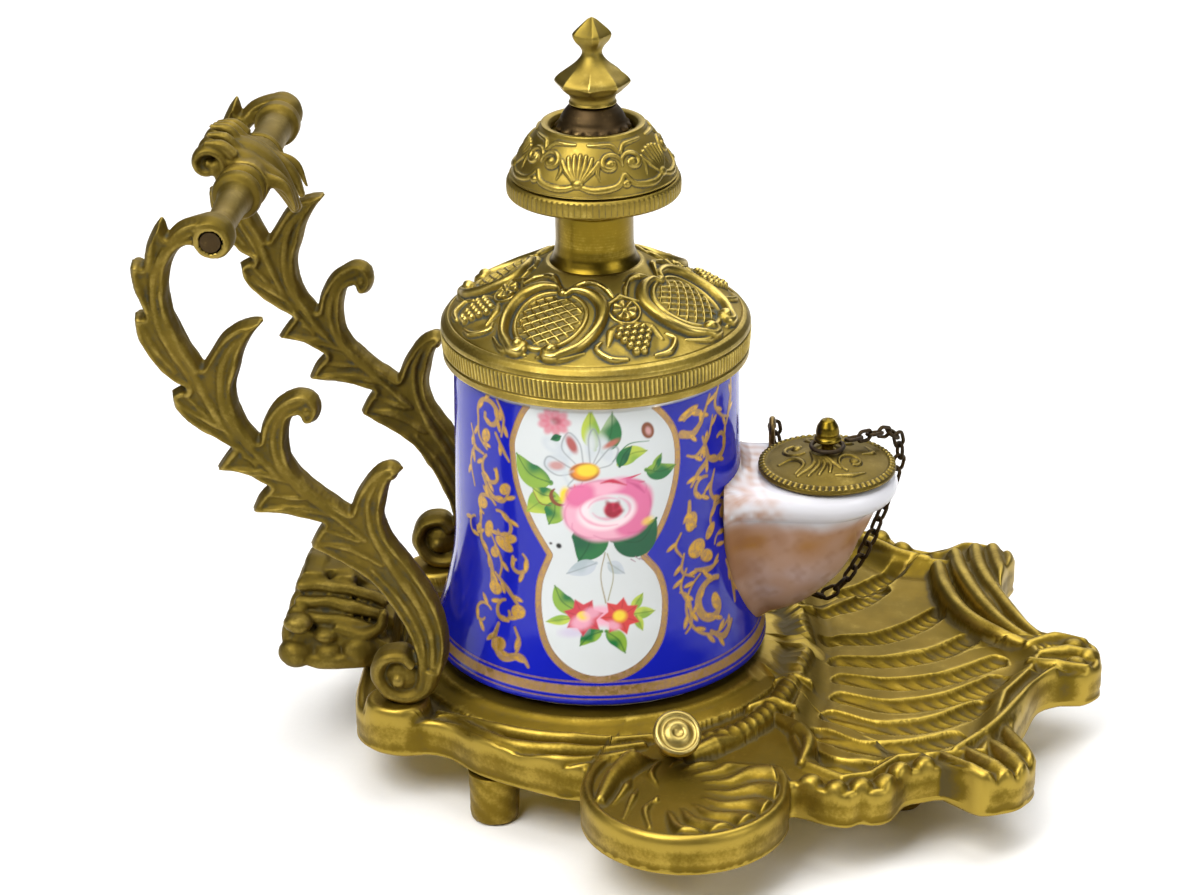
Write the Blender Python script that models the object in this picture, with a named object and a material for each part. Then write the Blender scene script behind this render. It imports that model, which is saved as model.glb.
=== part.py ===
"""Desk inkwell of the pump kind: a porcelain reservoir on a gilt bronze stand with a shell tray.

Turning the knob screws a spindle down through a bush in the neck, the plunger on the spindle goes
down into the reservoir, and the ink it displaces rises in the covered spout cup beside the body.
Lengths are in metres. X runs from the carrying handle towards the shell tray, Y across, Z up from
the ground under the feet. Sub-parts are placed about the body's own axis, and an empty moves the
whole object so that its origin is under the middle of its outline.
"""

import math

import bmesh
import bpy
from mathutils import Vector

MM = 0.001

# ---- Driving dimensions ----------------------------------------------------------------------
GAP = 0.3 * MM  # clearance between pieces that rest on, or stand beside, each other
RUN = 0.4 * MM  # radial clearance round a piece that turns or slides

FOOT_HEIGHT = 10.0 * MM
FOOT_RADIUS = 4.65 * MM
FOOT_PIN_RADIUS = 2.0 * MM
FOOT_PIN_LENGTH = 1.4 * MM
FRONT_FOOT = (-16.4 * MM, 35.2 * MM)  # x, and y to each side
REAR_FOOT = (56.0 * MM, 26.0 * MM)

RIM_HEIGHT = 7.0 * MM  # stand's edge, above its underside
TRAY_FLOOR = 2.4 * MM  # metal left under the shell tray
LOBE_RADIUS = 18.3 * MM
LOBE_X = 18.7 * MM
LOBE_Y = 52.0 * MM
LOBE_DISH_RADIUS = 13.0 * MM
LOBE_FLOOR = 3.4 * MM
BUTTON_PLACE = (15.5 * MM, 39.5 * MM)
BUTTON_SHANK_RADIUS = 1.6 * MM
BUTTON_SHANK_DEPTH = 4.4 * MM
PLATFORM_HEIGHT = 9.2 * MM  # seat of the porcelain, above the stand's underside
PLATFORM_RADIUS = 33.0 * MM
PLATFORM_SLOPE = 3.5 * MM  # how far the seat's sloping side spreads beyond its flat top
PAD_RADIUS = 5.6 * MM
PAD_HEIGHT = 9.3 * MM
PAD_X = -34.5 * MM
BED_THICKNESS = 0.7 * MM

BODY_HEIGHT = 62.0 * MM
BODY_FOOT_RADIUS = 31.1 * MM
BODY_WAIST_RADIUS = 26.2 * MM
BODY_TOP_RADIUS = 25.4 * MM
BODY_WALL = 3.2 * MM
RESERVOIR_FLOOR = 4.5 * MM

CUP_X = 41.8 * MM  # axis of the spout cup's mouth
CUP_RADIUS = 12.9 * MM
CUP_MOUTH_RADIUS = 9.8 * MM
CUP_TOP = 33.2 * MM  # cup's rim, above the foot of the porcelain
CUP_FLOOR = 11.0 * MM  # bottom of the cup's ink space, above the foot of the porcelain
CUP_SHAPE = [(5.8, 21.0, 3.5), (7.5, 16.2, 5.2), (9.8, 13.8, 6.5), (13.6, 9.8, 7.9), (17.6, 7.7, 8.9),
             (23.6, 5.4, 10.0), (27.2, 3.2, 11.0), (28.6, 1.3, 12.1), (30.4, 0.0, 12.9),
             (32.0, 0.0, 12.9), (33.2, 0.9, 12.0)]  # height, inset of the nose and half width, in mm
INK_PASSAGE_RADIUS = 1.7 * MM

LID_RADIUS = 12.7 * MM
LID_THICKNESS = 1.1 * MM
LID_DOME = 2.6 * MM
LID_SLEEVE_LENGTH = 5.0 * MM
LID_STUD_RADIUS = 1.1 * MM

BAND_HEIGHT = 7.6 * MM
BAND_LAP = 6.2 * MM  # how far the cap's band laps down over the porcelain
BAND_WALL = 1.5 * MM
CAP_SKIN = 1.2 * MM
CAP_RISE = 10.0 * MM
CAP_CEMENT = 0.4 * MM
NECK_HEIGHT = 10.3 * MM
NECK_RADIUS = 6.6 * MM
NECK_FLANGE = 8.2 * MM
GLAND_RADIUS = 4.4 * MM
GLAND_HEIGHT = 1.5 * MM
GLAND_RISE = 2.9 * MM  # underside of the gland, above the foot of the neck

SPINDLE_RADIUS = 2.35 * MM
THREAD_DEPTH = 0.25 * MM
THREAD_LEAD = 2.0 * MM
STUD_RADIUS = 1.9 * MM
PUMP_TRAVEL = 10.0 * MM
PLUNGER_RADIUS = 17.0 * MM
PLUNGER_LENGTH = 13.0 * MM
PLUNGER_DROP = 4.5 * MM  # shoulder of the spindle, below the top of the porcelain
WASHER_RADIUS = 8.0 * MM
WASHER_THICKNESS = 1.0 * MM
SEAL_THICKNESS = 1.5 * MM
PLUNGER_NUT_RADIUS = 4.2 * MM
PLUNGER_NUT_HEIGHT = 2.4 * MM
STUD_END = 0.8 * MM  # stud that shows beyond the plunger's nut

KNOB_RADIUS = 15.45 * MM
KNOB_HEIGHT = 13.0 * MM
KNOB_SKIN = 1.1 * MM
KNOB_MOUTH = 7.5 * MM
KNOB_LIP = 1.8 * MM  # height of the knob's mouth above its seat on the hub
KNOB_RING_HEIGHT = 3.3 * MM
KNOB_RING_WALL = 1.2 * MM
BOSS_HEIGHT = 4.9 * MM
FINIAL_RADIUS = 6.75 * MM

ARM_THICKNESS = 6.2 * MM
ARM_FOOT_Y = 27.2 * MM
ARM_LEAN = 0.065  # outward lean of the arms, y per z
TIE_ROD_RADIUS = 1.8 * MM
CURL_X = -61.1 * MM
CURL_Z = 109.1 * MM
CURL_RADIUS = 4.4 * MM
CURL_SWELL = 0.6 * MM  # extra thickness of the curl round the bore
NUT_RADIUS = 2.6 * MM
NUT_HEIGHT = 1.3 * MM
SPACER_END_RADIUS = 4.2 * MM
CROSS_HALF = 7.2 * MM
ORNAMENT_HALF = 15.0 * MM
ARM_EYE_RADIUS = 4.6 * MM
ARM_SCREW_X = -33.3 * MM
ORNAMENT_SCREW_X = -38.3 * MM
SCREW_RADIUS = 1.0 * MM
SCREW_HEAD_RADIUS = 2.7 * MM
SCREW_HEAD_HEIGHT = 2.2 * MM

CHAIN_RADIUS = 1.0 * MM
RING_RADIUS = 2.9 * MM
RING_WIRE = 0.45 * MM
ANCHOR_X = 31.5 * MM
ANCHOR_Y = 9.6 * MM
ANCHOR_WIRE = 0.6 * MM

SIDES = 32  # facets round a large turned piece
SMALL_SIDES = 16  # and round a small one

# ---- Heights and places that follow from them -------------------------------------------------
PLATE_Z = FOOT_HEIGHT
RIM_Z = PLATE_Z + RIM_HEIGHT
PLATFORM_Z = PLATE_Z + PLATFORM_HEIGHT
BODY_Z = PLATFORM_Z + GAP + BED_THICKNESS + GAP
BODY_TOP_Z = BODY_Z + BODY_HEIGHT
CUP_Z = BODY_Z + CUP_TOP
LID_Z = CUP_Z + GAP
BAND_Z = BODY_TOP_Z - BAND_LAP
BAND_RADIUS = BODY_TOP_RADIUS + GAP + CAP_CEMENT + GAP + BAND_WALL
CAP_Z = BAND_Z + BAND_HEIGHT  # foot of the cap's cone
CAP_TOP_Z = CAP_Z + CAP_RISE
NECK_Z = CAP_TOP_Z + GAP
NECK_TOP_Z = NECK_Z + NECK_HEIGHT
GLAND_Z = NECK_Z + GLAND_RISE
BUSH_Z = GLAND_Z + GLAND_HEIGHT + GAP
SHOULDER_Z = BODY_TOP_Z - PLUNGER_DROP
STACK_LENGTH = (GAP + SEAL_THICKNESS + GAP + PLUNGER_LENGTH + GAP + WASHER_THICKNESS + GAP
                + PLUNGER_NUT_HEIGHT + STUD_END)
HUB_Z = NECK_TOP_Z + PUMP_TRAVEL + 0.8 * MM  # underside of the knob's hub, clear of the neck when down
HUB_HEIGHT = 2.1 * MM
SEAT_Z = HUB_Z + HUB_HEIGHT + GAP  # underside of the knob's top lip
KNOB_TOP_Z = SEAT_Z + KNOB_LIP
KNOB_Z = KNOB_TOP_Z - KNOB_HEIGHT
ARM_Z = PLATE_Z + PAD_HEIGHT + GAP
CURL_Y = ARM_FOOT_Y + ARM_LEAN * (CURL_Z - ARM_Z)
NUT_SEAT_Y = CURL_Y + 0.9 * MM
SPACER_END_Y = CURL_Y - 0.5 * (ARM_THICKNESS + CURL_SWELL) - ARM_LEAN * SPACER_END_RADIUS - GAP
TRAY_TIP_X = 93.4 * MM
HANDLE_TIP_X = -75.9 * MM
AXIS_X = -0.5 * (TRAY_TIP_X + HANDLE_TIP_X)  # body axis, seen from the middle of the outline

# ---- Outlines, in mm. Heights of the arms, ornaments and chain count from ARM_ZERO ---------------
ARM_STEM = [(-32.0, 3.4), (-27.6, 5.6), (-25.4, 11.0), (-26.2, 18.5), (-29.6, 25.6), (-36.5, 33.4),
            (-43.0, 41.2), (-51.0, 49.6), (-57.6, 57.0), (-63.4, 64.6), (-67.6, 73.0),
            (-69.6, 81.4), (-68.6, 88.0), (-65.0, 92.6)]
ARM_STEM_WIDTH = [3.4, 4.6, 5.2, 5.0, 5.4, 5.6, 5.4, 5.6, 5.6, 5.6, 5.4, 5.2, 4.8, 4.0]
ARM_LEAVES = [
    [(-67.6, 84.5), (-70.6, 89.4), (-69.7, 94.2)],
    [(-68.3, 76.0), (-73.2, 79.6), (-75.6, 85.0)],
    [(-65.4, 68.0), (-71.6, 70.8), (-75.5, 76.5)],
    [(-58.0, 57.4), (-64.0, 58.8), (-70.1, 61.6)],
    [(-50.6, 48.2), (-57.6, 47.2), (-63.9, 47.3)],
    [(-44.5, 41.8), (-51.2, 40.2), (-57.9, 39.2)],
    [(-37.5, 34.4), (-43.0, 33.6), (-47.9, 33.2)],
    [(-62.6, 63.4), (-61.4, 68.4), (-58.4, 72.4), (-53.8, 76.2)],
    [(-52.4, 51.6), (-54.4, 56.6), (-52.8, 61.2), (-48.9, 62.2), (-46.9, 59.4)],
    [(-37.4, 35.6), (-39.0, 41.0), (-37.2, 46.4), (-31.6, 48.9)],
]
LEAF_ROOT_WIDTH = 5.6
LEAF_TIP_WIDTH = 1.1
ARM_ZERO = 18.0  # the arm's outlines count height from this far above the ground, in mm
CHAIN_OVER_LID = [(46.3, 1.6, 41.3), (49.4, 5.0, 40.4), (52.4, 8.6, 39.3), (54.6, 11.2, 37.6)]
CHAIN_HANGING = [(55.2, 12.4, 34.6), (54.4, 13.4, 29.5), (52.2, 13.4, 21.5), (48.4, 13.0, 12.0),
                 (44.2, 12.6, 5.0), (40.2, 12.6, 3.0), (36.9, 13.2, 6.6), (35.0, 14.6, 16.0),
                 (33.4, 15.6, 26.0), (32.2, 15.6, 34.6), (31.6, 14.0, 39.6), (31.5, 12.0, 40.6)]

COLOURS = {
    "cobalt_porcelain": ((0.01, 0.02, 0.42, 1.0), 0.12, 0.0),
    "gilt_bronze": ((0.62, 0.43, 0.12, 1.0), 0.38, 1.0),
    "antique_bronze": ((0.36, 0.27, 0.09, 1.0), 0.5, 1.0),
    "bright_brass": ((0.75, 0.55, 0.2, 1.0), 0.3, 1.0),
    "dark_bronze": ((0.16, 0.10, 0.05, 1.0), 0.5, 1.0),
    "leather": ((0.20, 0.11, 0.06, 1.0), 0.8, 0.0),
    "cement": ((0.75, 0.72, 0.64, 1.0), 0.9, 0.0),
    "steel": ((0.45, 0.44, 0.42, 1.0), 0.4, 1.0),
    "plunger_porcelain": ((0.85, 0.84, 0.80, 1.0), 0.25, 0.0),
}


# ---- Modelling helpers -------------------------------------------------------------------------
def clear_scene():
    for obj in list(bpy.data.objects):
        bpy.data.objects.remove(obj, do_unlink=True)


def material(name):
    found = bpy.data.materials.get(name)
    if found:
        return found
    colour, roughness, metallic = COLOURS[name]
    made = bpy.data.materials.new(name)
    made.use_nodes = True
    shader = made.node_tree.nodes["Principled BSDF"]
    shader.inputs["Base Color"].default_value = colour
    shader.inputs["Roughness"].default_value = roughness
    shader.inputs["Metallic"].default_value = metallic
    return made


def add_mesh(name, points, faces, finish="gilt_bronze"):
    """An object of these faces, with its normals made to point outwards."""
    mesh = bpy.data.meshes.new(name)
    mesh.from_pydata([tuple(p) for p in points], [], faces)
    work = bmesh.new()
    work.from_mesh(mesh)
    bmesh.ops.recalc_face_normals(work, faces=work.faces)
    work.to_mesh(mesh)
    work.free()
    mesh.materials.append(material(finish))
    mesh.shade_smooth()
    mesh.set_sharp_from_angle(angle=math.radians(35))
    obj = bpy.data.objects.new(name, mesh)
    bpy.context.scene.collection.objects.link(obj)
    return obj


def boolean(target, tool, operation):
    """Joins the tool to the target or cuts it out, and removes the tool."""
    modifier = target.modifiers.new("shape", "BOOLEAN")
    modifier.operation = operation
    modifier.solver = "EXACT"
    modifier.object = tool
    graph = bpy.context.evaluated_depsgraph_get()
    graph.update()
    result = bpy.data.meshes.new_from_object(target.evaluated_get(graph))
    target.modifiers.clear()
    old = target.data
    target.data = result
    result.name = target.name
    bpy.data.meshes.remove(old)
    bpy.data.objects.remove(tool, do_unlink=True)
    return target


def join(target, *tools):
    for tool in tools:
        boolean(target, tool, "UNION")
    return target


def cut(target, *tools):
    for tool in tools:
        boolean(target, tool, "DIFFERENCE")
    return target


def ring_points(profile, sides, centre):
    """Rings of points for a turned outline, one point where the outline meets the axis."""
    x, y, z = centre
    points, rings = [], []
    for radius, height in profile:
        start = len(points)
        if radius <= 0:
            points.append((x, y, z + height))
            rings.append([start] * sides)
            continue
        for i in range(sides):
            turn = 2 * math.pi * i / sides
            points.append((x + radius * math.cos(turn), y + radius * math.sin(turn), z + height))
        rings.append([start + i for i in range(sides)])
    return points, rings


def skin(rings, closed):
    """Faces between neighbouring rings, and from the last back to the first on a closed outline."""
    faces = []
    count = len(rings)
    for k in range(count if closed else count - 1):
        low, high = rings[k], rings[(k + 1) % count]
        sides = len(low)
        for i in range(sides):
            j = (i + 1) % sides
            corners = [low[i], low[j], high[j], high[i]]
            face = [c for n, c in enumerate(corners) if c not in corners[:n]]
            if len(face) > 2:
                faces.append(face)
    return faces


def turned(name, profile, finish="gilt_bronze", centre=(0, 0, 0), sides=SIDES):
    """A solid or hollow of revolution about Z: a solid's outline starts and ends at radius 0."""
    points, rings = ring_points(profile, sides, centre)
    solid = profile[0][0] <= 0 and profile[-1][0] <= 0
    return add_mesh(name, points, skin(rings, closed=not solid), finish)


def cylinder(name, radius, low, high, centre=(0, 0, 0), finish="gilt_bronze", sides=SMALL_SIDES):
    return turned(name, [(0, low), (radius, low), (radius, high), (0, high)], finish, centre, sides)


def washer(name, bore, radius, low, high, finish, sides=SMALL_SIDES):
    """A flat ring. Its bore is measured across the flats, so few sides still clear a round stem."""
    bore /= math.cos(math.pi / sides)
    profile = [(bore, low), (radius, low), (radius, high), (bore, high)]
    return turned(name, profile, finish, sides=sides)


def prism(name, outline, low, high, finish="gilt_bronze", scale_low=1.0, middle=(0, 0)):
    """A plan outline extruded upwards. scale_low shrinks its lower face about middle."""
    cx, cy = middle
    bottom = [(cx + (x - cx) * scale_low, cy + (y - cy) * scale_low, low) for x, y in outline]
    top = [(x, y, high) for x, y in outline]
    n = len(outline)
    faces = [list(range(n))[::-1], list(range(n, 2 * n))]
    faces += [[i, (i + 1) % n, n + (i + 1) % n, n + i] for i in range(n)]
    return add_mesh(name, bottom + top, faces, finish)


def loft(name, sections, finish="gilt_bronze"):
    """A closed solid through sections of equal point counts, with flat ends."""
    points = [p for section in sections for p in section]
    n = len(sections[0])
    rings = [[k * n + i for i in range(n)] for k in range(len(sections))]
    faces = skin(rings, closed=False) + [rings[0][::-1], rings[-1]]
    return add_mesh(name, points, faces, finish)


def smooth_path(knots, steps):
    """Points on a smooth curve through the knots, the given number to each stretch."""
    knots = [Vector(k) for k in knots]
    ends = [2 * knots[0] - knots[1]] + knots + [2 * knots[-1] - knots[-2]]
    path = []
    for a, b, c, d in zip(ends, ends[1:], ends[2:], ends[3:]):
        for i in range(steps):
            t = i / steps
            path.append(0.5 * (2 * b + (c - a) * t + (2 * a - 5 * b + 4 * c - d) * t**2
                               + (3 * b - a - 3 * c + d) * t**3))
    path.append(knots[-1])
    return path


def arc_points(radius, centre, first_turn, last_turn, count=8):
    """Points along an arc, with turns in radians from +X."""
    cx, cy = centre
    turns = [first_turn + (last_turn - first_turn) * i / (count - 1) for i in range(count)]
    return [(cx + radius * math.cos(t), cy + radius * math.sin(t)) for t in turns]


def mirrored_outline(half):
    """Closes a half outline, listed with y below 0 from back to front, across the XZ plane."""
    other = [(x, -y) for x, y in reversed(half) if abs(y) > 1e-9]
    return half + other


# ---- Stand --------------------------------------------------------------------------------------
def stand_outline():
    """Plan of the stand: arm pads at the back, drapery, round side lobes and the shell tray."""
    back = [(-43.5, 0), (-43.5, -14), (-43.2, -21), (-42.0, -27), (-38.5, -31), (-33.5, -32.4),
            (-28.8, -31.2), (-25.0, -32.5), (-18.4, -38.0), (-10.0, -43.0)]
    shell = [(39.3, -50.5), (46.5, -53.2), (53.5, -51.3), (56.4, -45.0), (63.0, -41.6),
             (66.7, -42.6), (70.0, -46.0), (76.5, -45.0), (79.4, -39.5), (77.0, -32.0),
             (76.0, -25.5), (79.0, -17.0), (81.5, -9.5), (86.0, -6.3), (91.8, -5.6), (93.4, -2.5),
             (93.4, 0)]
    half = [(x * MM, y * MM) for x, y in back]
    first, last = math.radians(157), math.radians(382)
    half += arc_points(LOBE_RADIUS, (LOBE_X, -LOBE_Y), first, last)
    half += [(x * MM, y * MM) for x, y in shell]
    return mirrored_outline(half)


def tray_outline():
    """Plan of the sunk floor of the shell tray, inside its rim."""
    half = [(39.5, 0), (40.0, -12), (37.5, -24), (37.5, -34), (40.0, -43.5), (46.0, -47.5),
            (51.0, -45.5), (55.0, -39.0), (63.5, -37.5), (71.0, -37.0), (71.8, -28.0),
            (74.0, -15.0), (78.0, -5.0), (79.5, 0)]
    return mirrored_outline([(x * MM, y * MM) for x, y in half])


def foot_places():
    for side, tag in ((-1, "front"), (1, "rear")):
        yield "foot_" + tag + "_left", (FRONT_FOOT[0], side * FRONT_FOOT[1])
        yield "foot_" + tag + "_right", (REAR_FOOT[0], side * REAR_FOOT[1])


def button_places():
    for side, tag in ((-1, "front"), (1, "rear")):
        x, y = BUTTON_PLACE
        yield "button_" + tag, Vector((x, side * y, RIM_Z + 0.6 * MM)), side


def arm_screw_places():
    for side, tag in ((-1, "front"), (1, "rear")):
        yield "arm_screw_" + tag, (ARM_SCREW_X, side * ARM_FOOT_Y)


def make_stand():
    plate = prism("stand_plate", stand_outline(), PLATE_Z, RIM_Z)
    seat_foot = PLATFORM_RADIUS + PLATFORM_SLOPE
    seat = turned("seat", [(0, PLATE_Z + GAP), (seat_foot, PLATE_Z + GAP), (seat_foot, RIM_Z + GAP),
                           (PLATFORM_RADIUS, PLATFORM_Z), (0, PLATFORM_Z)])
    join(plate, seat)
    for side in (-1, 1):
        pad = cylinder("pad", PAD_RADIUS, PLATE_Z + GAP, PLATE_Z + PAD_HEIGHT,
                       (PAD_X, side * ARM_FOOT_Y, 0))
        join(plate, pad)
        floor = PLATE_Z + LOBE_FLOOR
        dish = turned("dish", [(0, floor), (0.62 * LOBE_DISH_RADIUS, floor),
                               (LOBE_DISH_RADIUS, RIM_Z + GAP), (LOBE_DISH_RADIUS, RIM_Z + 2 * MM),
                               (0, RIM_Z + 2 * MM)], centre=(LOBE_X, -side * LOBE_Y, 0), sides=24)
        cut(plate, dish)
    tray = prism("tray", tray_outline(), PLATE_Z + TRAY_FLOOR, RIM_Z + 2 * MM,
                 scale_low=0.88, middle=(56 * MM, 0))
    cut(plate, tray)
    drill_stand(plate)
    return plate


def drill_stand(plate):
    """Holes from below for the feet's pins and the screws, and from above for the buttons."""
    for _, (x, y) in foot_places():
        top = PLATE_Z + FOOT_PIN_LENGTH + GAP
        cut(plate, cylinder("hole", FOOT_PIN_RADIUS + GAP, PLATE_Z - MM, top, (x, y, 0), sides=12))
    for _, (x, y) in arm_screw_places():
        cut(plate, screw_hole(x, y, RIM_Z + 5 * MM))
    cut(plate, screw_hole(ORNAMENT_SCREW_X, 0, RIM_Z + 5 * MM))
    for _, place, side in button_places():
        low = -BUTTON_SHANK_DEPTH - 0.6 * MM
        hole = cylinder("hole", BUTTON_SHANK_RADIUS + GAP, low, 9 * MM, sides=12)
        lean_button(hole, place, side)
        cut(plate, hole)


def screw_hole(x, y, top):
    """A counterbored clearance hole, open below."""
    profile = [(0, PLATE_Z - MM), (SCREW_HEAD_RADIUS + GAP, PLATE_Z - MM),
               (SCREW_HEAD_RADIUS + GAP, PLATE_Z + SCREW_HEAD_HEIGHT + 0.8 * MM),
               (SCREW_RADIUS + GAP, PLATE_Z + SCREW_HEAD_HEIGHT + 0.8 * MM),
               (SCREW_RADIUS + GAP, top), (0, top)]
    return turned("hole", profile, centre=(x, y, 0), sides=12)


def make_screw(name, x, y, top):
    base = PLATE_Z + 0.5 * MM
    profile = [(0, base), (SCREW_HEAD_RADIUS, base), (SCREW_HEAD_RADIUS, base + SCREW_HEAD_HEIGHT),
               (SCREW_RADIUS, base + SCREW_HEAD_HEIGHT), (SCREW_RADIUS, top), (0, top)]
    return turned(name, profile, "steel", (x, y, 0), 12)


def make_feet():
    for name, (x, y) in foot_places():
        top = PLATE_Z - GAP
        edge = 0.5 * MM
        profile = [(0, 0), (FOOT_RADIUS - edge, 0), (FOOT_RADIUS, edge), (FOOT_RADIUS, top),
                   (FOOT_PIN_RADIUS, top), (FOOT_PIN_RADIUS, PLATE_Z + FOOT_PIN_LENGTH),
                   (0, PLATE_Z + FOOT_PIN_LENGTH)]
        turned(name, profile, "gilt_bronze", (x, y, 0), SMALL_SIDES)


def lean_button(obj, place, side):
    """Tilts a button about its seat so that its face looks up and outwards."""
    obj.rotation_euler = (math.radians(side * -38), math.radians(16), 0)
    obj.location = place
    bpy.context.view_layer.update()


def make_buttons():
    for name, place, side in button_places():
        low = -BUTTON_SHANK_DEPTH
        profile = [(0, low), (BUTTON_SHANK_RADIUS, low), (BUTTON_SHANK_RADIUS, 3.6 * MM),
                   (3.3 * MM, 3.6 * MM), (3.7 * MM, 5.6 * MM), (4.3 * MM, 6.2 * MM),
                   (4.3 * MM, 7.2 * MM), (3.4 * MM, 7.9 * MM), (1.2 * MM, 8.1 * MM), (0, 7.7 * MM)]
        button = turned(name, profile, sides=SMALL_SIDES)
        lean_button(button, place, side)


def make_bed():
    low = PLATFORM_Z + GAP
    washer("bedding_ring", 16 * MM, BODY_FOOT_RADIUS - 2 * MM, low, low + BED_THICKNESS, "cement",
           SIDES)


# ---- Handle: two scroll arms joined by a crossbar ------------------------------------------------
def strip_outline(knots, widths, steps):
    """Both edges of a strip along a smooth curve, whose width runs through the given values."""
    path = smooth_path([(x, z, 0) for x, z in knots], steps)
    count = len(path)
    left, right = [], []
    for i, point in enumerate(path):
        ahead = path[min(i + 1, count - 1)] - path[max(i - 1, 0)]
        across = Vector((-ahead.y, ahead.x, 0)).normalized()
        at = i / (count - 1) * (len(widths) - 1)
        k = min(int(at), len(widths) - 2)
        half = 0.5 * (widths[k] + (widths[k + 1] - widths[k]) * (at - k))
        left.append(point + across * half)
        right.append(point - across * half)
    return [(p.x, p.y) for p in left + right[::-1]]


def arm_plate(outline, side, thickness):
    """An upright slab of the arm: the outline is in mm, and the slab leans outwards as it rises."""
    points = []
    for shift in (-0.5 * thickness, 0.5 * thickness):
        for x, z in outline:
            height = (z + ARM_ZERO) * MM
            middle = ARM_FOOT_Y + ARM_LEAN * (height - ARM_Z)
            points.append((x * MM, side * middle + shift, height))
    n = len(outline)
    faces = [list(range(n))[::-1], list(range(n, 2 * n))]
    faces += [[i, (i + 1) % n, n + (i + 1) % n, n + i] for i in range(n)]
    return add_mesh("slab", points, faces, "antique_bronze")


def circle_outline(x, z, radius, count=SMALL_SIDES):
    turns = [2 * math.pi * i / count for i in range(count)]
    return [(x + radius * math.cos(t), z + radius * math.sin(t)) for t in turns]


def make_arm(name, side):
    arm = arm_plate(strip_outline(ARM_STEM, ARM_STEM_WIDTH, 2), side, ARM_THICKNESS)
    arm.name = name
    eye_z = ARM_Z / MM - ARM_ZERO + ARM_EYE_RADIUS / MM
    foot_eye = arm_plate(circle_outline(ARM_SCREW_X / MM, eye_z, ARM_EYE_RADIUS / MM), side,
                         ARM_THICKNESS + 1 * MM)
    curl = arm_plate(circle_outline(CURL_X / MM, CURL_Z / MM - ARM_ZERO, CURL_RADIUS / MM), side,
                     ARM_THICKNESS + CURL_SWELL)
    leaves = []
    for leaf in ARM_LEAVES:
        widths = [LEAF_ROOT_WIDTH, 0.8 * LEAF_ROOT_WIDTH, LEAF_TIP_WIDTH]
        leaves.append(arm_plate(strip_outline(leaf, widths, 2), side, ARM_THICKNESS - 1 * MM))
    join(arm, foot_eye, curl, *leaves)
    bore = along_y(cylinder("bore", TIE_ROD_RADIUS + GAP, -50 * MM, 50 * MM, sides=12))
    tapped = cylinder("tapped", SCREW_RADIUS + GAP, 0, ARM_Z + 6.0 * MM,
                      (ARM_SCREW_X, side * ARM_FOOT_Y, 0), sides=12)
    recess = along_y(cylinder("recess", NUT_RADIUS + GAP, 0, 20 * MM, sides=12), side * NUT_SEAT_Y)
    return cut(arm, bore, tapped, recess)


def along_y(obj, offset=0.0):
    """Turns a piece made about Z to lie along Y on the crossbar's axis, offset outwards."""
    sign = -1 if offset < 0 else 1
    obj.rotation_euler = (-sign * math.pi / 2, 0, 0)
    obj.location = (CURL_X, offset, CURL_Z)
    bpy.context.view_layer.update()
    return obj


def make_crossbar():
    rod_end = NUT_SEAT_Y + NUT_HEIGHT + 0.6 * MM
    along_y(cylinder("tie_rod", TIE_ROD_RADIUS, -rod_end, rod_end, finish="steel", sides=12))
    spacer_length = SPACER_END_Y - CROSS_HALF - GAP
    for sign, tag in ((-1, "front"), (1, "rear")):
        start = sign * (CROSS_HALF + GAP)
        bore = TIE_ROD_RADIUS + GAP
        profile = [(bore, 0), (4.6 * MM, 0), (4.9 * MM, 0.8 * MM), (4.6 * MM, 1.8 * MM),
                   (3.5 * MM, 2.4 * MM), (3.1 * MM, 0.5 * spacer_length),
                   (3.5 * MM, spacer_length - 3 * MM), (SPACER_END_RADIUS, spacer_length - 2 * MM),
                   (SPACER_END_RADIUS, spacer_length), (bore, spacer_length)]
        spacer = turned("crossbar_spacer_" + tag, profile, "antique_bronze", sides=SMALL_SIDES)
        along_y(spacer, start)
        seat = sign * (NUT_SEAT_Y + GAP)
        along_y(washer("tie_rod_nut_" + tag, bore, NUT_RADIUS, 0, NUT_HEIGHT, "steel", 8), seat)


def make_crossbar_scroll():
    """The cast ornament at the middle of the crossbar: a volute behind, a leaf tongue in front."""
    middle = [(-66.6, 95.4), (-62.6, 95.6), (-57.6, 93.0), (-54.4, 88.2), (-52.6, 83.6)]
    outline = strip_outline(middle, [7.0, 9.6, 8.4, 6.2, 3.2], 3)
    body = slab_across(outline, CROSS_HALF)
    body.name = "crossbar_scroll"
    hub = slab_across(circle_outline(CURL_X / MM, CURL_Z / MM - ARM_ZERO, 4.8), CROSS_HALF)
    volute = slab_across(circle_outline(-67.2, 94.6, 4.2), CROSS_HALF - 0.6 * MM)
    join(body, hub, volute)
    cut(body, along_y(cylinder("bore", TIE_ROD_RADIUS + GAP, -20 * MM, 20 * MM, sides=12)))
    return body


def slab_across(outline, half):
    """An upright slab centred on the XZ plane, from an outline in mm."""
    count = len(outline)
    points = []
    for y in (-half, half):
        points += [(x * MM, y, (z + ARM_ZERO) * MM) for x, z in outline]
    faces = [list(range(count))[::-1], list(range(count, 2 * count))]
    faces += [[i, (i + 1) % count, count + (i + 1) % count, count + i] for i in range(count)]
    return add_mesh("slab", points, faces, "antique_bronze")


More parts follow.
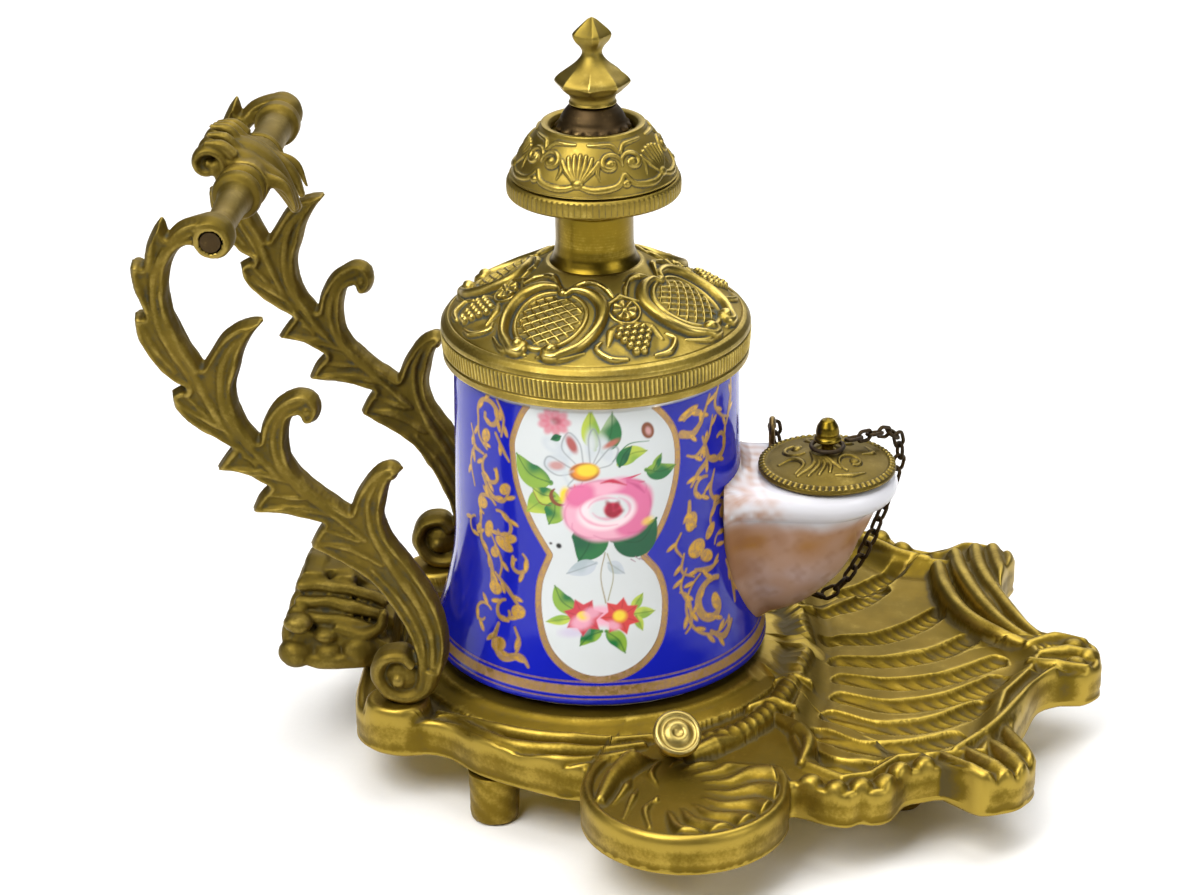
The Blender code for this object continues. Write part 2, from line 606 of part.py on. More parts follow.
def make_back_ornament():
    """Cast rocaille between the feet of the arms, standing on the back of the plate."""
    base = (RIM_Z + GAP) / MM - ARM_ZERO
    outline = [(-37.4, base), (-37.4, 3.2), (-38.6, 5.4), (-41.5, 10.5), (-45.0, 14.6), (-50.5, 16.2),
               (-56.0, 15.2), (-57.4, 11.4), (-55.6, 8.4), (-57.6, 6.2), (-57.0, 2.6), (-60.4, 0.0),
               (-60.4, -4.4), (-56.0, -6.2), (-51.6, -5.0), (-48.5, -1.5), (-46.5, base)]
    body = slab_across(outline, ORNAMENT_HALF)
    body.name = "back_ornament"
    tapped = cylinder("tapped", SCREW_RADIUS + GAP, 0, RIM_Z + GAP + 5.0 * MM,
                      (ORNAMENT_SCREW_X, 0, 0), sides=12)
    return cut(body, tapped)


# ---- Porcelain ------------------------------------------------------------------------------------
def body_profile():
    """Outline of the porcelain's outside from its foot to its top edge, then down its inside."""
    waist = BODY_WAIST_RADIUS
    flare = BODY_FOOT_RADIUS - waist
    outside = [(BODY_FOOT_RADIUS - 0.8 * MM, 0), (BODY_FOOT_RADIUS, 0.7 * MM),
               (BODY_FOOT_RADIUS - 0.2 * flare, 4.0 * MM), (waist + 0.58 * flare, 8.0 * MM),
               (waist + 0.30 * flare, 13.0 * MM), (waist + 0.1 * flare, 18.0 * MM),
               (waist, 23.0 * MM), (waist - 0.4 * MM, BODY_HEIGHT - BAND_LAP - 1.5 * MM),
               (BODY_TOP_RADIUS, BODY_HEIGHT - BAND_LAP - 0.5 * MM),
               (BODY_TOP_RADIUS, BODY_HEIGHT)]
    inner = BODY_TOP_RADIUS - BODY_WALL
    inside = [(inner, BODY_HEIGHT), (inner, RESERVOIR_FLOOR + 2 * MM),
              (inner - 2 * MM, RESERVOIR_FLOOR), (0, RESERVOIR_FLOOR)]
    return [(0, 0)] + outside + inside


def stadium(right, half, left, height, count=12):
    """A plan section with a round right end, whose straight sides run back to the left."""
    section = [(left, -half, height)]
    for i in range(count + 1):
        turn = math.pi * (i / count - 0.5)
        section.append((right - half + half * math.cos(turn), half * math.sin(turn), height))
    section.append((left, half, height))
    return section


def make_porcelain():
    profile = [(r, BODY_Z + z) for r, z in body_profile()]
    body = turned("porcelain_body", profile, "cobalt_porcelain", sides=40)
    inside = BODY_TOP_RADIUS - BODY_WALL + 1.2 * MM
    right = CUP_X + CUP_RADIUS
    scale = CUP_TOP / CUP_SHAPE[-1][0]
    grown = CUP_RADIUS - max(half for _, _, half in CUP_SHAPE) * MM
    sections = [stadium(right - inset * MM, half * MM + grown, inside, BODY_Z + height * scale)
                for height, inset, half in CUP_SHAPE]
    join(body, loft("cup", sections, "cobalt_porcelain"))
    low = BODY_Z + CUP_FLOOR
    ink_space = [circle_section(37.6 * MM, 3.0 * MM, low),
                 circle_section(38.6 * MM, 4.6 * MM, low + 4 * MM),
                 circle_section(40.4 * MM, 7.0 * MM, low + 11 * MM),
                 circle_section(CUP_X, CUP_MOUTH_RADIUS, CUP_Z - 6.0 * MM),
                 circle_section(CUP_X, CUP_MOUTH_RADIUS, CUP_Z + MM)]
    cut(body, loft("well", ink_space, "cobalt_porcelain"))
    passage = cylinder("passage", INK_PASSAGE_RADIUS, 0, 22 * MM, sides=10)
    passage.rotation_euler = (0, math.pi / 2, 0)
    passage.location = (inside - 4 * MM, 0, low + INK_PASSAGE_RADIUS + 0.3 * MM)
    bpy.context.view_layer.update()
    cut(body, passage)
    cut(body, cylinder("anchor_hole", ANCHOR_WIRE + GAP, CUP_Z - 3 * MM, CUP_Z + MM,
                       (ANCHOR_X, ANCHOR_Y, 0), sides=8))
    return body


def circle_section(x, radius, height, count=24):
    turns = [2 * math.pi * i / count for i in range(count)]
    return [(x + radius * math.cos(t), radius * math.sin(t), height) for t in turns]


# ---- Cap, neck and gland ---------------------------------------------------------------------------
def make_cap():
    inner = BAND_RADIUS - BAND_WALL
    cone_foot = BAND_RADIUS - 1.1 * MM
    hole = NECK_RADIUS - 0.6 * MM
    profile = [(inner, BAND_Z), (BAND_RADIUS - 0.2 * MM, BAND_Z), (BAND_RADIUS, BAND_Z + 1.2 * MM),
               (BAND_RADIUS, CAP_Z - 2.0 * MM), (BAND_RADIUS - 0.4 * MM, CAP_Z - 1.0 * MM),
               (cone_foot, CAP_Z), (0.62 * cone_foot, CAP_Z + 0.56 * CAP_RISE),
               (NECK_FLANGE + 0.4 * MM, CAP_TOP_Z), (hole, CAP_TOP_Z),
               (hole, CAP_TOP_Z - CAP_SKIN), (NECK_FLANGE, CAP_TOP_Z - CAP_SKIN - 0.4 * MM),
               (0.6 * cone_foot, CAP_Z + 0.56 * CAP_RISE - CAP_SKIN), (inner, CAP_Z - 1.2 * MM)]
    turned("cap_cover", profile, "gilt_bronze", sides=36)
    bore = BODY_TOP_RADIUS + GAP
    washer("cap_cement", bore, bore + CAP_CEMENT, BAND_Z + 0.6 * MM, BODY_TOP_Z - 0.5 * MM, "cement",
           SIDES)


def make_neck():
    spigot = NECK_RADIUS - 0.6 * MM - GAP
    bore = SPINDLE_RADIUS + THREAD_DEPTH + RUN
    well = GLAND_RADIUS + GAP
    low = CAP_TOP_Z - CAP_SKIN - 1.8 * MM
    profile = [(bore, low), (spigot, low), (spigot, NECK_Z), (NECK_FLANGE, NECK_Z),
               (NECK_FLANGE, NECK_Z + 0.5 * MM), (NECK_RADIUS + 0.5 * MM, NECK_Z + 3.0 * MM),
               (NECK_RADIUS, NECK_Z + 6.3 * MM), (NECK_RADIUS + 0.3 * MM, NECK_TOP_Z - 0.6 * MM),
               (NECK_RADIUS, NECK_TOP_Z), (well, NECK_TOP_Z), (well, GLAND_Z - GAP), (bore, GLAND_Z - GAP)]
    turned("neck_collar", profile, "bright_brass", sides=24)
    washer("gland_leather", bore, GLAND_RADIUS, GLAND_Z, GLAND_Z + GLAND_HEIGHT, "leather")
    bush = [(bore, BUSH_Z), (GLAND_RADIUS, BUSH_Z), (GLAND_RADIUS, NECK_TOP_Z - 0.4 * MM),
            (bore, NECK_TOP_Z - 0.4 * MM)]
    turned("spindle_bush", bush, "bright_brass", sides=SMALL_SIDES)


# ---- Knob, spindle and plunger ---------------------------------------------------------------------
def make_knob():
    ring_top = KNOB_Z + KNOB_RING_HEIGHT
    ring_bore = KNOB_RADIUS - KNOB_RING_WALL
    ring = [(ring_bore, KNOB_Z), (KNOB_RADIUS - 0.5 * MM, KNOB_Z),
            (KNOB_RADIUS, KNOB_Z + 0.6 * MM), (KNOB_RADIUS, ring_top - 0.5 * MM),
            (KNOB_RADIUS - 0.4 * MM, ring_top), (ring_bore, ring_top)]
    turned("knob_base_ring", ring, "gilt_bronze", sides=SIDES)
    skirt = ring_bore - GAP
    top = KNOB_TOP_Z
    shell = [(skirt - KNOB_SKIN, KNOB_Z + 0.4 * MM), (skirt, KNOB_Z + 0.4 * MM),
             (skirt, ring_top + GAP), (KNOB_RADIUS - 0.5 * MM, ring_top + GAP),
             (KNOB_RADIUS - 0.6 * MM, ring_top + 0.9 * MM), (KNOB_RADIUS - 1.9 * MM, KNOB_Z + 6.3 * MM),
             (KNOB_RADIUS - 3.6 * MM, KNOB_Z + 8.7 * MM), (KNOB_MOUTH + 2.7 * MM, KNOB_Z + 10.6 * MM),
             (KNOB_MOUTH + 1.6 * MM, top), (KNOB_MOUTH + 0.7 * MM, top), (KNOB_MOUTH, top - 0.8 * MM),
             (KNOB_MOUTH, SEAT_Z), (KNOB_MOUTH + 1.5 * MM, SEAT_Z),
             (KNOB_RADIUS - 5.2 * MM, KNOB_Z + 8.6 * MM),
             (KNOB_RADIUS - 3.5 * MM, KNOB_Z + 6.2 * MM), (skirt - KNOB_SKIN, KNOB_Z + 3.8 * MM)]
    turned("knob_shell", shell, "gilt_bronze", sides=SIDES)
    bore = STUD_RADIUS + GAP
    hub_top = HUB_Z + HUB_HEIGHT
    hub = [(bore, HUB_Z), (4.5 * MM, HUB_Z), (4.8 * MM, HUB_Z + 0.9 * MM),
           (KNOB_MOUTH + 1.0 * MM, HUB_Z + 0.9 * MM), (KNOB_MOUTH + 1.0 * MM, hub_top), (bore, hub_top)]
    turned("knob_hub", hub, "bright_brass", sides=SMALL_SIDES)


def make_finial():
    bore = STUD_RADIUS + GAP
    low = HUB_Z + HUB_HEIGHT + GAP
    boss = [(bore, low), (KNOB_MOUTH - 1.2 * MM, low), (KNOB_MOUTH - 0.6 * MM, low + 0.8 * MM),
            (KNOB_MOUTH - 1.0 * MM, low + 2.3 * MM), (5.4 * MM, low + 3.9 * MM),
            (4.1 * MM, low + BOSS_HEIGHT), (bore, low + BOSS_HEIGHT)]
    turned("finial_boss", boss, "dark_bronze", sides=SMALL_SIDES)
    base = low + BOSS_HEIGHT + GAP
    stud = (bore, base + 3.2 * MM)
    outline = [(0, base + 3.2 * MM), stud, (bore, base), (4.2 * MM, base),
               (3.95 * MM, base + 1.1 * MM),
               (4.6 * MM, base + 2.3 * MM), (FINIAL_RADIUS, base + 3.5 * MM), (FINIAL_RADIUS, base + 4.3 * MM),
               (5.2 * MM, base + 5.7 * MM), (3.0 * MM, base + 7.1 * MM), (1.9 * MM, base + 8.5 * MM),
               (1.8 * MM, base + 9.3 * MM), (2.5 * MM, base + 10.3 * MM), (3.2 * MM, base + 12.4 * MM),
               (2.2 * MM, base + 14.0 * MM), (0.7 * MM, base + 15.1 * MM), (0, base + 15.3 * MM)]
    turned("finial", outline, "gilt_bronze", sides=SMALL_SIDES)
    return base + 2.9 * MM


def make_spindle(top):
    """The spindle: a plain stem, a threaded length that runs in the bush, and a stud at each end."""
    sides = 12
    stud_low = SHOULDER_Z - STACK_LENGTH
    thread_low, thread_high = BUSH_Z - 2 * MM, HUB_Z - 0.8 * MM
    rows = [(STUD_RADIUS, stud_low), (STUD_RADIUS, SHOULDER_Z), (4.0 * MM, SHOULDER_Z),
            (4.0 * MM, SHOULDER_Z + 1.4 * MM), (SPINDLE_RADIUS, SHOULDER_Z + 1.4 * MM),
            (SPINDLE_RADIUS, thread_low - 0.5 * MM)]
    steps = round((thread_high - thread_low) / (0.3 * THREAD_LEAD))
    points, rings = ring_points([(0, stud_low)] + rows, sides, (0, 0, 0))
    for k in range(steps + 1):
        height = thread_low + (thread_high - thread_low) * k / steps
        ring = []
        for i in range(sides):
            turn = 2 * math.pi * i / sides
            radius = SPINDLE_RADIUS + THREAD_DEPTH * math.cos(2 * math.pi * height / THREAD_LEAD - turn)
            ring.append(len(points))
            points.append((radius * math.cos(turn), radius * math.sin(turn), height))
        rings.append(ring)
    tail = [(STUD_RADIUS, thread_high + 0.5 * MM), (STUD_RADIUS, top), (0, top)]
    more, more_rings = ring_points(tail, sides, (0, 0, 0))
    rings += [[len(points) + i for i in ring] for ring in more_rings]
    add_mesh("spindle", points + more, skin(rings, closed=False), "bright_brass")


def make_plunger():
    bore = STUD_RADIUS + GAP
    top = SHOULDER_Z - GAP
    washer("plunger_leather", bore, PLUNGER_RADIUS - 2 * MM, top - SEAL_THICKNESS, top, "leather")
    top -= SEAL_THICKNESS + GAP
    low = top - PLUNGER_LENGTH
    edge = 1.5 * MM
    profile = [(bore, low), (PLUNGER_RADIUS - edge, low), (PLUNGER_RADIUS, low + edge),
               (PLUNGER_RADIUS, top - edge), (PLUNGER_RADIUS - edge, top), (bore, top)]
    turned("plunger_body", profile, "plunger_porcelain")
    top = low - GAP
    washer("plunger_washer", bore, WASHER_RADIUS, top - WASHER_THICKNESS, top, "bright_brass")
    top -= WASHER_THICKNESS + GAP
    low = top - PLUNGER_NUT_HEIGHT
    washer("plunger_nut", bore, PLUNGER_NUT_RADIUS, low, top, "bright_brass", 6)


# ---- Spout lid and its chain -------------------------------------------------------------------------
def make_lid():
    centre = (CUP_X, 0, 0)
    rim_top = LID_Z + LID_THICKNESS
    crown = rim_top + LID_DOME
    bore = LID_STUD_RADIUS + GAP
    lid = [(bore, LID_Z + 1.0 * MM), (CUP_MOUTH_RADIUS - 1.2 * MM, LID_Z + 1.0 * MM),
           (CUP_MOUTH_RADIUS - 1.2 * MM, LID_Z), (LID_RADIUS - 0.3 * MM, LID_Z),
           (LID_RADIUS, LID_Z + 0.4 * MM), (LID_RADIUS - 0.4 * MM, rim_top),
           (0.78 * LID_RADIUS, rim_top + 0.35 * LID_DOME), (0.4 * LID_RADIUS, rim_top + 0.85 * LID_DOME),
           (0.22 * LID_RADIUS, crown), (bore, crown)]
    turned("spout_lid", lid, "gilt_bronze", centre, 24)
    sleeve = CUP_MOUTH_RADIUS - 0.6 * MM
    low = LID_Z - GAP - LID_SLEEVE_LENGTH
    inside, top = sleeve - 0.9 * MM, LID_Z - GAP
    turned("lid_sleeve", [(inside, low), (sleeve, low), (sleeve, top), (inside, top)], "bright_brass",
           centre, 24)
    acorn_z = crown + GAP + 2 * RING_WIRE + GAP
    acorn = [(0, LID_Z - 1.6 * MM), (2.2 * MM, LID_Z - 1.6 * MM), (2.2 * MM, LID_Z + 0.7 * MM),
             (LID_STUD_RADIUS, LID_Z + 0.7 * MM), (LID_STUD_RADIUS, acorn_z), (1.9 * MM, acorn_z),
             (2.6 * MM, acorn_z + 0.7 * MM), (2.3 * MM, acorn_z + 1.5 * MM), (2.0 * MM, acorn_z + 2.6 * MM),
             (1.0 * MM, acorn_z + 4.2 * MM), (0, acorn_z + 4.8 * MM)]
    turned("lid_acorn", acorn, "bright_brass", centre, 16)
    return crown + GAP + RING_WIRE


def make_ring(name, x, y, z, radius, wire):
    """A flat-lying wire ring."""
    profile = [(radius + wire * math.cos(t), z + wire * math.sin(t))
               for t in (2 * math.pi * i / 6 for i in range(6))]
    return turned(name, profile, "dark_bronze", (x, y, 0), 16)


def make_tube(name, knots, steps):
    """A plain round tube through the knots, in mm, with z counted as on the arms."""
    curve = bpy.data.curves.new(name, "CURVE")
    curve.dimensions = "3D"
    curve.bevel_depth = CHAIN_RADIUS
    curve.bevel_resolution = 2
    curve.use_fill_caps = True
    path = smooth_path([(x * MM, y * MM, (z + ARM_ZERO) * MM) for x, y, z in knots], steps)
    spline = curve.splines.new("POLY")
    spline.points.add(len(path) - 1)
    for point, place in zip(spline.points, path):
        point.co = (*place, 1)
    curve.materials.append(material("dark_bronze"))
    obj = bpy.data.objects.new(name, curve)
    bpy.context.scene.collection.objects.link(obj)
    return obj


def make_chain(ring_z):
    make_ring("lid_chain_ring", CUP_X, 0, ring_z, RING_RADIUS, RING_WIRE)
    make_tube("chain_on_lid", CHAIN_OVER_LID, 2)
    make_tube("chain_hanging", CHAIN_HANGING, 2)
    top = CUP_Z + 4.2 * MM
    place = (ANCHOR_X, ANCHOR_Y, 0)
    anchor = cylinder("chain_anchor", ANCHOR_WIRE, CUP_Z - 2.4 * MM, top, place, "dark_bronze", 8)
    head = cylinder("head", 1.1 * MM, top - 0.2 * MM, top + 0.9 * MM, place, "dark_bronze", 8)
    join(anchor, head)


# ---- Assembly ------------------------------------------------------------------------------------------
def place_all():
    """Parents every piece to an empty that puts the origin under the middle of the outline."""
    root = bpy.data.objects.new("inkwell", None)
    bpy.context.scene.collection.objects.link(root)
    for obj in list(bpy.context.scene.collection.objects):
        if obj is not root:
            obj.parent = root
    root.location = (AXIS_X, 0, 0)


def main():
    clear_scene()
    make_stand()
    make_feet()
    make_buttons()
    make_bed()
    for name, side in (("arm_front", -1), ("arm_rear", 1)):
        make_arm(name, side)
    for name, (x, y) in arm_screw_places():
        make_screw(name, x, y, ARM_Z + 5.0 * MM)
    make_crossbar()
    make_crossbar_scroll()
    make_back_ornament()
    make_screw("ornament_screw", ORNAMENT_SCREW_X, 0, RIM_Z + GAP + 4.0 * MM)
    make_porcelain()
    make_cap()
    make_neck()
    make_knob()
    spindle_top = make_finial()
    make_spindle(spindle_top)
    make_plunger()
    ring_z = make_lid()
    make_chain(ring_z)
    place_all()


main()
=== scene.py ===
"""Looks of a desk inkwell: painted porcelain on a gilt bronze stand with a shell tray.

Shapes are worked out in millimetres about the porcelain body's axis, z up from the ground, and are
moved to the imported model's frame at the end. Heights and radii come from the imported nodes' boxes.
"""
import math

import bpy
import numpy as np
from mathutils import Matrix, Vector
from mathutils.geometry import delaunay_2d_cdt


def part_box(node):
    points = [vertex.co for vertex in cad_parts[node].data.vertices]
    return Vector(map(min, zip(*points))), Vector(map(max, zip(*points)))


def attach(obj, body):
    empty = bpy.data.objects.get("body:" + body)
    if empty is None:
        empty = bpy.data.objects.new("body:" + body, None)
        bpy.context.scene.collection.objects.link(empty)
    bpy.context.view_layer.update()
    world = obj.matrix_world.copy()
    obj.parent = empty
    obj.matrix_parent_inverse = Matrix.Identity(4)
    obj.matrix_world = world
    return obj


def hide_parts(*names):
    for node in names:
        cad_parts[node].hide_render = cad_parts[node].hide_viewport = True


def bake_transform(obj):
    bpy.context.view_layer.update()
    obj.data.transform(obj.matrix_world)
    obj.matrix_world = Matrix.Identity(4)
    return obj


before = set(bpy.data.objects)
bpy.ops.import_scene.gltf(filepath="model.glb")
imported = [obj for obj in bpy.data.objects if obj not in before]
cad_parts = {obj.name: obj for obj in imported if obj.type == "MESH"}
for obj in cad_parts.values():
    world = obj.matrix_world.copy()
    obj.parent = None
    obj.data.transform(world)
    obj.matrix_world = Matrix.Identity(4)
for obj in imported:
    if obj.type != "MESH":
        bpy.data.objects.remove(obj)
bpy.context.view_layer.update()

MM = 0.001
NECK_LOW, NECK_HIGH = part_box("neck_collar")
AXIS_X = 0.5 * (NECK_LOW[0] + NECK_HIGH[0])
FRONT, REAR = -1, 1
TAU = 2 * math.pi


def span(node):
    """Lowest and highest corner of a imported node, in mm about the body's axis."""
    corners = np.array([list(c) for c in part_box(node)])
    corners[:, 0] -= AXIS_X
    return corners / MM


GROUND = 18.0  # heights in the outlines of arms, chain and painting count from this height
BODY_FOOT_Z, BODY_TOP_Z = span("porcelain_body")[:, 2]
BAND_Z, CAP_TOP_Z = span("cap_cover")[:, 2]
NECK_Z, NECK_TOP_Z = span("neck_collar")[:, 2]
KNOB_Z = span("knob_base_ring")[0, 2]
KNOB_TOP_Z = span("knob_shell")[1, 2]
BOSS_Z, BOSS_TOP_Z = span("finial_boss")[:, 2]
FINIAL_Z = span("finial")[0, 2]
LID_LOW, LID_HIGH = span("spout_lid")
CUP_X = 0.5 * (LID_LOW[0] + LID_HIGH[0])
LID_RADIUS = 0.5 * (LID_HIGH[0] - LID_LOW[0])
PLATE_FOOT_Z = span("stand_plate")[0, 2]


# ---- Lines and surfaces --------------------------------------------------------------------------
def smooth_line(knots, step):
    """A smooth curve through the knots, with points about a step apart."""
    knots = np.array(knots, float)
    ends = np.vstack([2 * knots[0] - knots[1], knots, 2 * knots[-1] - knots[-2]])
    parts = []
    for a, b, c, d in zip(ends, ends[1:], ends[2:], ends[3:]):
        count = max(1, math.ceil(np.linalg.norm(c - b) / step))
        t = np.arange(count)[:, None] / count
        parts.append(0.5 * (2 * b + (c - a) * t + (2 * a - 5 * b + 4 * c - d) * t**2
                            + (3 * b - a - 3 * c + d) * t**3))
    return np.vstack(parts + [knots[-1:]])


def rounded_line(corners, radius, step):
    """A polyline whose corners are rounded, with points at most a step apart."""
    corners = np.array(corners, float)
    line = [corners[0]]
    for a, b, c in zip(corners, corners[1:], corners[2:]):
        back, ahead = a - b, c - b
        reach = min(radius, 0.45 * np.linalg.norm(back), 0.45 * np.linalg.norm(ahead))
        p, q = b + back / np.linalg.norm(back) * reach, b + ahead / np.linalg.norm(ahead) * reach
        line += [(1 - t) ** 2 * p + 2 * t * (1 - t) * b + t * t * q for t in np.linspace(0, 1, 5)]
    line.append(corners[-1])
    dense = []
    for a, b in zip(line, line[1:]):
        count = max(1, math.ceil(np.linalg.norm(b - a) / step))
        dense += [a + (b - a) * i / count for i in range(count)]
    return np.array(dense + [line[-1]])


def grid_faces(rows, columns, wrap=True, first=0, closed=False):
    """Quads between neighbouring rows of a grid of points."""
    r = np.arange(rows if closed else rows - 1)[:, None]
    i = np.arange(columns if wrap else columns - 1)[None, :]
    j = (i + 1) % columns
    s = (r + 1) % rows
    quads = np.stack([r * columns + i, r * columns + j, s * columns + j, s * columns + i], -1)
    return quads.reshape(-1, 4) + first


def lathe(line, sides, relief=None, centre=(0.0, 0.0), closed=False):
    """Points and faces of a surface turned about Z. The line runs up its outer side, and
    relief(turn, along) raises the surface, with along measured on the line."""
    line = np.asarray(line, float)
    ahead = np.gradient(line, axis=0)
    ahead /= np.maximum(np.linalg.norm(ahead, axis=1, keepdims=True), 1e-9)
    along = np.concatenate([[0], np.cumsum(np.linalg.norm(np.diff(line, axis=0), axis=1))])
    turn = TAU * np.arange(sides) / sides - math.pi
    lift = np.zeros((len(line), sides)) if relief is None else relief(turn[None, :], along[:, None])
    radius = np.maximum(line[:, :1] + ahead[:, 1:] * lift, 0)
    height = line[:, 1:] - ahead[:, :1] * lift
    points = np.stack([centre[0] + radius * np.cos(turn), centre[1] + radius * np.sin(turn), height], -1)
    faces = [grid_faces(len(line), sides, closed=closed)]
    points = points.reshape(-1, 3)
    if closed:
        return points, faces
    quads = faces[0]
    for row, pole in ((0, line[0, 0] < 1e-6), (len(line) - 1, line[-1, 0] < 1e-6)):
        if pole:
            ring = np.arange(row * sides, (row + 1) * sides)
            quads = np.where(np.isin(quads, ring), ring[0], quads)
    return points, [quads]


def tidy_faces(faces):
    """Splits off the triangles that are left where a quad has two equal corners."""
    quads, tris = [], []
    for block in faces:
        if block.shape[1] == 3:
            tris.append(block)
            continue
        after = np.roll(block, -1, axis=1)
        same = block == after
        count = same.sum(1)
        quads.append(block[count == 0])
        one = block[count == 1]
        if len(one):
            tris.append(one[~same[count == 1]].reshape(-1, 3))
    return [f for f in quads + tris if len(f)]


def join_shapes(*shapes):
    """One set of points and faces from several."""
    points, faces, first = [], [], 0
    for some_points, some_faces in shapes:
        points.append(some_points)
        faces += [f + first for f in some_faces]
        first += len(some_points)
    return np.vstack(points), faces


def build_mesh(name, points, faces):
    """A mesh from points and blocks of faces, and the indices of the points that it uses."""
    faces = tidy_faces(faces)
    used = np.unique(np.concatenate([f.ravel() for f in faces]))
    index = np.zeros(len(points), np.int64)
    index[used] = np.arange(len(used))
    points, faces = points[used], [index[f] for f in faces]
    corners = np.concatenate([f.ravel() for f in faces]).astype(np.int32)
    sizes = np.concatenate([np.full(len(f), f.shape[1]) for f in faces])
    starts = np.concatenate([[0], np.cumsum(sizes)[:-1]]).astype(np.int32)
    mesh = bpy.data.meshes.new(name)
    mesh.vertices.add(len(points))
    mesh.vertices.foreach_set("co", points.astype(np.float32).ravel())
    mesh.loops.add(len(corners))
    mesh.loops.foreach_set("vertex_index", corners)
    mesh.polygons.add(len(sizes))
    mesh.polygons.foreach_set("loop_start", starts)
    mesh.update(calc_edges=True)
    mesh.validate()
    return mesh, used


def read_points(mesh, what="co"):
    """Vertex positions, or vertex normals if what isn't "co"."""
    values = np.empty(len(mesh.vertices) * 3, np.float32)
    if what == "co":
        mesh.vertices.foreach_get("co", values)
    else:
        mesh.vertex_normals.foreach_get("vector", values)
    return values.reshape(-1, 3).astype(float)


def write_points(mesh, points):
    mesh.vertices.foreach_set("co", points.astype(np.float32).ravel())
    mesh.update()


def add_values(mesh, name, values):
    """Stores one number at each vertex, for the materials."""
    layer = mesh.attributes.new(name, "FLOAT", "POINT")
    layer.data.foreach_set("value", values.astype(np.float32))


def read_edges(mesh):
    edges = np.empty(len(mesh.edges) * 2, np.int32)
    mesh.edges.foreach_get("vertices", edges)
    return edges.reshape(-1, 2)


def neighbour_mean(values, edges):
    """Each vertex's mean over its neighbours."""
    count = len(values)
    a, b = edges[:, 0], edges[:, 1]
    degree = np.maximum(np.bincount(a, minlength=count) + np.bincount(b, minlength=count), 1)
    mean = np.empty_like(values)
    for k in range(values.shape[1]):
        mean[:, k] = (np.bincount(a, values[b, k], count) + np.bincount(b, values[a, k], count)) / degree
    return mean


def mark_patina_and_highlight(mesh, passes, depth):
    """A relief value at each vertex, for the patina in recesses and the painted highlight on ridges: 0.5 on a
    plain surface, towards 0 in a recess and 1 on a ridge.
    depth is the height in mm that counts as a full ridge."""
    points, edges = read_points(mesh), read_edges(mesh)
    smooth = points.copy()
    for _ in range(passes):
        smooth = 0.5 * smooth + 0.5 * neighbour_mean(smooth, edges)
    height = ((points - smooth) * read_points(mesh, "normal")).sum(1)
    add_values(mesh, "patina_and_highlight", np.clip(0.5 + 0.5 * height / depth, 0, 1))


def relax(mesh):
    """Smooths a mesh a little, swelling it back so that it keeps its size."""
    points, edges = read_points(mesh), read_edges(mesh)
    for amount in (0.5, -0.47):
        points += amount * (neighbour_mean(points, edges) - points)
    write_points(mesh, points)


def fuse(name, shapes, voxel):
    """One closed surface round overlapping closed shapes, as a casting has."""
    mesh, _ = build_mesh(name, *join_shapes(*shapes))
    obj = bpy.data.objects.new(name, mesh)
    bpy.context.scene.collection.objects.link(obj)
    remesh = obj.modifiers.new("fuse", "REMESH")
    remesh.mode = "VOXEL"
    remesh.voxel_size = voxel
    graph = bpy.context.evaluated_depsgraph_get()
    made = bpy.data.meshes.new_from_object(obj.evaluated_get(graph))
    bpy.data.objects.remove(obj)
    bpy.data.meshes.remove(mesh)
    made.name = name
    return made


def add_object(name, mesh, finish):
    """Moves a mesh made in mm about the body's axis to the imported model's frame, and shows it."""
    mesh.transform(Matrix.Translation((AXIS_X, 0, 0)) @ Matrix.Scale(MM, 4))
    mesh.materials.clear()
    mesh.materials.append(finish)
    mesh.shade_smooth()
    obj = bpy.data.objects.new(name, mesh)
    bpy.context.scene.collection.objects.link(obj)
    return obj


def place(name, mesh, finish, body, replaced=()):
    """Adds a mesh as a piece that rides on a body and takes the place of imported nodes."""
    obj = add_object(name, mesh, finish)
    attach(obj, body)
    if replaced:
        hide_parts(*replaced)
    return obj


def piece(name, shape, finish, body, replaced=(), patina_and_highlight=(6, 0.12)):
    """Adds points and faces as a piece. Its last argument holds what the relief marking is given, which sets
    the patina in recesses and the painted highlight on ridges.
    """
    mesh, _ = build_mesh(name, *shape)
    mark_patina_and_highlight(mesh, *patina_and_highlight)
    return place(name, mesh, finish, body, replaced)


# ---- Reliefs -------------------------------------------------------------------------------------
def fade(low, high, value):
    """0 below low, 1 above high, smooth between."""
    t = np.clip((value - low) / (high - low), 0, 1)
    return t * t * (3 - 2 * t)


def along_path(u, v, path):
    """Distance to a polyline, and the share of its points passed at the nearest place."""
    nearest = np.full(np.broadcast(u, v).shape, 1e9)
    where = np.zeros_like(nearest)
    last = len(path) - 1
    for k, (a, b) in enumerate(zip(path, path[1:])):
        du, dv = b[0] - a[0], b[1] - a[1]
        t = np.clip(((u - a[0]) * du + (v - a[1]) * dv) / max(du * du + dv * dv, 1e-9), 0, 1)
        distance = np.hypot(u - a[0] - t * du, v - a[1] - t * dv)
        closer = distance < nearest
        nearest = np.where(closer, distance, nearest)
        where = np.where(closer, (k + t) / last, where)
    return nearest, where


def rope(u, v, path, widths, height):
    """A half-round ridge along a path. widths are half widths at even steps along it. A path that is
    a list of more than two points is smoothed first."""
    if len(path) > 2 and isinstance(path, list):
        path = smooth_line(path, 0.8)
    distance, where = along_path(u, v, path)
    half = np.interp(where, np.linspace(0, 1, len(widths)), widths)
    return height * np.sqrt(np.clip(1 - (distance / half) ** 2, 0, 1)) * np.minimum(half / max(widths), 1)


def knob(u, v, at, radius, height):
    """A round boss."""
    return height * np.sqrt(np.clip(1 - ((u - at[0]) ** 2 + (v - at[1]) ** 2) / radius**2, 0, 1))


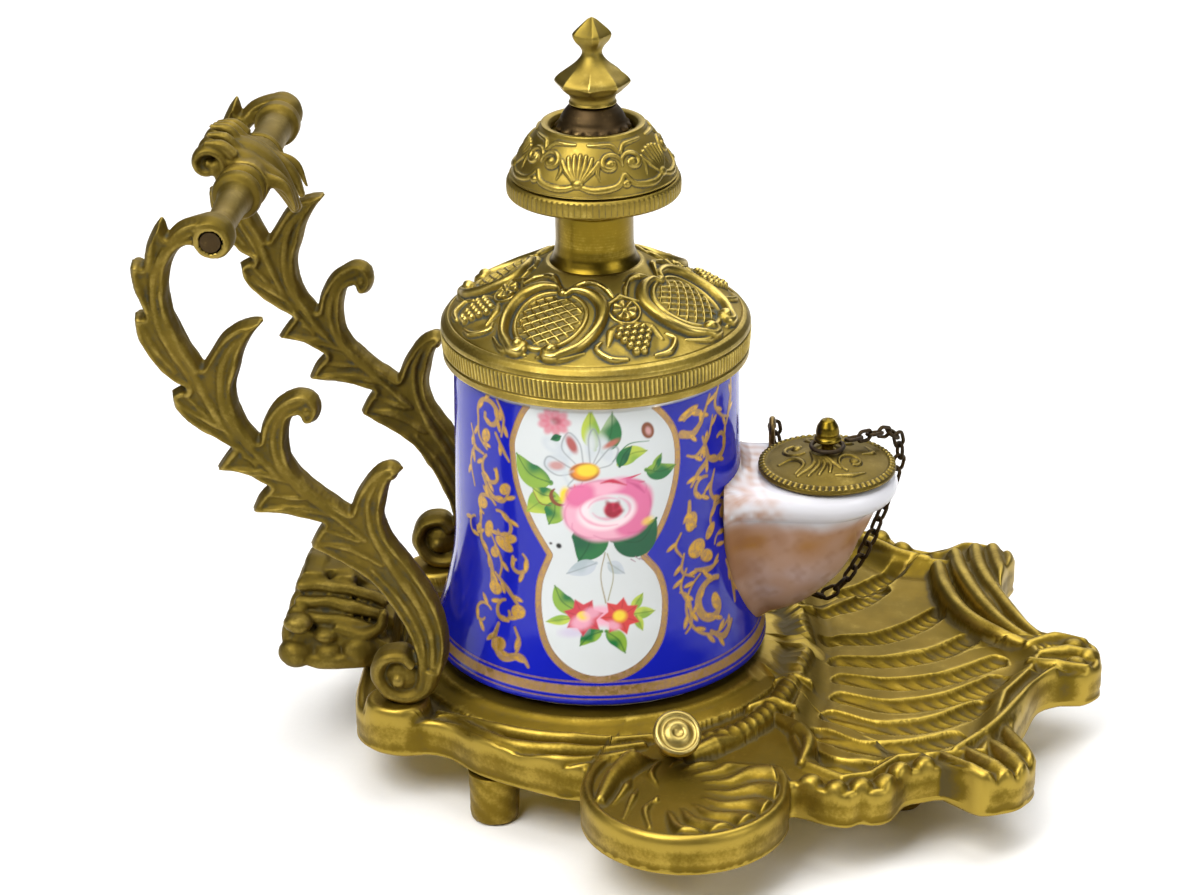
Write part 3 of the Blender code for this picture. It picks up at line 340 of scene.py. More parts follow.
def spiral(at, start_radius, end_radius, start, end, count=24):
    """Points round a centre while the radius changes. Angles are in degrees."""
    t = np.linspace(0, 1, count)
    angle = np.radians(start + (end - start) * t)
    radius = start_radius + (end_radius - start_radius) * t
    return np.stack([at[0] + radius * np.cos(angle), at[1] + radius * np.sin(angle)], 1)


def highest(*layers):
    """The highest of several reliefs at each place."""
    top = layers[0]
    for layer in layers[1:]:
        top = np.maximum(top, layer)
    return top


def ripple(points, size, height, seed):
    """Slow, irregular unevenness of a casting, the same each run."""
    random = np.random.default_rng(seed)
    total = np.zeros(len(points))
    for _ in range(9):
        direction = random.normal(size=3)
        direction /= np.linalg.norm(direction) * size * random.uniform(0.6, 1.5)
        total += np.sin(points @ direction * TAU + random.uniform(0, TAU))
    return height * total / 3


# ---- Materials -----------------------------------------------------------------------------------
class Shader:
    """A material whose nodes are added one by one."""

    def __init__(self, name):
        self.material = bpy.data.materials.new(name)
        self.material.use_nodes = True
        self.tree = self.material.node_tree
        self.surface = self.tree.nodes["Principled BSDF"]
        self.place = self.add("ShaderNodeTexCoord").outputs["Object"]

    def add(self, kind, **inputs):
        node = self.tree.nodes.new(kind)
        for name, value in inputs.items():
            self.put(node.inputs[name.replace("_", " ")], value)
        return node

    def put(self, socket, value):
        if isinstance(value, bpy.types.NodeSocket):
            self.tree.links.new(value, socket)
        else:
            socket.default_value = value

    def noise(self, size, detail=3.0, rough=0.55):
        """Noise whose blotches are about size mm."""
        node = self.add("ShaderNodeTexNoise", Vector=self.place, Scale=1 / (size * MM), Detail=detail,
                        Roughness=rough)
        return node.outputs["Fac"]

    def ramp(self, value, low, high, to_low=0.0, to_high=1.0):
        node = self.add("ShaderNodeMapRange", Value=value, From_Min=low, From_Max=high, To_Min=to_low,
                        To_Max=to_high)
        node.interpolation_type = "SMOOTHSTEP"
        return node.outputs["Result"]

    def math(self, operation, a, b):
        node = self.add("ShaderNodeMath")
        node.operation = operation
        self.put(node.inputs[0], a)
        self.put(node.inputs[1], b)
        return node.outputs[0]

    def mix(self, share, a, b, blend="MIX"):
        node = self.add("ShaderNodeMix")
        node.data_type = "RGBA"
        node.blend_type = blend
        self.put(node.inputs[0], share)
        self.put(node.inputs[6], a)
        self.put(node.inputs[7], b)
        return node.outputs[2]

    def attribute(self, name, output="Fac"):
        node = self.add("ShaderNodeAttribute")
        node.attribute_name = name
        return node.outputs[output]

    def bump(self, height, depth, strength=1.0):
        """Bump from a height in 0 to 1, depth mm deep."""
        node = self.add("ShaderNodeBump", Height=height, Distance=depth * MM, Strength=strength)
        return node.outputs["Normal"]

    def finish(self, **inputs):
        for name, value in inputs.items():
            self.put(self.surface.inputs[name.replace("_", " ")], value)
        return self.material


def metal(name, main, recess, bright, dirt=1.0, rough=(0.26, 0.55), pits=0.02):
    """Cast metal: main colour, patina in its recesses, and lighter ridges that are partly rubbed wear and
    partly a painted highlight.
    """
    shader = Shader(name)
    patina_and_highlight = shader.attribute("patina_and_highlight")
    blotch = shader.noise(5.0, 5.0, 0.6)
    fine = shader.noise(0.55, 4.0, 0.6)
    shift = shader.math("MULTIPLY", shader.math("SUBTRACT", blotch, 0.5), 0.55)
    level = shader.math("ADD", patina_and_highlight, shift)
    level = shader.math("ADD", level, shader.math("MULTIPLY", shader.math("SUBTRACT", fine, 0.5), 0.3))
    in_recess = shader.math("MULTIPLY", shader.ramp(level, 0.5, 0.12), dirt)
    # painted highlight: raised ridges take the lighter colour, partly rubbed wear of the gilding and partly
    # painted light on the relief
    on_ridge = shader.ramp(level, 0.52, 0.86)
    colour = shader.mix(shader.ramp(shader.noise(9.0), 0.3, 0.7), main, tuple(
        c * k for c, k in zip(main, (0.80, 0.82, 0.78, 1))))
    colour = shader.mix(on_ridge, colour, bright)
    colour = shader.mix(in_recess, colour, recess)
    gloss = shader.ramp(level, 0.2, 0.85, rough[1], rough[0])
    gloss = shader.math("ADD", gloss, shader.math("MULTIPLY", shader.math("SUBTRACT", fine, 0.5), 0.16))
    metallic = shader.math("SUBTRACT", 1.0, shader.math("MULTIPLY", in_recess, 0.55))
    return shader.finish(Base_Color=colour, Roughness=gloss, Metallic=metallic,
                         Normal=shader.bump(fine, pits, 0.8))


def make_porcelain_finish():
    """Glazed porcelain: the painting is in the mesh's colours, and gilding is where "gilt" is 1."""
    shader = Shader("painted_porcelain")
    paint = shader.attribute("paint", "Color")
    gilt = shader.attribute("gilt")
    worn = shader.ramp(shader.noise(0.9, 6.0, 0.7), 0.36, 0.62)
    cloud = shader.ramp(shader.noise(7.0, 4.0), 0.35, 0.75, 0.0, 0.18)
    colour = shader.mix(cloud, paint, (0.60, 0.62, 0.72, 1), "SOFT_LIGHT")
    rubbed = shader.math("MULTIPLY", gilt, worn)
    colour = shader.mix(shader.math("MULTIPLY", shader.math("SUBTRACT", gilt, rubbed), 0.75), colour,
                        (0.30, 0.17, 0.12, 1))
    metallic = shader.math("MULTIPLY", rubbed, 0.85)
    rough = shader.math("ADD", 0.10, shader.math("MULTIPLY", gilt, 0.26))
    rough = shader.math("ADD", rough, shader.ramp(shader.noise(2.0, 6.0, 0.7), 0.5, 0.8, 0.0, 0.14))
    wave = shader.noise(4.0, 2.0)
    return shader.finish(Base_Color=colour, Metallic=metallic, Roughness=rough, Specular_IOR_Level=0.30,
                         Normal=shader.bump(wave, 0.03, 0.6))


def make_plain_finish(name, colour, rough, metallic, grain, depth):
    """A quiet finish for hidden and small pieces: uneven colour and a fine grain."""
    shader = Shader(name)
    fine = shader.noise(grain, 4.0, 0.6)
    dark = tuple(0.7 * c for c in colour[:3]) + (1,)
    tone = shader.mix(shader.ramp(fine, 0.3, 0.7), colour, dark)
    gloss = shader.ramp(shader.noise(grain * 4), 0.3, 0.7, rough * 0.8, min(1.0, rough * 1.25))
    return shader.finish(Base_Color=tone, Roughness=gloss, Metallic=metallic, Normal=shader.bump(fine, depth))


GILT = metal("gilt_bronze", (0.31, 0.222, 0.042, 1), (0.052, 0.054, 0.034, 1), (0.58, 0.44, 0.12, 1),
             rough=(0.32, 0.60))
ANTIQUE = metal("antique_bronze", (0.175, 0.120, 0.020, 1), (0.048, 0.044, 0.020, 1), (0.31, 0.225, 0.052, 1),
                rough=(0.48, 0.70))
BRASS = metal("bright_brass", (0.205, 0.137, 0.013, 1), (0.10, 0.07, 0.015, 1), (0.42, 0.31, 0.055, 1),
              dirt=0.7, rough=(0.24, 0.42), pits=0.008)
ANTIQUE_LID = metal("lid_bronze", (0.165, 0.115, 0.022, 1), (0.025, 0.020, 0.009, 1), (0.42, 0.31, 0.08, 1),
                    rough=(0.38, 0.62))
STAND_GILT = metal("stand_bronze", (0.200, 0.132, 0.015, 1), (0.085, 0.060, 0.012, 1),
                   (0.38, 0.268, 0.045, 1),
                   dirt=0.9, rough=(0.42, 0.66))
BUTTON_GOLD = metal("button_brass", (0.48, 0.36, 0.11, 1), (0.16, 0.11, 0.03, 1), (0.74, 0.62, 0.30, 1),
                    rough=(0.30, 0.5))
DARK = metal("dark_bronze", (0.075, 0.048, 0.022, 1), (0.02, 0.014, 0.009, 1), (0.28, 0.19, 0.07, 1),
             rough=(0.38, 0.6))
PORCELAIN = make_porcelain_finish()
LEATHER = make_plain_finish("oiled_leather", (0.17, 0.09, 0.045, 1), 0.7, 0.0, 0.6, 0.05)
CEMENT = make_plain_finish("plaster_cement", (0.70, 0.66, 0.57, 1), 0.9, 0.0, 0.4, 0.04)
STEEL = make_plain_finish("old_steel", (0.30, 0.28, 0.26, 1), 0.42, 1.0, 0.5, 0.02)
PLUNGER_GLAZE = make_plain_finish("plunger_porcelain", (0.82, 0.80, 0.75, 1), 0.2, 0.0, 3.0, 0.01)


# ---- Camera, lights and floor --------------------------------------------------------------------
def make_camera():
    """The photograph's view, as a camera fitted to the object's circles found it."""
    azimuth, elevation, roll = (math.radians(v) for v in (4.92, 24.2, -0.82))
    distance, target = 547.6, Vector((-0.11, 0, 39.14 + GROUND))
    back = Vector((math.sin(azimuth) * math.cos(elevation), -math.cos(azimuth) * math.cos(elevation),
                   math.sin(elevation)))
    right = Vector((math.cos(azimuth), math.sin(azimuth), 0))
    up = back.cross(right)
    right, up = (math.cos(roll) * right + math.sin(roll) * up,
                 math.cos(roll) * up - math.sin(roll) * right)
    data = bpy.data.cameras.new("camera")
    data.sensor_width = 36.0
    data.lens = 36.0 * 3000 / 1194
    data.clip_start, data.clip_end = 0.01, 10
    camera = bpy.data.objects.new("camera", data)
    bpy.context.scene.collection.objects.link(camera)
    turn = Matrix((right, up, back)).transposed().to_4x4()
    place_at = (target + back * distance) * MM + Vector((AXIS_X, 0, 0))
    camera.matrix_world = Matrix.Translation(place_at) @ turn
    bpy.context.scene.camera = camera


def area_light(name, place_at, size, watts, colour=(1, 1, 1), aim=(0, 0, 0.06)):
    data = bpy.data.lights.new(name, "AREA")
    data.shape = "RECTANGLE"
    data.size, data.size_y = size
    data.energy = watts
    data.color = colour
    light = bpy.data.objects.new(name, data)
    bpy.context.scene.collection.objects.link(light)
    light.location = place_at
    light.rotation_euler = (Vector(aim) - Vector(place_at)).to_track_quat("-Z", "Y").to_euler()


def make_studio():
    """A pale floor, a soft sky and area lights."""
    world = bpy.data.worlds.new("studio")
    bpy.context.scene.world = world
    world.use_nodes = True
    sky = world.node_tree.nodes["Background"]
    nodes, links = world.node_tree.nodes, world.node_tree.links
    where = nodes.new("ShaderNodeTexCoord")
    split = nodes.new("ShaderNodeSeparateXYZ")
    level = nodes.new("ShaderNodeMapRange")
    level.inputs["From Min"].default_value, level.inputs["From Max"].default_value = 0.0, 0.9
    level.inputs["To Min"].default_value, level.inputs["To Max"].default_value = 0.24, 0.75
    links.new(where.outputs["Generated"], split.inputs[0])
    links.new(split.outputs["Z"], level.inputs["Value"])
    links.new(level.outputs["Result"], sky.inputs["Strength"])
    area_light("key", (-0.35, -0.50, 0.85), (0.60, 0.60), 10.0, (1.0, 0.985, 0.96))
    area_light("top", (0.15, 0.15, 1.00), (0.90, 0.90), 9.0)
    area_light("strip", (-0.75, -0.25, 0.25), (0.10, 0.70), 0.7)
    area_light("back", (0.15, 1.25, 0.80), (1.60, 0.70), 9.0, aim=(0.05, 0.25, 0.0))
    area_light("fill", (0.70, -0.45, 0.45), (0.40, 0.40), 2.0)
    floor = bpy.data.meshes.new("floor")
    half = 3.0
    floor.from_pydata([(-half, -half, 0), (half, -half, 0), (half, half, 0), (-half, half, 0)], [],
                      [(0, 1, 2, 3)])
    shader = Shader("floor")
    grain = shader.noise(1.2, 3.0)
    tone = shader.mix(grain, (0.93, 0.93, 0.93, 1), (0.97, 0.97, 0.97, 1))
    floor.materials.append(shader.finish(Base_Color=tone, Roughness=0.7))
    obj = bpy.data.objects.new("floor", floor)
    bpy.context.scene.collection.objects.link(obj)
    bpy.context.scene.view_settings.view_transform = "Standard"


# ---- Painted porcelain body ----------------------------------------------------------------------
PAINT_RADIUS = 26.2  # the painting's widths are arc lengths at this radius
PANEL_TURN = math.radians(-85)  # middle of the front panel; the rear panel mirrors it
COBALT = (0.008, 0.014, 0.40)
WHITE = (0.64, 0.675, 0.68)
GOLD = (0.47, 0.29, 0.09)
GOLD_LEAF = (0.68, 0.40, 0.06)
GOLD_LINE = (0.30, 0.17, 0.08)


class Canvas:
    """A painting on a grid: u to the right and z up, both in mm, with colours and gilding."""

    def __init__(self, u, z, ground):
        self.u, self.z = u, z
        self.colour = np.empty(u.shape + (3,))
        self.colour[:] = ground
        self.gilt = np.zeros(u.shape)

    def window(self, low, high):
        """Index of the part of the grid between two corners, or None."""
        rows = np.nonzero((self.z[:, 0] >= low[1]) & (self.z[:, 0] <= high[1]))[0]
        columns = np.nonzero((self.u[0] >= low[0]) & (self.u[0] <= high[0]))[0]
        if not len(rows) or not len(columns):
            return None
        return np.ix_(np.arange(rows[0], rows[-1] + 1), columns)

    def dab(self, mask, where, colour, gilt=0.0):
        """Paints a colour over part of the grid, by a mask of 0 to 1."""
        old = self.colour[where]
        self.colour[where] = old * (1 - mask[..., None]) + np.asarray(colour, float) * mask[..., None]
        self.gilt[where] = self.gilt[where] * (1 - mask) + gilt * mask

    def oval(self, at, size, colour, turn=0.0, soft=0.12, gilt=0.0, hollow=0.0, strength=1.0):
        """A filled oval, or a ring of the given width, with a soft edge in mm."""
        reach = max(size) + soft
        where = self.window((at[0] - reach, at[1] - reach), (at[0] + reach, at[1] + reach))
        if where is None:
            return
        u, z = self.u[where], self.z[where]
        c, s = math.cos(math.radians(turn)), math.sin(math.radians(turn))
        du, dz = (u - at[0]) * c + (z - at[1]) * s, (z - at[1]) * c - (u - at[0]) * s
        distance = (np.hypot(du / size[0], dz / size[1]) - 1) * min(size)
        mask = fade(soft, -soft, distance)
        if hollow:
            mask *= fade(-hollow - soft, -hollow + soft, distance)
        self.dab(mask * strength, where, colour, gilt)

    def stroke(self, knots, widths, colour, gilt=0.0, soft=0.1, strength=1.0):
        """A brush stroke along a smooth curve, with half widths at even steps along it."""
        path = smooth_line(knots, 0.5)
        reach = max(widths) + soft
        where = self.window(path.min(0) - reach, path.max(0) + reach)
        if where is None:
            return
        u, z = self.u[where], self.z[where]
        distance, at = along_path(u, z, path)
        half = np.interp(at, np.linspace(0, 1, len(widths)), widths)
        self.dab(fade(soft, -soft, distance - half) * strength, where, colour, gilt)

    def leaf(self, base, tip, width, light, dark, bend=0.0):
        """A leaf with a lighter and a darker side and a vein."""
        base, tip = np.array(base, float), np.array(tip, float)
        middle = 0.5 * (base + tip)
        side = np.array([-(tip - base)[1], (tip - base)[0]]) * bend
        path = smooth_line([base, middle + side, tip], 0.4)
        where = self.window(path.min(0) - width, path.max(0) + width)
        if where is None:
            return
        u, z = self.u[where], self.z[where]
        distance, at = along_path(u, z, path)
        half = width * np.sin(math.pi * np.clip(at, 0.02, 0.98) ** 0.75) ** 0.8
        mask = fade(0.12, -0.12, distance - half)
        ahead = (tip - base) / np.linalg.norm(tip - base)
        across = ((u - base[0]) * -ahead[1] + (z - base[1]) * ahead[0]) / width
        share = fade(-0.5, 0.6, across + 0.35 * np.sin(9 * at))[..., None]
        self.dab(mask, where, np.asarray(light) * share + np.asarray(dark) * (1 - share))
        vein = fade(0.22, 0.05, distance) * mask * 0.6
        self.dab(vein, where, np.asarray(dark) * 0.6)


LEAF_LIGHT, LEAF_DARK = (0.24, 0.40, 0.05), (0.02, 0.16, 0.045)
LEAF_YELLOW, LEAF_DEEP = (0.46, 0.56, 0.07), (0.01, 0.10, 0.04)
PINK, PALE_PINK = (0.70, 0.16, 0.32), (0.80, 0.40, 0.52)
ROSE_RED, CRIMSON = (0.52, 0.03, 0.07), (0.28, 0.01, 0.03)
YELLOW, ORANGE, BROWN = (0.85, 0.62, 0.04), (0.72, 0.25, 0.03), (0.22, 0.07, 0.03)
SHADE = (0.52, 0.57, 0.62)
PANEL = (  # the panel's edge as smooth runs between its two notches, over the top and round the lower lobe
    [(-9.4, 29.6), (-13.0, 35.5), (-15.5, 41.4), (-16.4, 46.7), (-16.3, 51.3), (-12.8, 58.2), (-6.0, 61.5),
     (3.0, 61.5),
     (9.4, 58.8), (14.0, 53.6), (15.3, 48.0), (14.5, 41.4), (12.0, 34.8), (8.4, 29.5)],
    [(8.4, 29.5), (11.2, 25.4), (12.1, 19.8), (10.5, 13.2), (6.3, 8.8), (0.4, 6.9), (-4.9, 8.1), (-9.1, 11.9),
     (-11.2, 17.8), (-11.3, 24.0), (-9.4, 29.6)])


def paint_panel(canvas):
    """The white reserve: two lobes with gilt borders."""
    edge = np.vstack([smooth_line(run, 0.6)[:-1] for run in PANEL])
    where = canvas.window(edge.min(0) - 0.5, edge.max(0) + 0.5)
    u, z = canvas.u[where], canvas.z[where]
    depth = inside_distance(u, z, edge)
    for start, colour, gilt in ((-0.15, GOLD_LINE, 0.6), (0.05, GOLD, 1.0), (0.92, GOLD_LINE, 0.5),
                                (1.06, WHITE, 0.0)):
        canvas.dab(fade(start - 0.08, start + 0.08, depth), where, colour, gilt)


def paint_rose(canvas, at, size):
    """A full-blown rose, a little from the side: ragged petals round a pale bowl with a dark heart."""
    x, z = at
    w, h = size
    pale, deep = (0.88, 0.70, 0.74), (0.50, 0.07, 0.20)

    def petal(out, up, wide, tall, colour, turn=0.0, soft=0.6, strength=1.0):
        canvas.oval((x + out * w, z + up * h), (wide * w, tall * h), colour, turn, soft=soft,
                    strength=strength)

    petal(0.0, 0.02, 0.96, 0.92, PINK, 0, 0.3)
    for out, up, wide, tall, colour, turn in (
            (-0.66, -0.20, 0.36, 0.62, PALE_PINK, 15), (-0.40, -0.55, 0.48, 0.42, PALE_PINK, -28),
            (0.10, -0.70, 0.56, 0.32, PALE_PINK, 0), (0.56, -0.46, 0.42, 0.42, PINK, 30),
            (0.78, 0.05, 0.24, 0.58, PINK, -14), (0.50, 0.60, 0.46, 0.36, PINK, -22),
            (-0.12, 0.72, 0.48, 0.26, PALE_PINK, 8),
            (-0.62, 0.46, 0.36, 0.34, PINK, 35)):
        petal(out, up, wide, tall, colour, turn)
        edge = [(x + (out + 0.86 * wide * math.cos(a)) * w, z + (up + 0.86 * tall * math.sin(a)) * h)
                for a in np.linspace(math.atan2(up, out) - 1.2, math.atan2(up, out) + 1.2, 6)]
        canvas.stroke(edge, [0.06, 0.22, 0.06], deep, soft=0.25, strength=0.45)
    petal(-0.02, -0.10, 0.66, 0.56, pale, 10, 0.5)
    petal(0.06, 0.04, 0.50, 0.42, WHITE, 12, 0.6)
    for reach, start, end in ((0.62, 150, 290), (0.50, 320, 420), (0.44, 60, 170), (0.36, 200, 330)):
        arc = [(x + reach * w * math.cos(math.radians(a)), z + 0.86 * reach * h * math.sin(math.radians(a)))
               for a in np.linspace(start, end, 7)]
        canvas.stroke(arc, [0.05, 0.30, 0.05], PINK, soft=0.3, strength=0.6)
    petal(0.12, -0.02, 0.21, 0.25, ROSE_RED, -10, 0.35)
    for out, up, wide, tall, turn in ((0.03, 0.14, 0.06, 0.16, 30), (0.20, 0.12, 0.06, 0.15, -25),
                                      (0.26, -0.08, 0.10, 0.07, 10),
                                      (0.10, -0.18, 0.12, 0.10, 0), (0.02, -0.06, 0.08, 0.12, -20)):
        petal(out, up, wide, tall, CRIMSON, turn, 0.3, 0.85)
    canvas.stroke([(x - 0.15 * w, z + 0.86 * h), (x + 0.10 * w, z + 0.92 * h), (x + 0.42 * w, z + 0.76 * h)],
                  [0.08, 0.42, 0.08], ROSE_RED, soft=0.25)
    canvas.stroke([(x + 0.44 * w, z + 0.86 * h), (x + 0.66 * w, z + 0.70 * h), (x + 0.84 * w, z + 0.44 * h)],
                  [0.06, 0.34, 0.06], deep, soft=0.3, strength=0.8)


def paint_star(canvas, at, radius, petal, core, count=5, turn=90.0):
    """A small flower of pointed petals."""
    for k in range(count):
        angle = math.radians(turn + 360 * k / count)
        tip = (at[0] + radius * math.cos(angle), at[1] + radius * math.sin(angle))
        canvas.stroke([at, (0.5 * (at[0] + tip[0]), 0.5 * (at[1] + tip[1])), tip],
                      [0.25 * radius, 0.36 * radius, 0.08],
                      petal, soft=0.2)
        canvas.stroke([at, tip], [0.12, 0.05], tuple(0.5 * c for c in petal), soft=0.12, strength=0.6)
    canvas.oval(at, (0.34 * radius, 0.30 * radius), core, soft=0.2)


def paint_upper_bouquet(canvas):
    for base, tip, width, light, dark, bend in (
            ((-8.6, 43.6), (-15.2, 48.0), 2.3, LEAF_LIGHT, LEAF_DARK, 0.16),
            ((-6.6, 40.4), (-13.2, 37.4), 2.6, LEAF_YELLOW, LEAF_LIGHT, -0.12),
            ((-8.0, 41.0), (-12.0, 42.0), 1.6, LEAF_YELLOW, LEAF_DARK, 0.1),
            ((-7.8, 40.0), (-9.0, 35.6), 2.0, LEAF_LIGHT, LEAF_DARK, 0.1),
            ((-1.4, 36.2), (-3.6, 28.9), 3.3, LEAF_DARK, LEAF_DEEP, 0.10),
            ((2.4, 33.2), (10.4, 36.2), 2.9, LEAF_DARK, LEAF_DEEP, -0.30),
            ((-0.6, 50.4), (-1.2, 57.6), 1.7, LEAF_YELLOW, LEAF_LIGHT, 0.05),
            ((1.0, 50.0), (2.6, 57.0), 2.0, (0.34, 0.46, 0.26), LEAF_DARK, -0.08),
            ((3.6, 47.4), (8.8, 49.4), 1.6, LEAF_YELLOW, LEAF_LIGHT, 0.15),
            ((3.8, 47.0), (6.0, 50.6), 1.1, LEAF_DARK, LEAF_DEEP, 0.1),
            ((8.6, 45.8), (14.4, 45.6), 1.6, LEAF_LIGHT, LEAF_DARK, -0.12),
            ((10.0, 45.6), (11.6, 48.4), 0.8, LEAF_LIGHT, LEAF_DARK, 0.0)):
        canvas.leaf(base, tip, width, light, dark, bend)
    canvas.stroke([(2.6, 48.0), (5.4, 51.0), (9.2, 51.2)], [0.08, 0.1, 0.06], LEAF_DARK)
    canvas.stroke([(-12.0, 41.6), (-10.6, 39.4), (-8.6, 39.2)], [0.06, 0.1, 0.06], BROWN)
    for at, size, turn in (((-7.4, 47.4), (2.3, 1.7), 20), ((-5.4, 50.6), (1.3, 2.4), -25),
                           ((1.2, 50.6), (1.2, 2.4), 20), ((-1.2, 51.4), (1.0, 2.6), 0),
                           ((-8.2, 50.8), (1.9, 1.2), -30)):
        canvas.oval(at, size, SHADE, turn, soft=0.6, strength=0.85)
        canvas.oval(at, (0.62 * size[0], 0.62 * size[1]), WHITE, turn, soft=0.6, strength=0.7)
    for line in ([(-2.6, 47.6), (-3.2, 51.4), (-5.2, 53.4), (-6.4, 50.4), (-4.0, 47.6)],
                 [(-1.4, 47.8), (-1.6, 52.4), (-0.6, 54.2), (0.4, 51.0), (-0.8, 47.8)],
                 [(-0.6, 47.4), (2.2, 50.6), (3.6, 50.2), (2.4, 47.6), (0.2, 46.8)],
                 [(-4.6, 46.6), (-8.6, 48.6), (-9.6, 46.8), (-7.4, 45.2), (-4.8, 45.6)],
                 [(-4.2, 44.8), (-5.4, 43.2), (-3.6, 42.8), (-2.8, 44.2)]):
        canvas.stroke(line, [0.12, 0.16, 0.10], (0.25, 0.28, 0.30), soft=0.14, strength=0.75)
    canvas.oval((-4.6, 51.2), (0.8, 1.7), (0.40, 0.10, 0.09), 25, soft=0.35)
    canvas.oval((2.4, 51.4), (1.5, 0.5), (0.45, 0.14, 0.10), 28, soft=0.3)
    canvas.oval((-7.4, 47.0), (1.4, 0.8), (0.52, 0.20, 0.18), 5, soft=0.4, strength=0.8)
    for k in range(9):
        angle = math.radians(40 * k)
        canvas.oval((-7.8 + 1.9 * math.cos(angle), 55.2 + 1.5 * math.sin(angle)), (1.2, 0.8),
                    (0.62, 0.16, 0.22), 40 * k, soft=0.35, strength=0.8)
    canvas.oval((-7.4, 55.4), (0.9, 0.7), CRIMSON, soft=0.4, strength=0.7)
    canvas.leaf((-6.6, 52.6), (-8.4, 51.8), 0.7, LEAF_DARK, LEAF_DEEP)
    canvas.oval((-2.4, 46.1), (2.7, 1.75), ORANGE, 6, soft=0.25)
    canvas.oval((-2.5, 46.0), (2.6, 1.7), BROWN, 6, soft=0.2, hollow=0.35, strength=0.7)
    canvas.oval((-1.9, 46.4), (1.9, 1.15), YELLOW, 6, soft=0.35)
    canvas.stroke([(-5.2, 43.6), (-6.0, 45.4), (-4.4, 46.2)], [0.2, 0.4, 0.1], SHADE, soft=0.4, strength=0.6)
    canvas.stroke(spiral((-6.9, 41.3), 1.5, 1.9, 130, 330), [0.15, 0.42, 0.3, 0.12], BROWN)
    canvas.oval((-6.0, 41.5), (0.9, 1.5), YELLOW, -10, soft=0.4)
    canvas.stroke([(-5.2, 40.4), (-4.2, 42.2), (-4.2, 43.6)], [0.3, 0.4, 0.08], ORANGE, soft=0.2)
    canvas.stroke([(-4.8, 40.2), (-3.2, 41.6), (-2.8, 43.0)], [0.3, 0.3, 0.06], ORANGE, soft=0.2)
    canvas.stroke([(1.2, 43.6), (4.6, 44.4), (7.6, 45.2)], [0.08, 0.34, 0.06], ROSE_RED)
    canvas.stroke([(2.0, 42.9), (5.0, 43.7), (8.2, 43.6)], [0.1, 0.7, 0.1], ROSE_RED, soft=0.2)
    paint_rose(canvas, (1.6, 38.9), (7.9, 5.9))
    canvas.oval((8.8, 36.0), (1.1, 0.7), YELLOW, 20, soft=0.4, strength=0.7)
    canvas.oval((9.0, 53.2), (1.15, 1.6), BROWN, 18, soft=0.15)
    canvas.oval((9.1, 53.1), (0.5, 0.8), (0.60, 0.32, 0.30), 18, soft=0.25)
    canvas.oval((-7.2, 31.6), (0.5, 0.5), (0.02, 0.02, 0.02), soft=0.2)
    canvas.oval((-8.7, 31.9), (0.28, 0.24), (0.05, 0.04, 0.04), soft=0.15)
    for k in range(4):
        canvas.stroke([(5.6 + 0.8 * k, 29.0 + 0.4 * (k % 2)), (6.4 + 0.8 * k, 28.4 + 0.3 * (k % 2))],
                      [0.1, 0.06],
                      (0.30, 0.15, 0.20))


def paint_lower_bouquet(canvas):
    canvas.leaf((-0.6, 28.6), (-5.8, 26.4), 1.5, SHADE, (0.40, 0.47, 0.50), 0.0)
    canvas.leaf((1.6, 28.6), (4.4, 26.4), 1.2, SHADE, (0.44, 0.50, 0.52), 0.0)
    canvas.stroke([(1.0, 30.6), (0.2, 26.0), (1.0, 21.0)], [0.1, 0.09, 0.12], (0.30, 0.24, 0.12))
    canvas.stroke([(1.4, 30.4), (2.4, 26.2), (1.4, 21.4)], [0.1, 0.08, 0.1], (0.30, 0.28, 0.14))
    canvas.leaf((-4.0, 19.4), (-8.0, 23.8), 1.7, LEAF_LIGHT, LEAF_DARK, 0.15)
    canvas.leaf((-5.0, 18.0), (-9.4, 16.9), 0.9, LEAF_YELLOW, LEAF_LIGHT, 0.0)
    canvas.leaf((5.8, 18.6), (9.6, 18.6), 1.1, LEAF_YELLOW, LEAF_LIGHT, 0.0)
    canvas.leaf((5.6, 19.4), (7.6, 22.2), 0.9, LEAF_YELLOW, LEAF_LIGHT, 0.0)
    canvas.leaf((6.2, 18.2), (7.2, 15.4), 0.8, LEAF_YELLOW, LEAF_LIGHT, 0.0)
    canvas.leaf((0.2, 15.8), (-3.4, 13.2), 1.3, LEAF_LIGHT, LEAF_DARK, -0.12)
    canvas.leaf((1.0, 15.8), (4.0, 11.8), 1.4, LEAF_LIGHT, LEAF_DARK, 0.12)
    canvas.oval((-4.6, 15.6), (2.4, 0.9), (0.55, 0.45, 0.66), 10, soft=0.6, strength=0.6)
    canvas.oval((0.2, 18.6), (2.2, 1.8), PALE_PINK, 0, soft=0.6)
    paint_star(canvas, (-2.9, 18.4), 3.4, (0.56, 0.05, 0.07), YELLOW, 7, 115)
    canvas.oval((-3.2, 17.4), (1.9, 1.3), PALE_PINK, 20, soft=0.6, strength=0.85)
    canvas.oval((-2.9, 18.5), (0.8, 0.6), YELLOW, 10, soft=0.4)
    canvas.oval((-1.4, 19.2), (1.5, 1.0), PALE_PINK, 15, soft=0.5, strength=0.8)
    paint_star(canvas, (3.5, 18.4), 3.4, (0.62, 0.05, 0.05), ORANGE, 7, 80)
    canvas.oval((2.2, 16.8), (1.2, 0.8), PALE_PINK, -20, soft=0.5, strength=0.8)
    canvas.oval((3.4, 18.4), (1.3, 1.2), ORANGE, soft=0.3)
    canvas.oval((3.3, 18.5), (1.0, 0.9), YELLOW, soft=0.3)


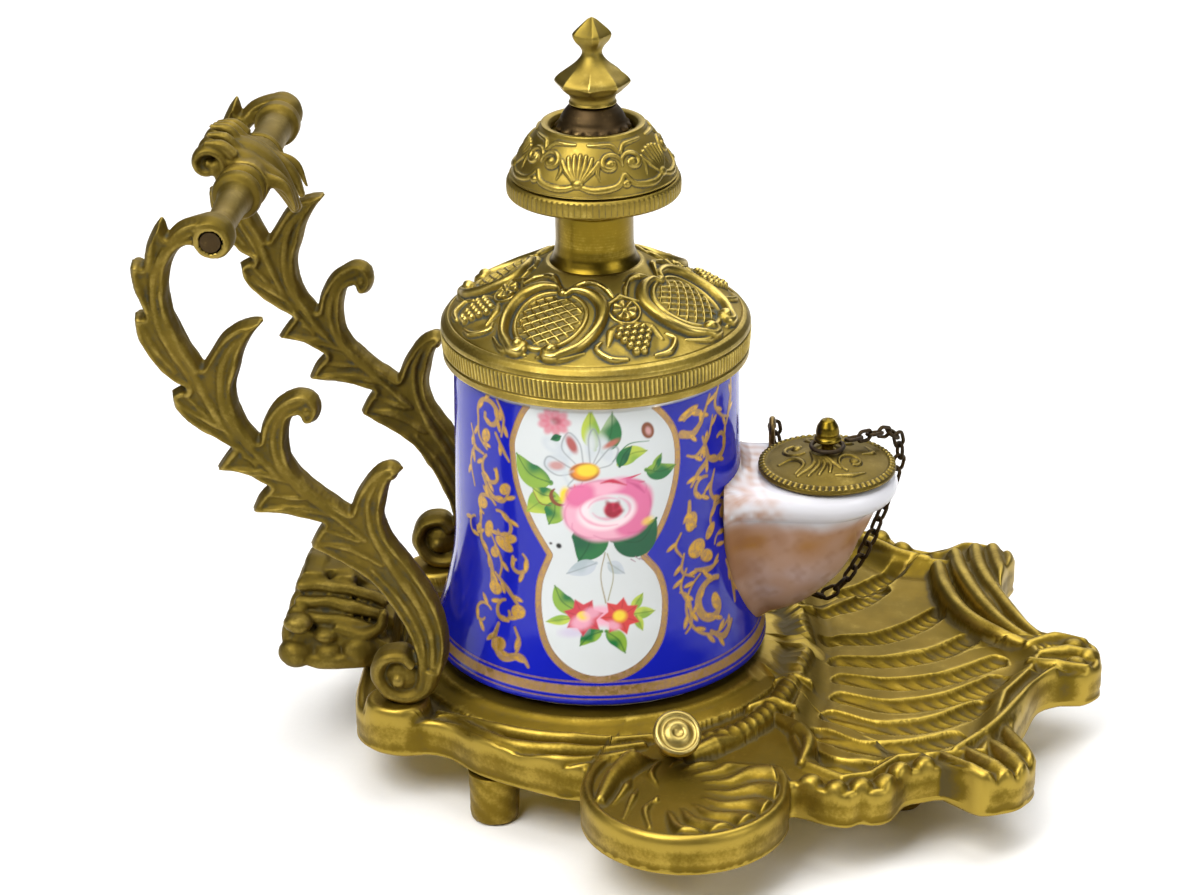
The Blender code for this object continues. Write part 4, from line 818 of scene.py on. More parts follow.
def gild(canvas, marks):
    """Gilt scrollwork with a darker outline: curls and lines with small leaves beside them, and blobs."""
    for grow, colour, leaf, gilt in ((0.13, GOLD_LINE, GOLD_LINE, 0.55), (0.0, GOLD, GOLD_LEAF, 1.0)):
        for kind, *rest in marks:
            if kind == "oval":
                at, size, turn = rest
                canvas.oval(at, (0.9 * size[0] + grow, 0.9 * size[1] + grow), leaf, turn, gilt=gilt)
                continue
            if kind == "curl":
                at, radii, turns, widths = rest
                path = spiral(at, *radii, *turns)
            else:
                path, widths = rest
            path = smooth_line(path, 0.5)
            canvas.stroke(path[::2], [0.62 * w + grow for w in widths], colour, gilt)
            ahead = np.gradient(path, axis=0)
            for k in range(4, len(path) - 3, 7):
                turn = math.degrees(math.atan2(ahead[k, 1], ahead[k, 0]))
                side = 1 if k % 2 else -1
                out = math.radians(turn + 32 * side)
                at = (path[k, 0] + 1.15 * math.cos(out), path[k, 1] + 1.15 * math.sin(out))
                canvas.oval(at, (1.05 + grow, 0.34 + grow), leaf, turn + 32 * side, gilt=gilt)


LEFT_SCROLLS = (
    ("line", [(-19.6, 57.2), (-18.0, 54.0), (-18.6, 50.4)], [0.2, 0.3, 0.2]),
    ("line", [(-27.2, 50.0), (-26.2, 46.6), (-27.6, 42.6), (-26.4, 38.4)], [0.2, 0.35, 0.3, 0.2]),
    ("curl", (-26.4, 30.2), (2.2, 0.7), (90, 400), [0.2, 0.35, 0.2]),
    ("oval", (-22.2, 31.4), (1.9, 1.1), 70),
    ("oval", (-17.0, 31.0), (1.6, 0.9), 20),
    ("line", [(-21.6, 30.6), (-19.0, 26.2), (-19.4, 22.6)], [0.2, 0.35, 0.2]),
    ("curl", (-22.6, 14.8), (2.4, 0.8), (40, 330), [0.2, 0.35, 0.2]),
    ("line", [(-15.2, 14.6), (-14.0, 12.2), (-14.6, 9.4)], [0.2, 0.4, 0.2]),
    ("curl", (-21.6, 53.6), (3.4, 1.0), (200, -200), [0.35, 0.75, 0.45]),
    ("line", [(-24.8, 52.4), (-24.6, 48.8), (-22.0, 46.6)], [0.3, 0.4, 0.3]),
    ("oval", (-22.6, 49.4), (1.5, 1.1), 60),
    ("line", [(-20.0, 50.6), (-18.2, 47.8), (-16.9, 46.0)], [0.3, 0.5, 0.2]),
    ("curl", (-21.0, 42.8), (3.2, 0.8), (120, 420), [0.3, 0.6, 0.35]),
    ("line", [(-23.4, 45.6), (-26.2, 45.8), (-27.4, 44.2)], [0.3, 0.5, 0.1]),
    ("line", [(-23.8, 41.6), (-21.4, 38.4), (-18.4, 38.0), (-16.8, 40.6)], [0.35, 0.7, 0.5, 0.2]),
    ("oval", (-18.0, 40.4), (1.5, 1.0), 40),
    ("curl", (-23.0, 35.2), (3.0, 1.4), (30, 250), [0.3, 0.55, 0.3]),
    ("oval", (-23.9, 36.0), (1.5, 1.2), 20),
    ("line", [(-24.6, 33.6), (-24.4, 28.6), (-21.8, 25.4), (-20.8, 20.8)], [0.3, 0.6, 0.5, 0.9]),
    ("curl", (-19.0, 32.8), (3.1, 1.2), (110, -130), [0.3, 0.45, 0.25]),
    ("oval", (-18.4, 29.6), (2.3, 1.2), -20),
    ("oval", (-20.6, 27.4), (1.3, 1.0), 40),
    ("curl", (-15.4, 26.6), (2.4, 0.8), (60, -240), [0.25, 0.5, 0.3]),
    ("line", [(-20.4, 23.4), (-17.4, 21.2), (-14.6, 18.4)], [0.3, 0.6, 0.3]),
    ("oval", (-20.2, 20.6), (1.6, 1.3), 0),
    ("oval", (-14.8, 17.6), (1.5, 1.3), 10),
    ("curl", (-17.4, 16.8), (2.3, 0.7), (100, 400), [0.25, 0.5, 0.3]),
    ("line", [(-18.6, 14.4), (-19.0, 11.2), (-16.6, 9.0), (-13.4, 9.8), (-11.6, 8.0)],
     [0.3, 0.8, 1.2, 0.8, 0.2]),
    ("oval", (-18.0, 10.8), (1.6, 1.3), 30),
)
RIGHT_SCROLLS = (
    ("line", [(26.0, 58.0), (24.4, 54.2), (26.6, 51.2), (29.4, 50.0)], [0.25, 0.5, 0.35, 0.2]),
    ("line", [(17.0, 46.6), (19.2, 46.0), (22.4, 48.6), (23.6, 52.2)], [0.2, 0.45, 0.4, 0.2]),
    ("line", [(24.0, 41.6), (22.8, 38.0), (24.6, 35.6), (28.0, 36.6)], [0.25, 0.55, 0.4, 0.2]),
    ("line", [(15.4, 32.0), (14.2, 29.6), (15.8, 27.0)], [0.2, 0.35, 0.2]),
    ("oval", (22.6, 30.2), (1.8, 1.0), 50),
    ("curl", (26.0, 27.2), (2.2, 0.8), (180, -120), [0.2, 0.4, 0.2]),
    ("curl", (21.8, 16.6), (6.6, 5.2), (110, 300), [0.2, 0.35, 0.2]),
    ("line", [(16.4, 24.8), (15.0, 21.8), (16.0, 18.6)], [0.2, 0.3, 0.2]),
    ("oval", (17.4, 54.6), (2.5, 0.8), 20),
    ("curl", (19.0, 52.0), (3.0, 1.0), (150, -60), [0.3, 0.8, 0.3]),
    ("line", [(15.8, 51.0), (18.4, 50.4), (20.6, 52.4), (22.8, 56.4)], [1.1, 0.9, 0.5, 0.3]),
    ("curl", (25.4, 46.6), (4.2, 1.0), (150, 480), [0.35, 0.85, 0.4]),
    ("line", [(28.4, 49.0), (30.4, 53.4), (30.6, 57.0)], [0.4, 0.8, 0.4]),
    ("line", [(20.8, 49.0), (22.0, 44.6), (19.4, 42.4), (17.6, 40.0)], [0.3, 0.6, 0.8, 0.3]),
    ("curl", (20.6, 39.0), (2.5, 0.9), (60, 330), [0.3, 0.6, 0.3]),
    ("line", [(17.4, 37.6), (17.4, 34.4), (18.8, 32.4)], [0.4, 0.8, 0.3]),
    ("oval", (17.8, 33.6), (1.4, 2.0), -15),
    ("curl", (25.6, 32.6), (3.0, 1.2), (200, -60), [0.3, 0.5, 0.3]),
    ("oval", (26.6, 32.6), (1.1, 1.3), 0),
    ("oval", (19.0, 28.0), (2.2, 1.9), 10),
    ("oval", (21.4, 25.8), (1.9, 1.2), -30),
    ("line", [(16.0, 27.8), (15.4, 24.6), (18.0, 22.8)], [0.2, 0.35, 0.15]),
    ("line", [(18.4, 24.0), (21.8, 23.0), (25.0, 23.6)], [0.3, 0.8, 0.25]),
    ("curl", (21.8, 16.6), (4.6, 1.2), (60, 390), [0.6, 1.25, 0.7]),
    ("oval", (22.6, 16.6), (1.1, 1.7), 5),
    ("line", [(20.2, 11.8), (22.8, 10.0), (26.2, 12.0)], [0.4, 0.9, 0.3]),
    ("line", [(14.8, 20.8), (16.4, 19.4), (16.4, 14.8), (15.0, 13.2)], [0.2, 0.4, 0.4, 0.15]),
    ("line", [(27.2, 22.6), (28.6, 18.6), (28.0, 13.8)], [0.3, 1.0, 0.35]),
)


def body_line():
    """The body's outer line, from its foot to the top edge that the cap hides."""
    foot = BODY_FOOT_Z
    knots = [(30.3, 0.0), (31.1, 0.7), (30.2, 4.0), (29.0, 8.0), (27.7, 13.0), (26.8, 18.0), (26.3, 24.0),
             (26.1, 32.0), (25.9, 45.0), (25.75, 54.6)]
    line = smooth_line([(r, foot + z) for r, z in knots], 0.15)
    rim = rounded_line([(25.75, foot + 54.6), (25.4, foot + 55.3), (25.4, BODY_TOP_Z - 0.4),
                        (25.0, BODY_TOP_Z), (22.2, BODY_TOP_Z), (22.2, foot + 8), (20.2, foot + 4.5)], 0.3,
                        0.6)
    under = rounded_line([(0.0, foot), (30.3, foot)], 0.1, 1.0)
    inside = rounded_line([(20.2, foot + 4.5), (0.0, foot + 4.5)], 0.1, 1.0)
    return np.vstack([under[:-1], line[:-1], rim[:-1], inside])


def paint_body(points, rows, sides):
    """Colours and gilding on the body's grid of points."""
    grid = points.reshape(rows, sides, 3)
    turn = -np.abs(np.arctan2(grid[..., 1], grid[..., 0]))
    u = (turn - PANEL_TURN) * PAINT_RADIUS
    z = np.repeat(grid[:, :1, 2] - GROUND, sides, axis=1)
    u = np.repeat(u[len(u) // 3:len(u) // 3 + 1], rows, axis=0)
    canvas = Canvas(u, z, COBALT)
    radius = np.hypot(grid[:, 0, 0], grid[:, 0, 1])
    outside = (radius > 25.6) & (np.arange(rows) < np.argmax(grid[:, 0, 2] > BODY_TOP_Z - 7))
    gild(canvas, LEFT_SCROLLS)
    gild(canvas, RIGHT_SCROLLS)
    paint_panel(canvas)
    paint_upper_bouquet(canvas)
    paint_lower_bouquet(canvas)
    band = fade(0.9, 0.7, np.abs(z - 5.4))
    canvas.colour = canvas.colour * (1 - band[..., None]) + np.array(GOLD) * band[..., None]
    canvas.gilt = np.maximum(canvas.gilt, band)
    for level in (3.9, 6.9):
        line = fade(0.2, 0.08, np.abs(z - level)) * 0.7
        canvas.colour = canvas.colour * (1 - line[..., None]) + np.array(GOLD_LINE) * line[..., None]
        canvas.gilt = np.maximum(canvas.gilt, line * 0.6)
    canvas.colour[~outside] = (0.80, 0.79, 0.75)
    canvas.gilt[~outside] = 0
    return canvas.colour.reshape(-1, 3), canvas.gilt.reshape(-1)


def set_paint(mesh, colour, gilt):
    """Stores the colours and the gilding for the porcelain's material."""
    layer = mesh.attributes.new("paint", "FLOAT_COLOR", "POINT")
    rgba = np.ones((len(colour), 4), np.float32)
    rgba[:, :3] = colour
    layer.data.foreach_set("color", rgba.ravel())
    add_values(mesh, "gilt", gilt)


def make_body():
    line = body_line()
    sides = 1100
    points, faces = lathe(line, sides)
    colour, gilt = paint_body(points, len(line), sides)
    radial = points * [1, 1, 0]
    radial /= np.maximum(np.linalg.norm(radial, axis=1, keepdims=True), 1e-6)
    points = points + radial * (0.03 * gilt[:, None])
    mesh, used = build_mesh("porcelain_body_painted", points, faces)
    set_paint(mesh, colour[used], gilt[used])
    return place("porcelain_body_painted", mesh, PORCELAIN, "base", ["porcelain_body"])


CUP_ROWS = (  # height over the body's foot, inset of the nose, half width
    (4.6, 23.5, 1.2), (5.2, 22.0, 2.6), (6.0, 20.0, 3.9), (7.5, 16.6, 5.2), (9.8, 13.6, 6.6),
    (13.6, 9.9, 8.0),
    (17.6, 7.6, 9.0), (23.0, 5.6, 10.1), (26.0, 4.5, 10.7), (27.4, 3.4, 11.2), (28.3, 1.9, 12.0),
    (29.2, 0.6, 12.6),
    (30.4, 0.0, 12.95), (31.6, 0.1, 12.95), (32.6, 0.6, 12.4), (33.1, 1.5, 11.6), (33.2, 2.6, 10.6))
CUP_NOSE = 54.7
CUP_MOUTH = 9.8


def cup_section(turn, nose, half, left):
    """Plan points of a shape with a round nose, whose straight sides run back to the left."""
    middle = min(CUP_X, nose - half)
    c, s = np.cos(turn), np.sin(turn)
    round_middle = nose - half
    shift = middle - round_middle
    reach = -shift * c + np.sqrt(np.maximum((shift * c) ** 2 - shift**2 + half**2, 0))
    with np.errstate(divide="ignore"):
        side = np.where(np.abs(s) > 1e-9, half / np.maximum(np.abs(s), 1e-9), 1e9)
        back = np.where(c < -1e-9, (middle - left) / np.maximum(-c, 1e-9), 1e9)
    straight = np.minimum(side, back)
    reach = np.where(middle + straight * c < round_middle, straight, reach)
    return np.stack([middle + reach * c, reach * s], 1)


def make_cup():
    """The spout cup, fired in one piece with the body."""
    sides = 260
    turn = TAU * np.arange(sides) / sides
    knots = smooth_line(CUP_ROWS, 0.35)
    foot = BODY_FOOT_Z
    rings = [np.column_stack([cup_section(turn, CUP_NOSE - inset, half, 23.6), np.full(sides, foot + z)])
             for z, inset, half in knots]
    top = rings[-1][0, 2]
    mouth = np.stack([CUP_X + CUP_MOUTH * np.cos(turn), CUP_MOUTH * np.sin(turn)], 1)
    shelf = rings[-1][:, :2]
    for share in np.linspace(0, 1, 22)[1:]:
        ring = shelf * (1 - share) + mouth * share
        rings.append(np.column_stack([ring, np.full(sides, top + 0.05 * math.sin(math.pi * share))]))
    well = [(CUP_X, CUP_MOUTH - 0.3, -0.3), (CUP_X, CUP_MOUTH - 0.4, -3.0), (CUP_X, CUP_MOUTH - 0.4, -6.0),
            (41.0, 8.2, -11.0), (40.4, 7.0, -14.0), (38.6, 4.6, -18.2), (37.9, 3.4, -21.0),
            (37.6, 1.8, -22.2),
            (37.6, 0.01, -22.4)]
    for x, radius, drop in smooth_line(well, 0.9):
        rings.append(np.column_stack([x + radius * np.cos(turn), radius * np.sin(turn),
                                      np.full(sides, top + drop)]))
    points = np.vstack(rings)
    weld_to_body(points, len(knots) * sides)
    faces = [grid_faces(len(rings), sides)]
    faces.append(np.array([[0, (i + 1), i] for i in range(1, sides - 1)]))
    last = (len(rings) - 1) * sides
    faces.append(np.array([[last, last + i, last + i + 1] for i in range(1, sides - 1)]))
    mesh, used = build_mesh("porcelain_cup", points, faces)
    set_paint(mesh, paint_cup(points)[used], np.zeros(len(used)))
    return place("porcelain_cup", mesh, PORCELAIN, "base", ())


def body_radius(z):
    """The body's outer radius at a height."""
    line = body_line()
    line = line[(line[:, 0] > 25.0)]
    order = np.argsort(line[:, 1], kind="stable")
    return np.interp(z, line[order, 1], line[order, 0])


def weld_to_body(points, count):
    """Flares the cup's sides and underside where they run into the body, as glaze fills a corner."""
    outer = points[:count]
    gap = np.hypot(outer[:, 0], outer[:, 1]) - body_radius(outer[:, 2])
    flare = 1.5 * np.clip(1 - np.maximum(gap, 0) / 3.2, 0, 1) ** 2
    outer[:, 1] += np.sign(outer[:, 1]) * flare
    top = outer[:, 2] > outer[:, 2].max() - 1.5
    outer[:, 2] += np.where(top, flare * 0.9, -0.3 * flare)
    rest = points[count:]
    gap = np.hypot(rest[:, 0], rest[:, 1]) - body_radius(rest[:, 2])
    outside = rest[:, 2] > outer[:, 2].max() - 3.2
    rest[:, 2] += np.where(outside, 1.35 * np.clip(1 - np.maximum(gap, 0) / 3.2, 0, 1) ** 2, 0)


def paint_cup(points):
    """White glaze on shelf and rim; below it a stained, mottled wash of pink, brown and ochre."""
    height = points[:, 2] - BODY_FOOT_Z
    gap = np.hypot(points[:, 0], points[:, 1]) - 26

    def wash(colour, tone, share):
        return colour + (np.array(tone) - colour) * np.clip(share, 0, 1)[:, None]

    broad, blotch, speck = (ripple(points, size, 1.0, seed) for size, seed in ((8.0, 5), (4.2, 6), (2.6, 7)))
    under = fade(28.2, 24.6, height + 0.5 * blotch)
    colour = wash(np.tile([0.70, 0.70, 0.74], (len(points), 1)), (0.46, 0.29, 0.21), under)
    colour = wash(colour, (0.36, 0.17, 0.05), fade(6.5, 0.0, np.abs(height - 23.4)) * under
                  * (0.62 + 0.35 * broad + 0.2 * blotch))
    colour = wash(colour, (0.52, 0.40, 0.38), fade(7.0, 0.0, np.abs(height - 14.0)) * under
                  * (0.35 + 0.4 * blotch))
    colour = wash(colour, (0.34, 0.15, 0.06), fade(11, 3, height + 2 * broad) * (0.55 + 0.25 * blotch))
    colour = wash(colour, (0.30, 0.14, 0.06), fade(8, 0, gap + 2.5 * broad) * under * 0.75)
    colour = wash(colour, (0.30, 0.15, 0.08), np.clip(0.5 * speck + 0.5 * blotch, 0, 1) * under * 0.45)
    colour = wash(colour, (0.50, 0.28, 0.18), fade(11, 1, gap + 3 * blotch) * (1 - under)
                  * (0.55 + 0.3 * speck))
    rim = fade(1.5, 0.2, np.abs(height - 29.4 - 0.4 * broad)) * fade(15, 4, gap)
    colour = wash(colour, (0.42, 0.22, 0.12), rim * (0.5 + 0.3 * speck))
    return wash(colour, (0.14, 0.07, 0.04), fade(1.5, 0, gap) * 0.75)


# ---- Cap, neck, knob and finial ------------------------------------------------------------------
CONE_FOOT, CONE_TOP = (26.0, 7.75), (8.9, 17.45)


def cone_relief(u, v):
    """One quarter of the cap: a basket-weave cartouche in a scrolled frame, and half of what is
    between two frames on each side. u is across, v up the slope from its foot."""
    frame_line = np.vstack([spiral((-3.0, 2.4), 0.9, 1.6, 20, -150, 10),
                            smooth_line([(-4.6, 1.8), (-7.4, 4.2), (-8.6, 8.4), (-7.6, 12.6), (-4.6, 15.6),
                                         (-1.4, 16.4), (-0.2, 15.2)], 0.5)])
    other = frame_line * [-1, 1] + [0.6, 0.0]
    inside = fade(1.0, 0.86, np.hypot(u / 7.6, (v - 9.0) / 7.0))
    lean = u * 0.70
    weave = highest(np.cos((lean + v) * TAU / 1.9), np.cos((lean - v) * TAU / 1.9)) ** 3
    weave = 0.42 * np.clip(weave, 0, 1) * inside * fade(1.0, 0.72, np.hypot(u / 6.6, (v - 9.0) / 6.2))
    bowl = 0.35 * inside * (1 - np.hypot(u / 7.6, (v - 9.0) / 7.0) ** 2)
    lips = highest(rope(u, v, frame_line, [1.1, 1.1, 1.2, 1.1, 0.9, 0.6], 1.6),
                   rope(u, v, other, [1.1, 1.1, 1.2, 1.1, 0.9, 0.6], 1.6),
                   knob(u, v, (-2.9, 2.5), 1.4, 2.0), knob(u, v, (3.4, 2.5), 1.4, 2.0),
                   knob(u, v, (0.2, 15.4), 0.9, 1.0))
    inner = rope(u, v, spiral((0, 9.0), 6.4, 6.4, 100, 430, 40), [0.45, 0.6, 0.4], 0.6)
    crest = highest(*[rope(u, v, [(s * 0.6, 16.2), (s * 3.4, 18.2), (s * 6.4, 17.6)], [0.4, 0.8, 0.3], 0.9)
                      for s in (-1, 1)])
    leaf_tips = highest(*[rope(u, v, [(s * 8.6, 13.0), (s * 10.4, 15.0), (s * 10.0, 17.4)], [0.5, 0.7, 0.3],
                               0.8)
                          for s in (-1, 1)])
    toe = highest(*[rope(u, v, [(s * 1.2 + 0.2, 1.0), (s * 5.6, 0.9), (s * 9.0, 2.6)], [0.4, 0.8, 0.3], 0.8)
                    for s in (-1, 1)])
    return highest(weave + bowl, lips, inner, crest, leaf_tips, toe)


def gap_relief(u, v):
    """Between two cartouches: a rosette over a bunch of grapes, with leaves and a shell at the rim."""
    at = (0.0, 11.4)
    r, angle = np.hypot(u - at[0], v - at[1]), np.arctan2(v - at[1], u - at[0])
    wave = np.abs(np.cos(4 * angle))
    petals = fade(2.5, 2.0, r + 0.35 * (1 - wave)) * (0.45 + 0.5 * wave)
    petals *= fade(0.3, 0.9, r) * 0.8 + 0.2
    rosette = highest(petals, knob(u, v, at, 0.75, 1.0),
                      rope(u, v, spiral(at, 2.75, 2.75, 0, 360, 30), [0.3, 0.3], 0.5))
    grapes = np.zeros_like(rosette)
    for row in range(5):
        count = 5 - abs(row - 3) if row else 2
        for k in range(count):
            spot = ((k - (count - 1) / 2) * 1.35, 2.2 + 1.25 * row)
            grapes = highest(grapes, knob(u, v, spot, 0.78, 1.15))
    grapes += 0.35 * fade(4.4, 2.4, np.hypot(u, v - 4.8))
    leaves = highest(*[rope(u, v, [(s * 1.2, 8.6), (s * 3.4, 7.2), (s * 5.0, 4.2)], [0.4, 0.9, 0.3], 0.7)
                       for s in (-1, 1)],
                     *[rope(u, v, [(s * 1.0, 14.2), (s * 1.8, 16.6), (s * 3.2, 18.2)], [0.4, 0.6, 0.3], 0.8)
                       for s in (-1, 1)],
                     *[rope(u, v, [(s * 2.6, 1.0), (s * 5.4, 1.2), (s * 7.2, 3.4), (s * 6.0, 5.0)],
                            [0.4, 0.7, 0.6, 0.3], 0.9) for s in (-1, 1)])
    return highest(rosette, grapes, leaves)


CAP_FIRST = math.radians(-112)  # middle of the front cartouche


def make_cap():
    """The cap: a reeded band and a cone with four cartouches, and what is between them."""
    base = BAND_Z
    band = rounded_line([(26.9, base + 0.1), (27.5, base + 0.25), (27.62, base + 1.5), (27.3, base + 1.75),
                         (27.55, base + 2.0), (27.75, base + 5.2), (27.5, base + 5.45), (27.85, base + 5.7),
                         (27.75, base + 6.5), (27.1, base + 7.4), (26.4, base + 7.75), (26.2, base + 7.45),
                         (CONE_FOOT[0], base + CONE_FOOT[1])], 0.22, 0.14)
    cone = rounded_line([(CONE_FOOT[0], base + CONE_FOOT[1]), (CONE_TOP[0], base + CONE_TOP[1])], 0.1, 0.14)
    inner = rounded_line([(CONE_TOP[0], base + CONE_TOP[1]), (8.6, CAP_TOP_Z), (6.0, CAP_TOP_Z),
                          (6.0, CAP_TOP_Z - 1.2),
                          (8.2, CAP_TOP_Z - 1.6), (16.0, base + 12.0), (26.4, base + 6.4),
                          (26.4, base + 0.1)], 0.2, 0.7)
    line = np.vstack([band[:-1], cone[:-1], inner[:-1]])
    along = np.concatenate([[0], np.cumsum(np.linalg.norm(np.diff(line, axis=0), axis=1))])
    cone_start = along[len(band) - 1]
    cone_length = math.dist(CONE_FOOT, CONE_TOP)

    def relief(turn, at):
        rows = line[:, :1]
        step = np.mod(turn - CAP_FIRST + math.pi / 4, math.pi / 2) - math.pi / 4
        between = np.mod(turn - CAP_FIRST, math.pi / 2) - math.pi / 4
        v = at - cone_start
        on_cone = (v >= 0) & (v <= cone_length)
        grow = fade(-0.1, 0.5, v) * fade(cone_length + 0.1, cone_length - 0.6, v)
        lift = np.zeros(np.broadcast(turn, at).shape)
        picked = np.nonzero(on_cone[:, 0])[0]
        u1, u2 = step * rows[picked], between * rows[picked]
        vv = np.broadcast_to(v[picked], u1.shape)
        made = highest(cone_relief(u1, vv), gap_relief(u2, vv))
        lift[picked] = made * grow[picked]
        height = line[:, 1:] - base
        reeds = fade(2.0, 2.25, height) * fade(5.3, 5.0, height) * (at < cone_start)
        lift += 0.15 * reeds * np.cos(200 * turn + 0.5 * (height - 3.5))
        return lift

    piece("cap_embossed", lathe(line, 1152, relief, closed=True), GILT, "base", ["cap_cover"],
          (45, 0.30))


def make_neck():
    z = NECK_Z
    line = rounded_line([(2.9, z - 2.4), (5.6, z - 2.4), (5.6, z), (8.2, z), (8.75, z + 1.0), (8.75, z + 1.9),
                         (8.3, z + 2.7), (7.7, z + 3.6), (7.2, z + 4.8), (6.95, z + 6.6),
                         (6.95, NECK_TOP_Z - 1.2),
                         (7.2, NECK_TOP_Z - 0.7), (6.8, NECK_TOP_Z), (4.7, NECK_TOP_Z), (4.7, z + 2.6),
                         (2.9, z + 2.6)], 0.3, 0.2)

    def tool_marks(turn, along):
        return 0.006 * np.sin(21 * along) + 0 * turn

    piece("neck_turned", lathe(line, 200, tool_marks, closed=True), BRASS, "base", ["neck_collar"],
          (8, 0.08))


KNOB_SECTORS = 5


def knob_relief(u, v, width):
    """One sector of the knob's dome: a fan palmette with scrolls beside it. v runs up the dome."""
    ribs = highest(*[rope(u, v, [(0.15 * k, 2.6), (0.85 * k, 5.4), (1.15 * k, 8.2 - 0.15 * k * k)],
                          [0.25, 0.55, 0.4], 0.8)
                     for k in range(-3, 4)])
    half = 0.5 * width
    scrolls = []
    for s in (-1, 1):
        scrolls.append(rope(u, v, spiral((s * (half - 2.2), 6.4), 2.3, 0.6, 90 - s * 100, 90 + s * 290, 26),
                            [0.35, 0.6, 0.5], 0.85))
        scrolls.append(rope(u, v, [(s * 0.6, 2.0), (s * 2.8, 1.3), (s * (half - 1.6), 1.9),
                                   (s * (half - 0.1), 4.0)],
                            [0.5, 0.75, 0.6, 0.4], 0.85))
        scrolls.append(rope(u, v, [(s * (half - 0.3), 8.6), (s * (half - 1.8), 10.2), (s * 1.4, 10.4)],
                            [0.5, 0.6, 0.3], 0.7))
        scrolls.append(knob(u, v, (s * (half - 2.2), 6.4), 0.9, 1.0))
        scrolls.append(rope(u, v, [(s * 3.6, 3.2), (s * 3.2, 5.2), (s * 4.0, 7.6)], [0.2, 0.5, 0.2], 0.5))
    heart = highest(knob(u, v, (0, 2.5), 1.0, 1.0), knob(u, v, (half, 2.2), 0.8, 0.9),
                    knob(u, v, (-half, 2.2), 0.8, 0.9))
    return highest(ribs, heart, *scrolls)


def make_knob():
    z = KNOB_Z
    dome = smooth_line([(14.55, z + 3.9), (14.1, z + 5.0), (13.3, z + 6.6), (12.0, z + 8.6), (10.6, z + 10.6),
                        (9.4, z + 12.1)], 0.13)
    top = rounded_line([(9.4, z + 12.1), (9.15, z + 12.9), (8.5, KNOB_TOP_Z - 0.05), (7.9, KNOB_TOP_Z - 0.3),
                        (7.5, KNOB_TOP_Z - 1.0), (7.5, KNOB_TOP_Z - 1.8), (9.0, KNOB_TOP_Z - 1.8),
                        (10.2, z + 8.6),
                        (12.9, z + 3.8), (12.9, z + 0.45), (13.9, z + 0.45), (13.95, z + 3.55),
                        (14.6, z + 3.6),
                        (14.95, z + 3.75), (14.55, z + 3.9)], 0.18, 0.25)
    line = np.vstack([dome[:-1], top[:-1]])
    length = np.linalg.norm(np.diff(dome, axis=0), axis=1).sum()

    def relief(turn, at):
        sector = TAU / KNOB_SECTORS
        step = np.mod(turn + math.radians(97) + sector / 2, sector) - sector / 2
        v = np.where(at < length, at * 11.0 / length, 0.0)
        lift = knob_relief(step * 12.6, v + 0 * turn, 12.6 * sector)
        on = (at < length) * fade(0.0, 0.6, v) * fade(11.0, 10.3, v)
        return 0.62 * lift * on

    shell = lathe(line, 900, relief, closed=True)
    piece("knob_dome", shell, GILT, "knob", ["knob_shell"], (8, 0.13))
    ring = rounded_line([(14.3, z), (15.0, z), (15.33, z + 0.45), (15.4, z + 1.7), (15.3, z + 2.75),
                         (14.9, z + 3.3),
                         (14.3, z + 3.3)], 0.3, 0.12)
    inner = rounded_line([(14.3, z + 3.3), (14.28, z + 1.6), (14.3, z)], 0.1, 0.5)
    ring = np.vstack([ring[:-1], inner[:-1]])

    def reeds(turn, at):
        height = ring[:, 1:] - z
        on = fade(0.25, 0.6, height) * fade(3.1, 2.7, height) * (ring[:, :1] > 14.9)
        return on * (0.16 * np.abs(np.cos(45 * turn)) ** 0.8 - 0.10)

    piece("knob_milled_ring", lathe(ring, 1080, reeds, closed=True), GILT, "knob", ["knob_base_ring"],
          (6, 0.10))


def make_finial():
    z = BOSS_Z
    height = BOSS_TOP_Z - BOSS_Z
    line = rounded_line([(2.2, z), (5.9, z), (6.2, z + 0.3), (6.55, z + 0.9), (6.2, z + 1.7), (5.8, z + 2.2),
                         (5.6, z + 2.8), (5.0, z + 3.8), (4.1, z + height), (2.2, z + height)], 0.35, 0.14)

    def beads(turn, at):
        level = line[:, 1:] - z
        return 0.42 * fade(0.2, 0.9, level) * fade(1.9, 1.1, level) * (np.abs(np.cos(8 * turn)) - 0.35)

    piece("finial_beaded_boss", lathe(line, 256, beads, closed=True), DARK, "knob", ["finial_boss"],
          (6, 0.14))
    z = FINIAL_Z
    line = smooth_line([(2.2, z), (4.1, z), (3.95, z + 0.7), (4.3, z + 1.7), (5.6, z + 2.6), (6.5, z + 3.5),
                        (6.62, z + 4.1), (6.0, z + 4.9), (4.7, z + 5.9), (3.0, z + 7.1), (2.05, z + 8.2),
                        (1.75, z + 9.1),
                        (2.1, z + 10.0), (3.0, z + 11.1), (3.35, z + 12.0), (3.1, z + 12.6), (1.9, z + 13.8),
                        (0.8, z + 14.8), (0.0, z + 15.25)], 0.16)
    line = np.vstack([[(0.0, z)], line])

    def facets(turn, at):
        level = line[:, 1:] - z
        square = 1 / np.maximum(np.abs(np.cos(turn + 0.5)), np.abs(np.sin(turn + 0.5)))
        round_off = np.minimum(square, 1.22)
        belly = fade(9.3, 11.4, level)
        eight = np.cos(math.pi / 8) / np.cos(np.mod(turn, math.pi / 4) - math.pi / 8)
        disc = fade(2.0, 3.2, level) * fade(7.5, 5.2, level)
        radius = line[:, :1]
        lift = radius * belly * (0.80 * round_off - 1 + 0.04)
        return lift + radius * disc * (eight - 1) * 0.9

    piece("finial_faceted", lathe(line, 220, facets), GILT, "knob", ["finial"], (8, 0.2))


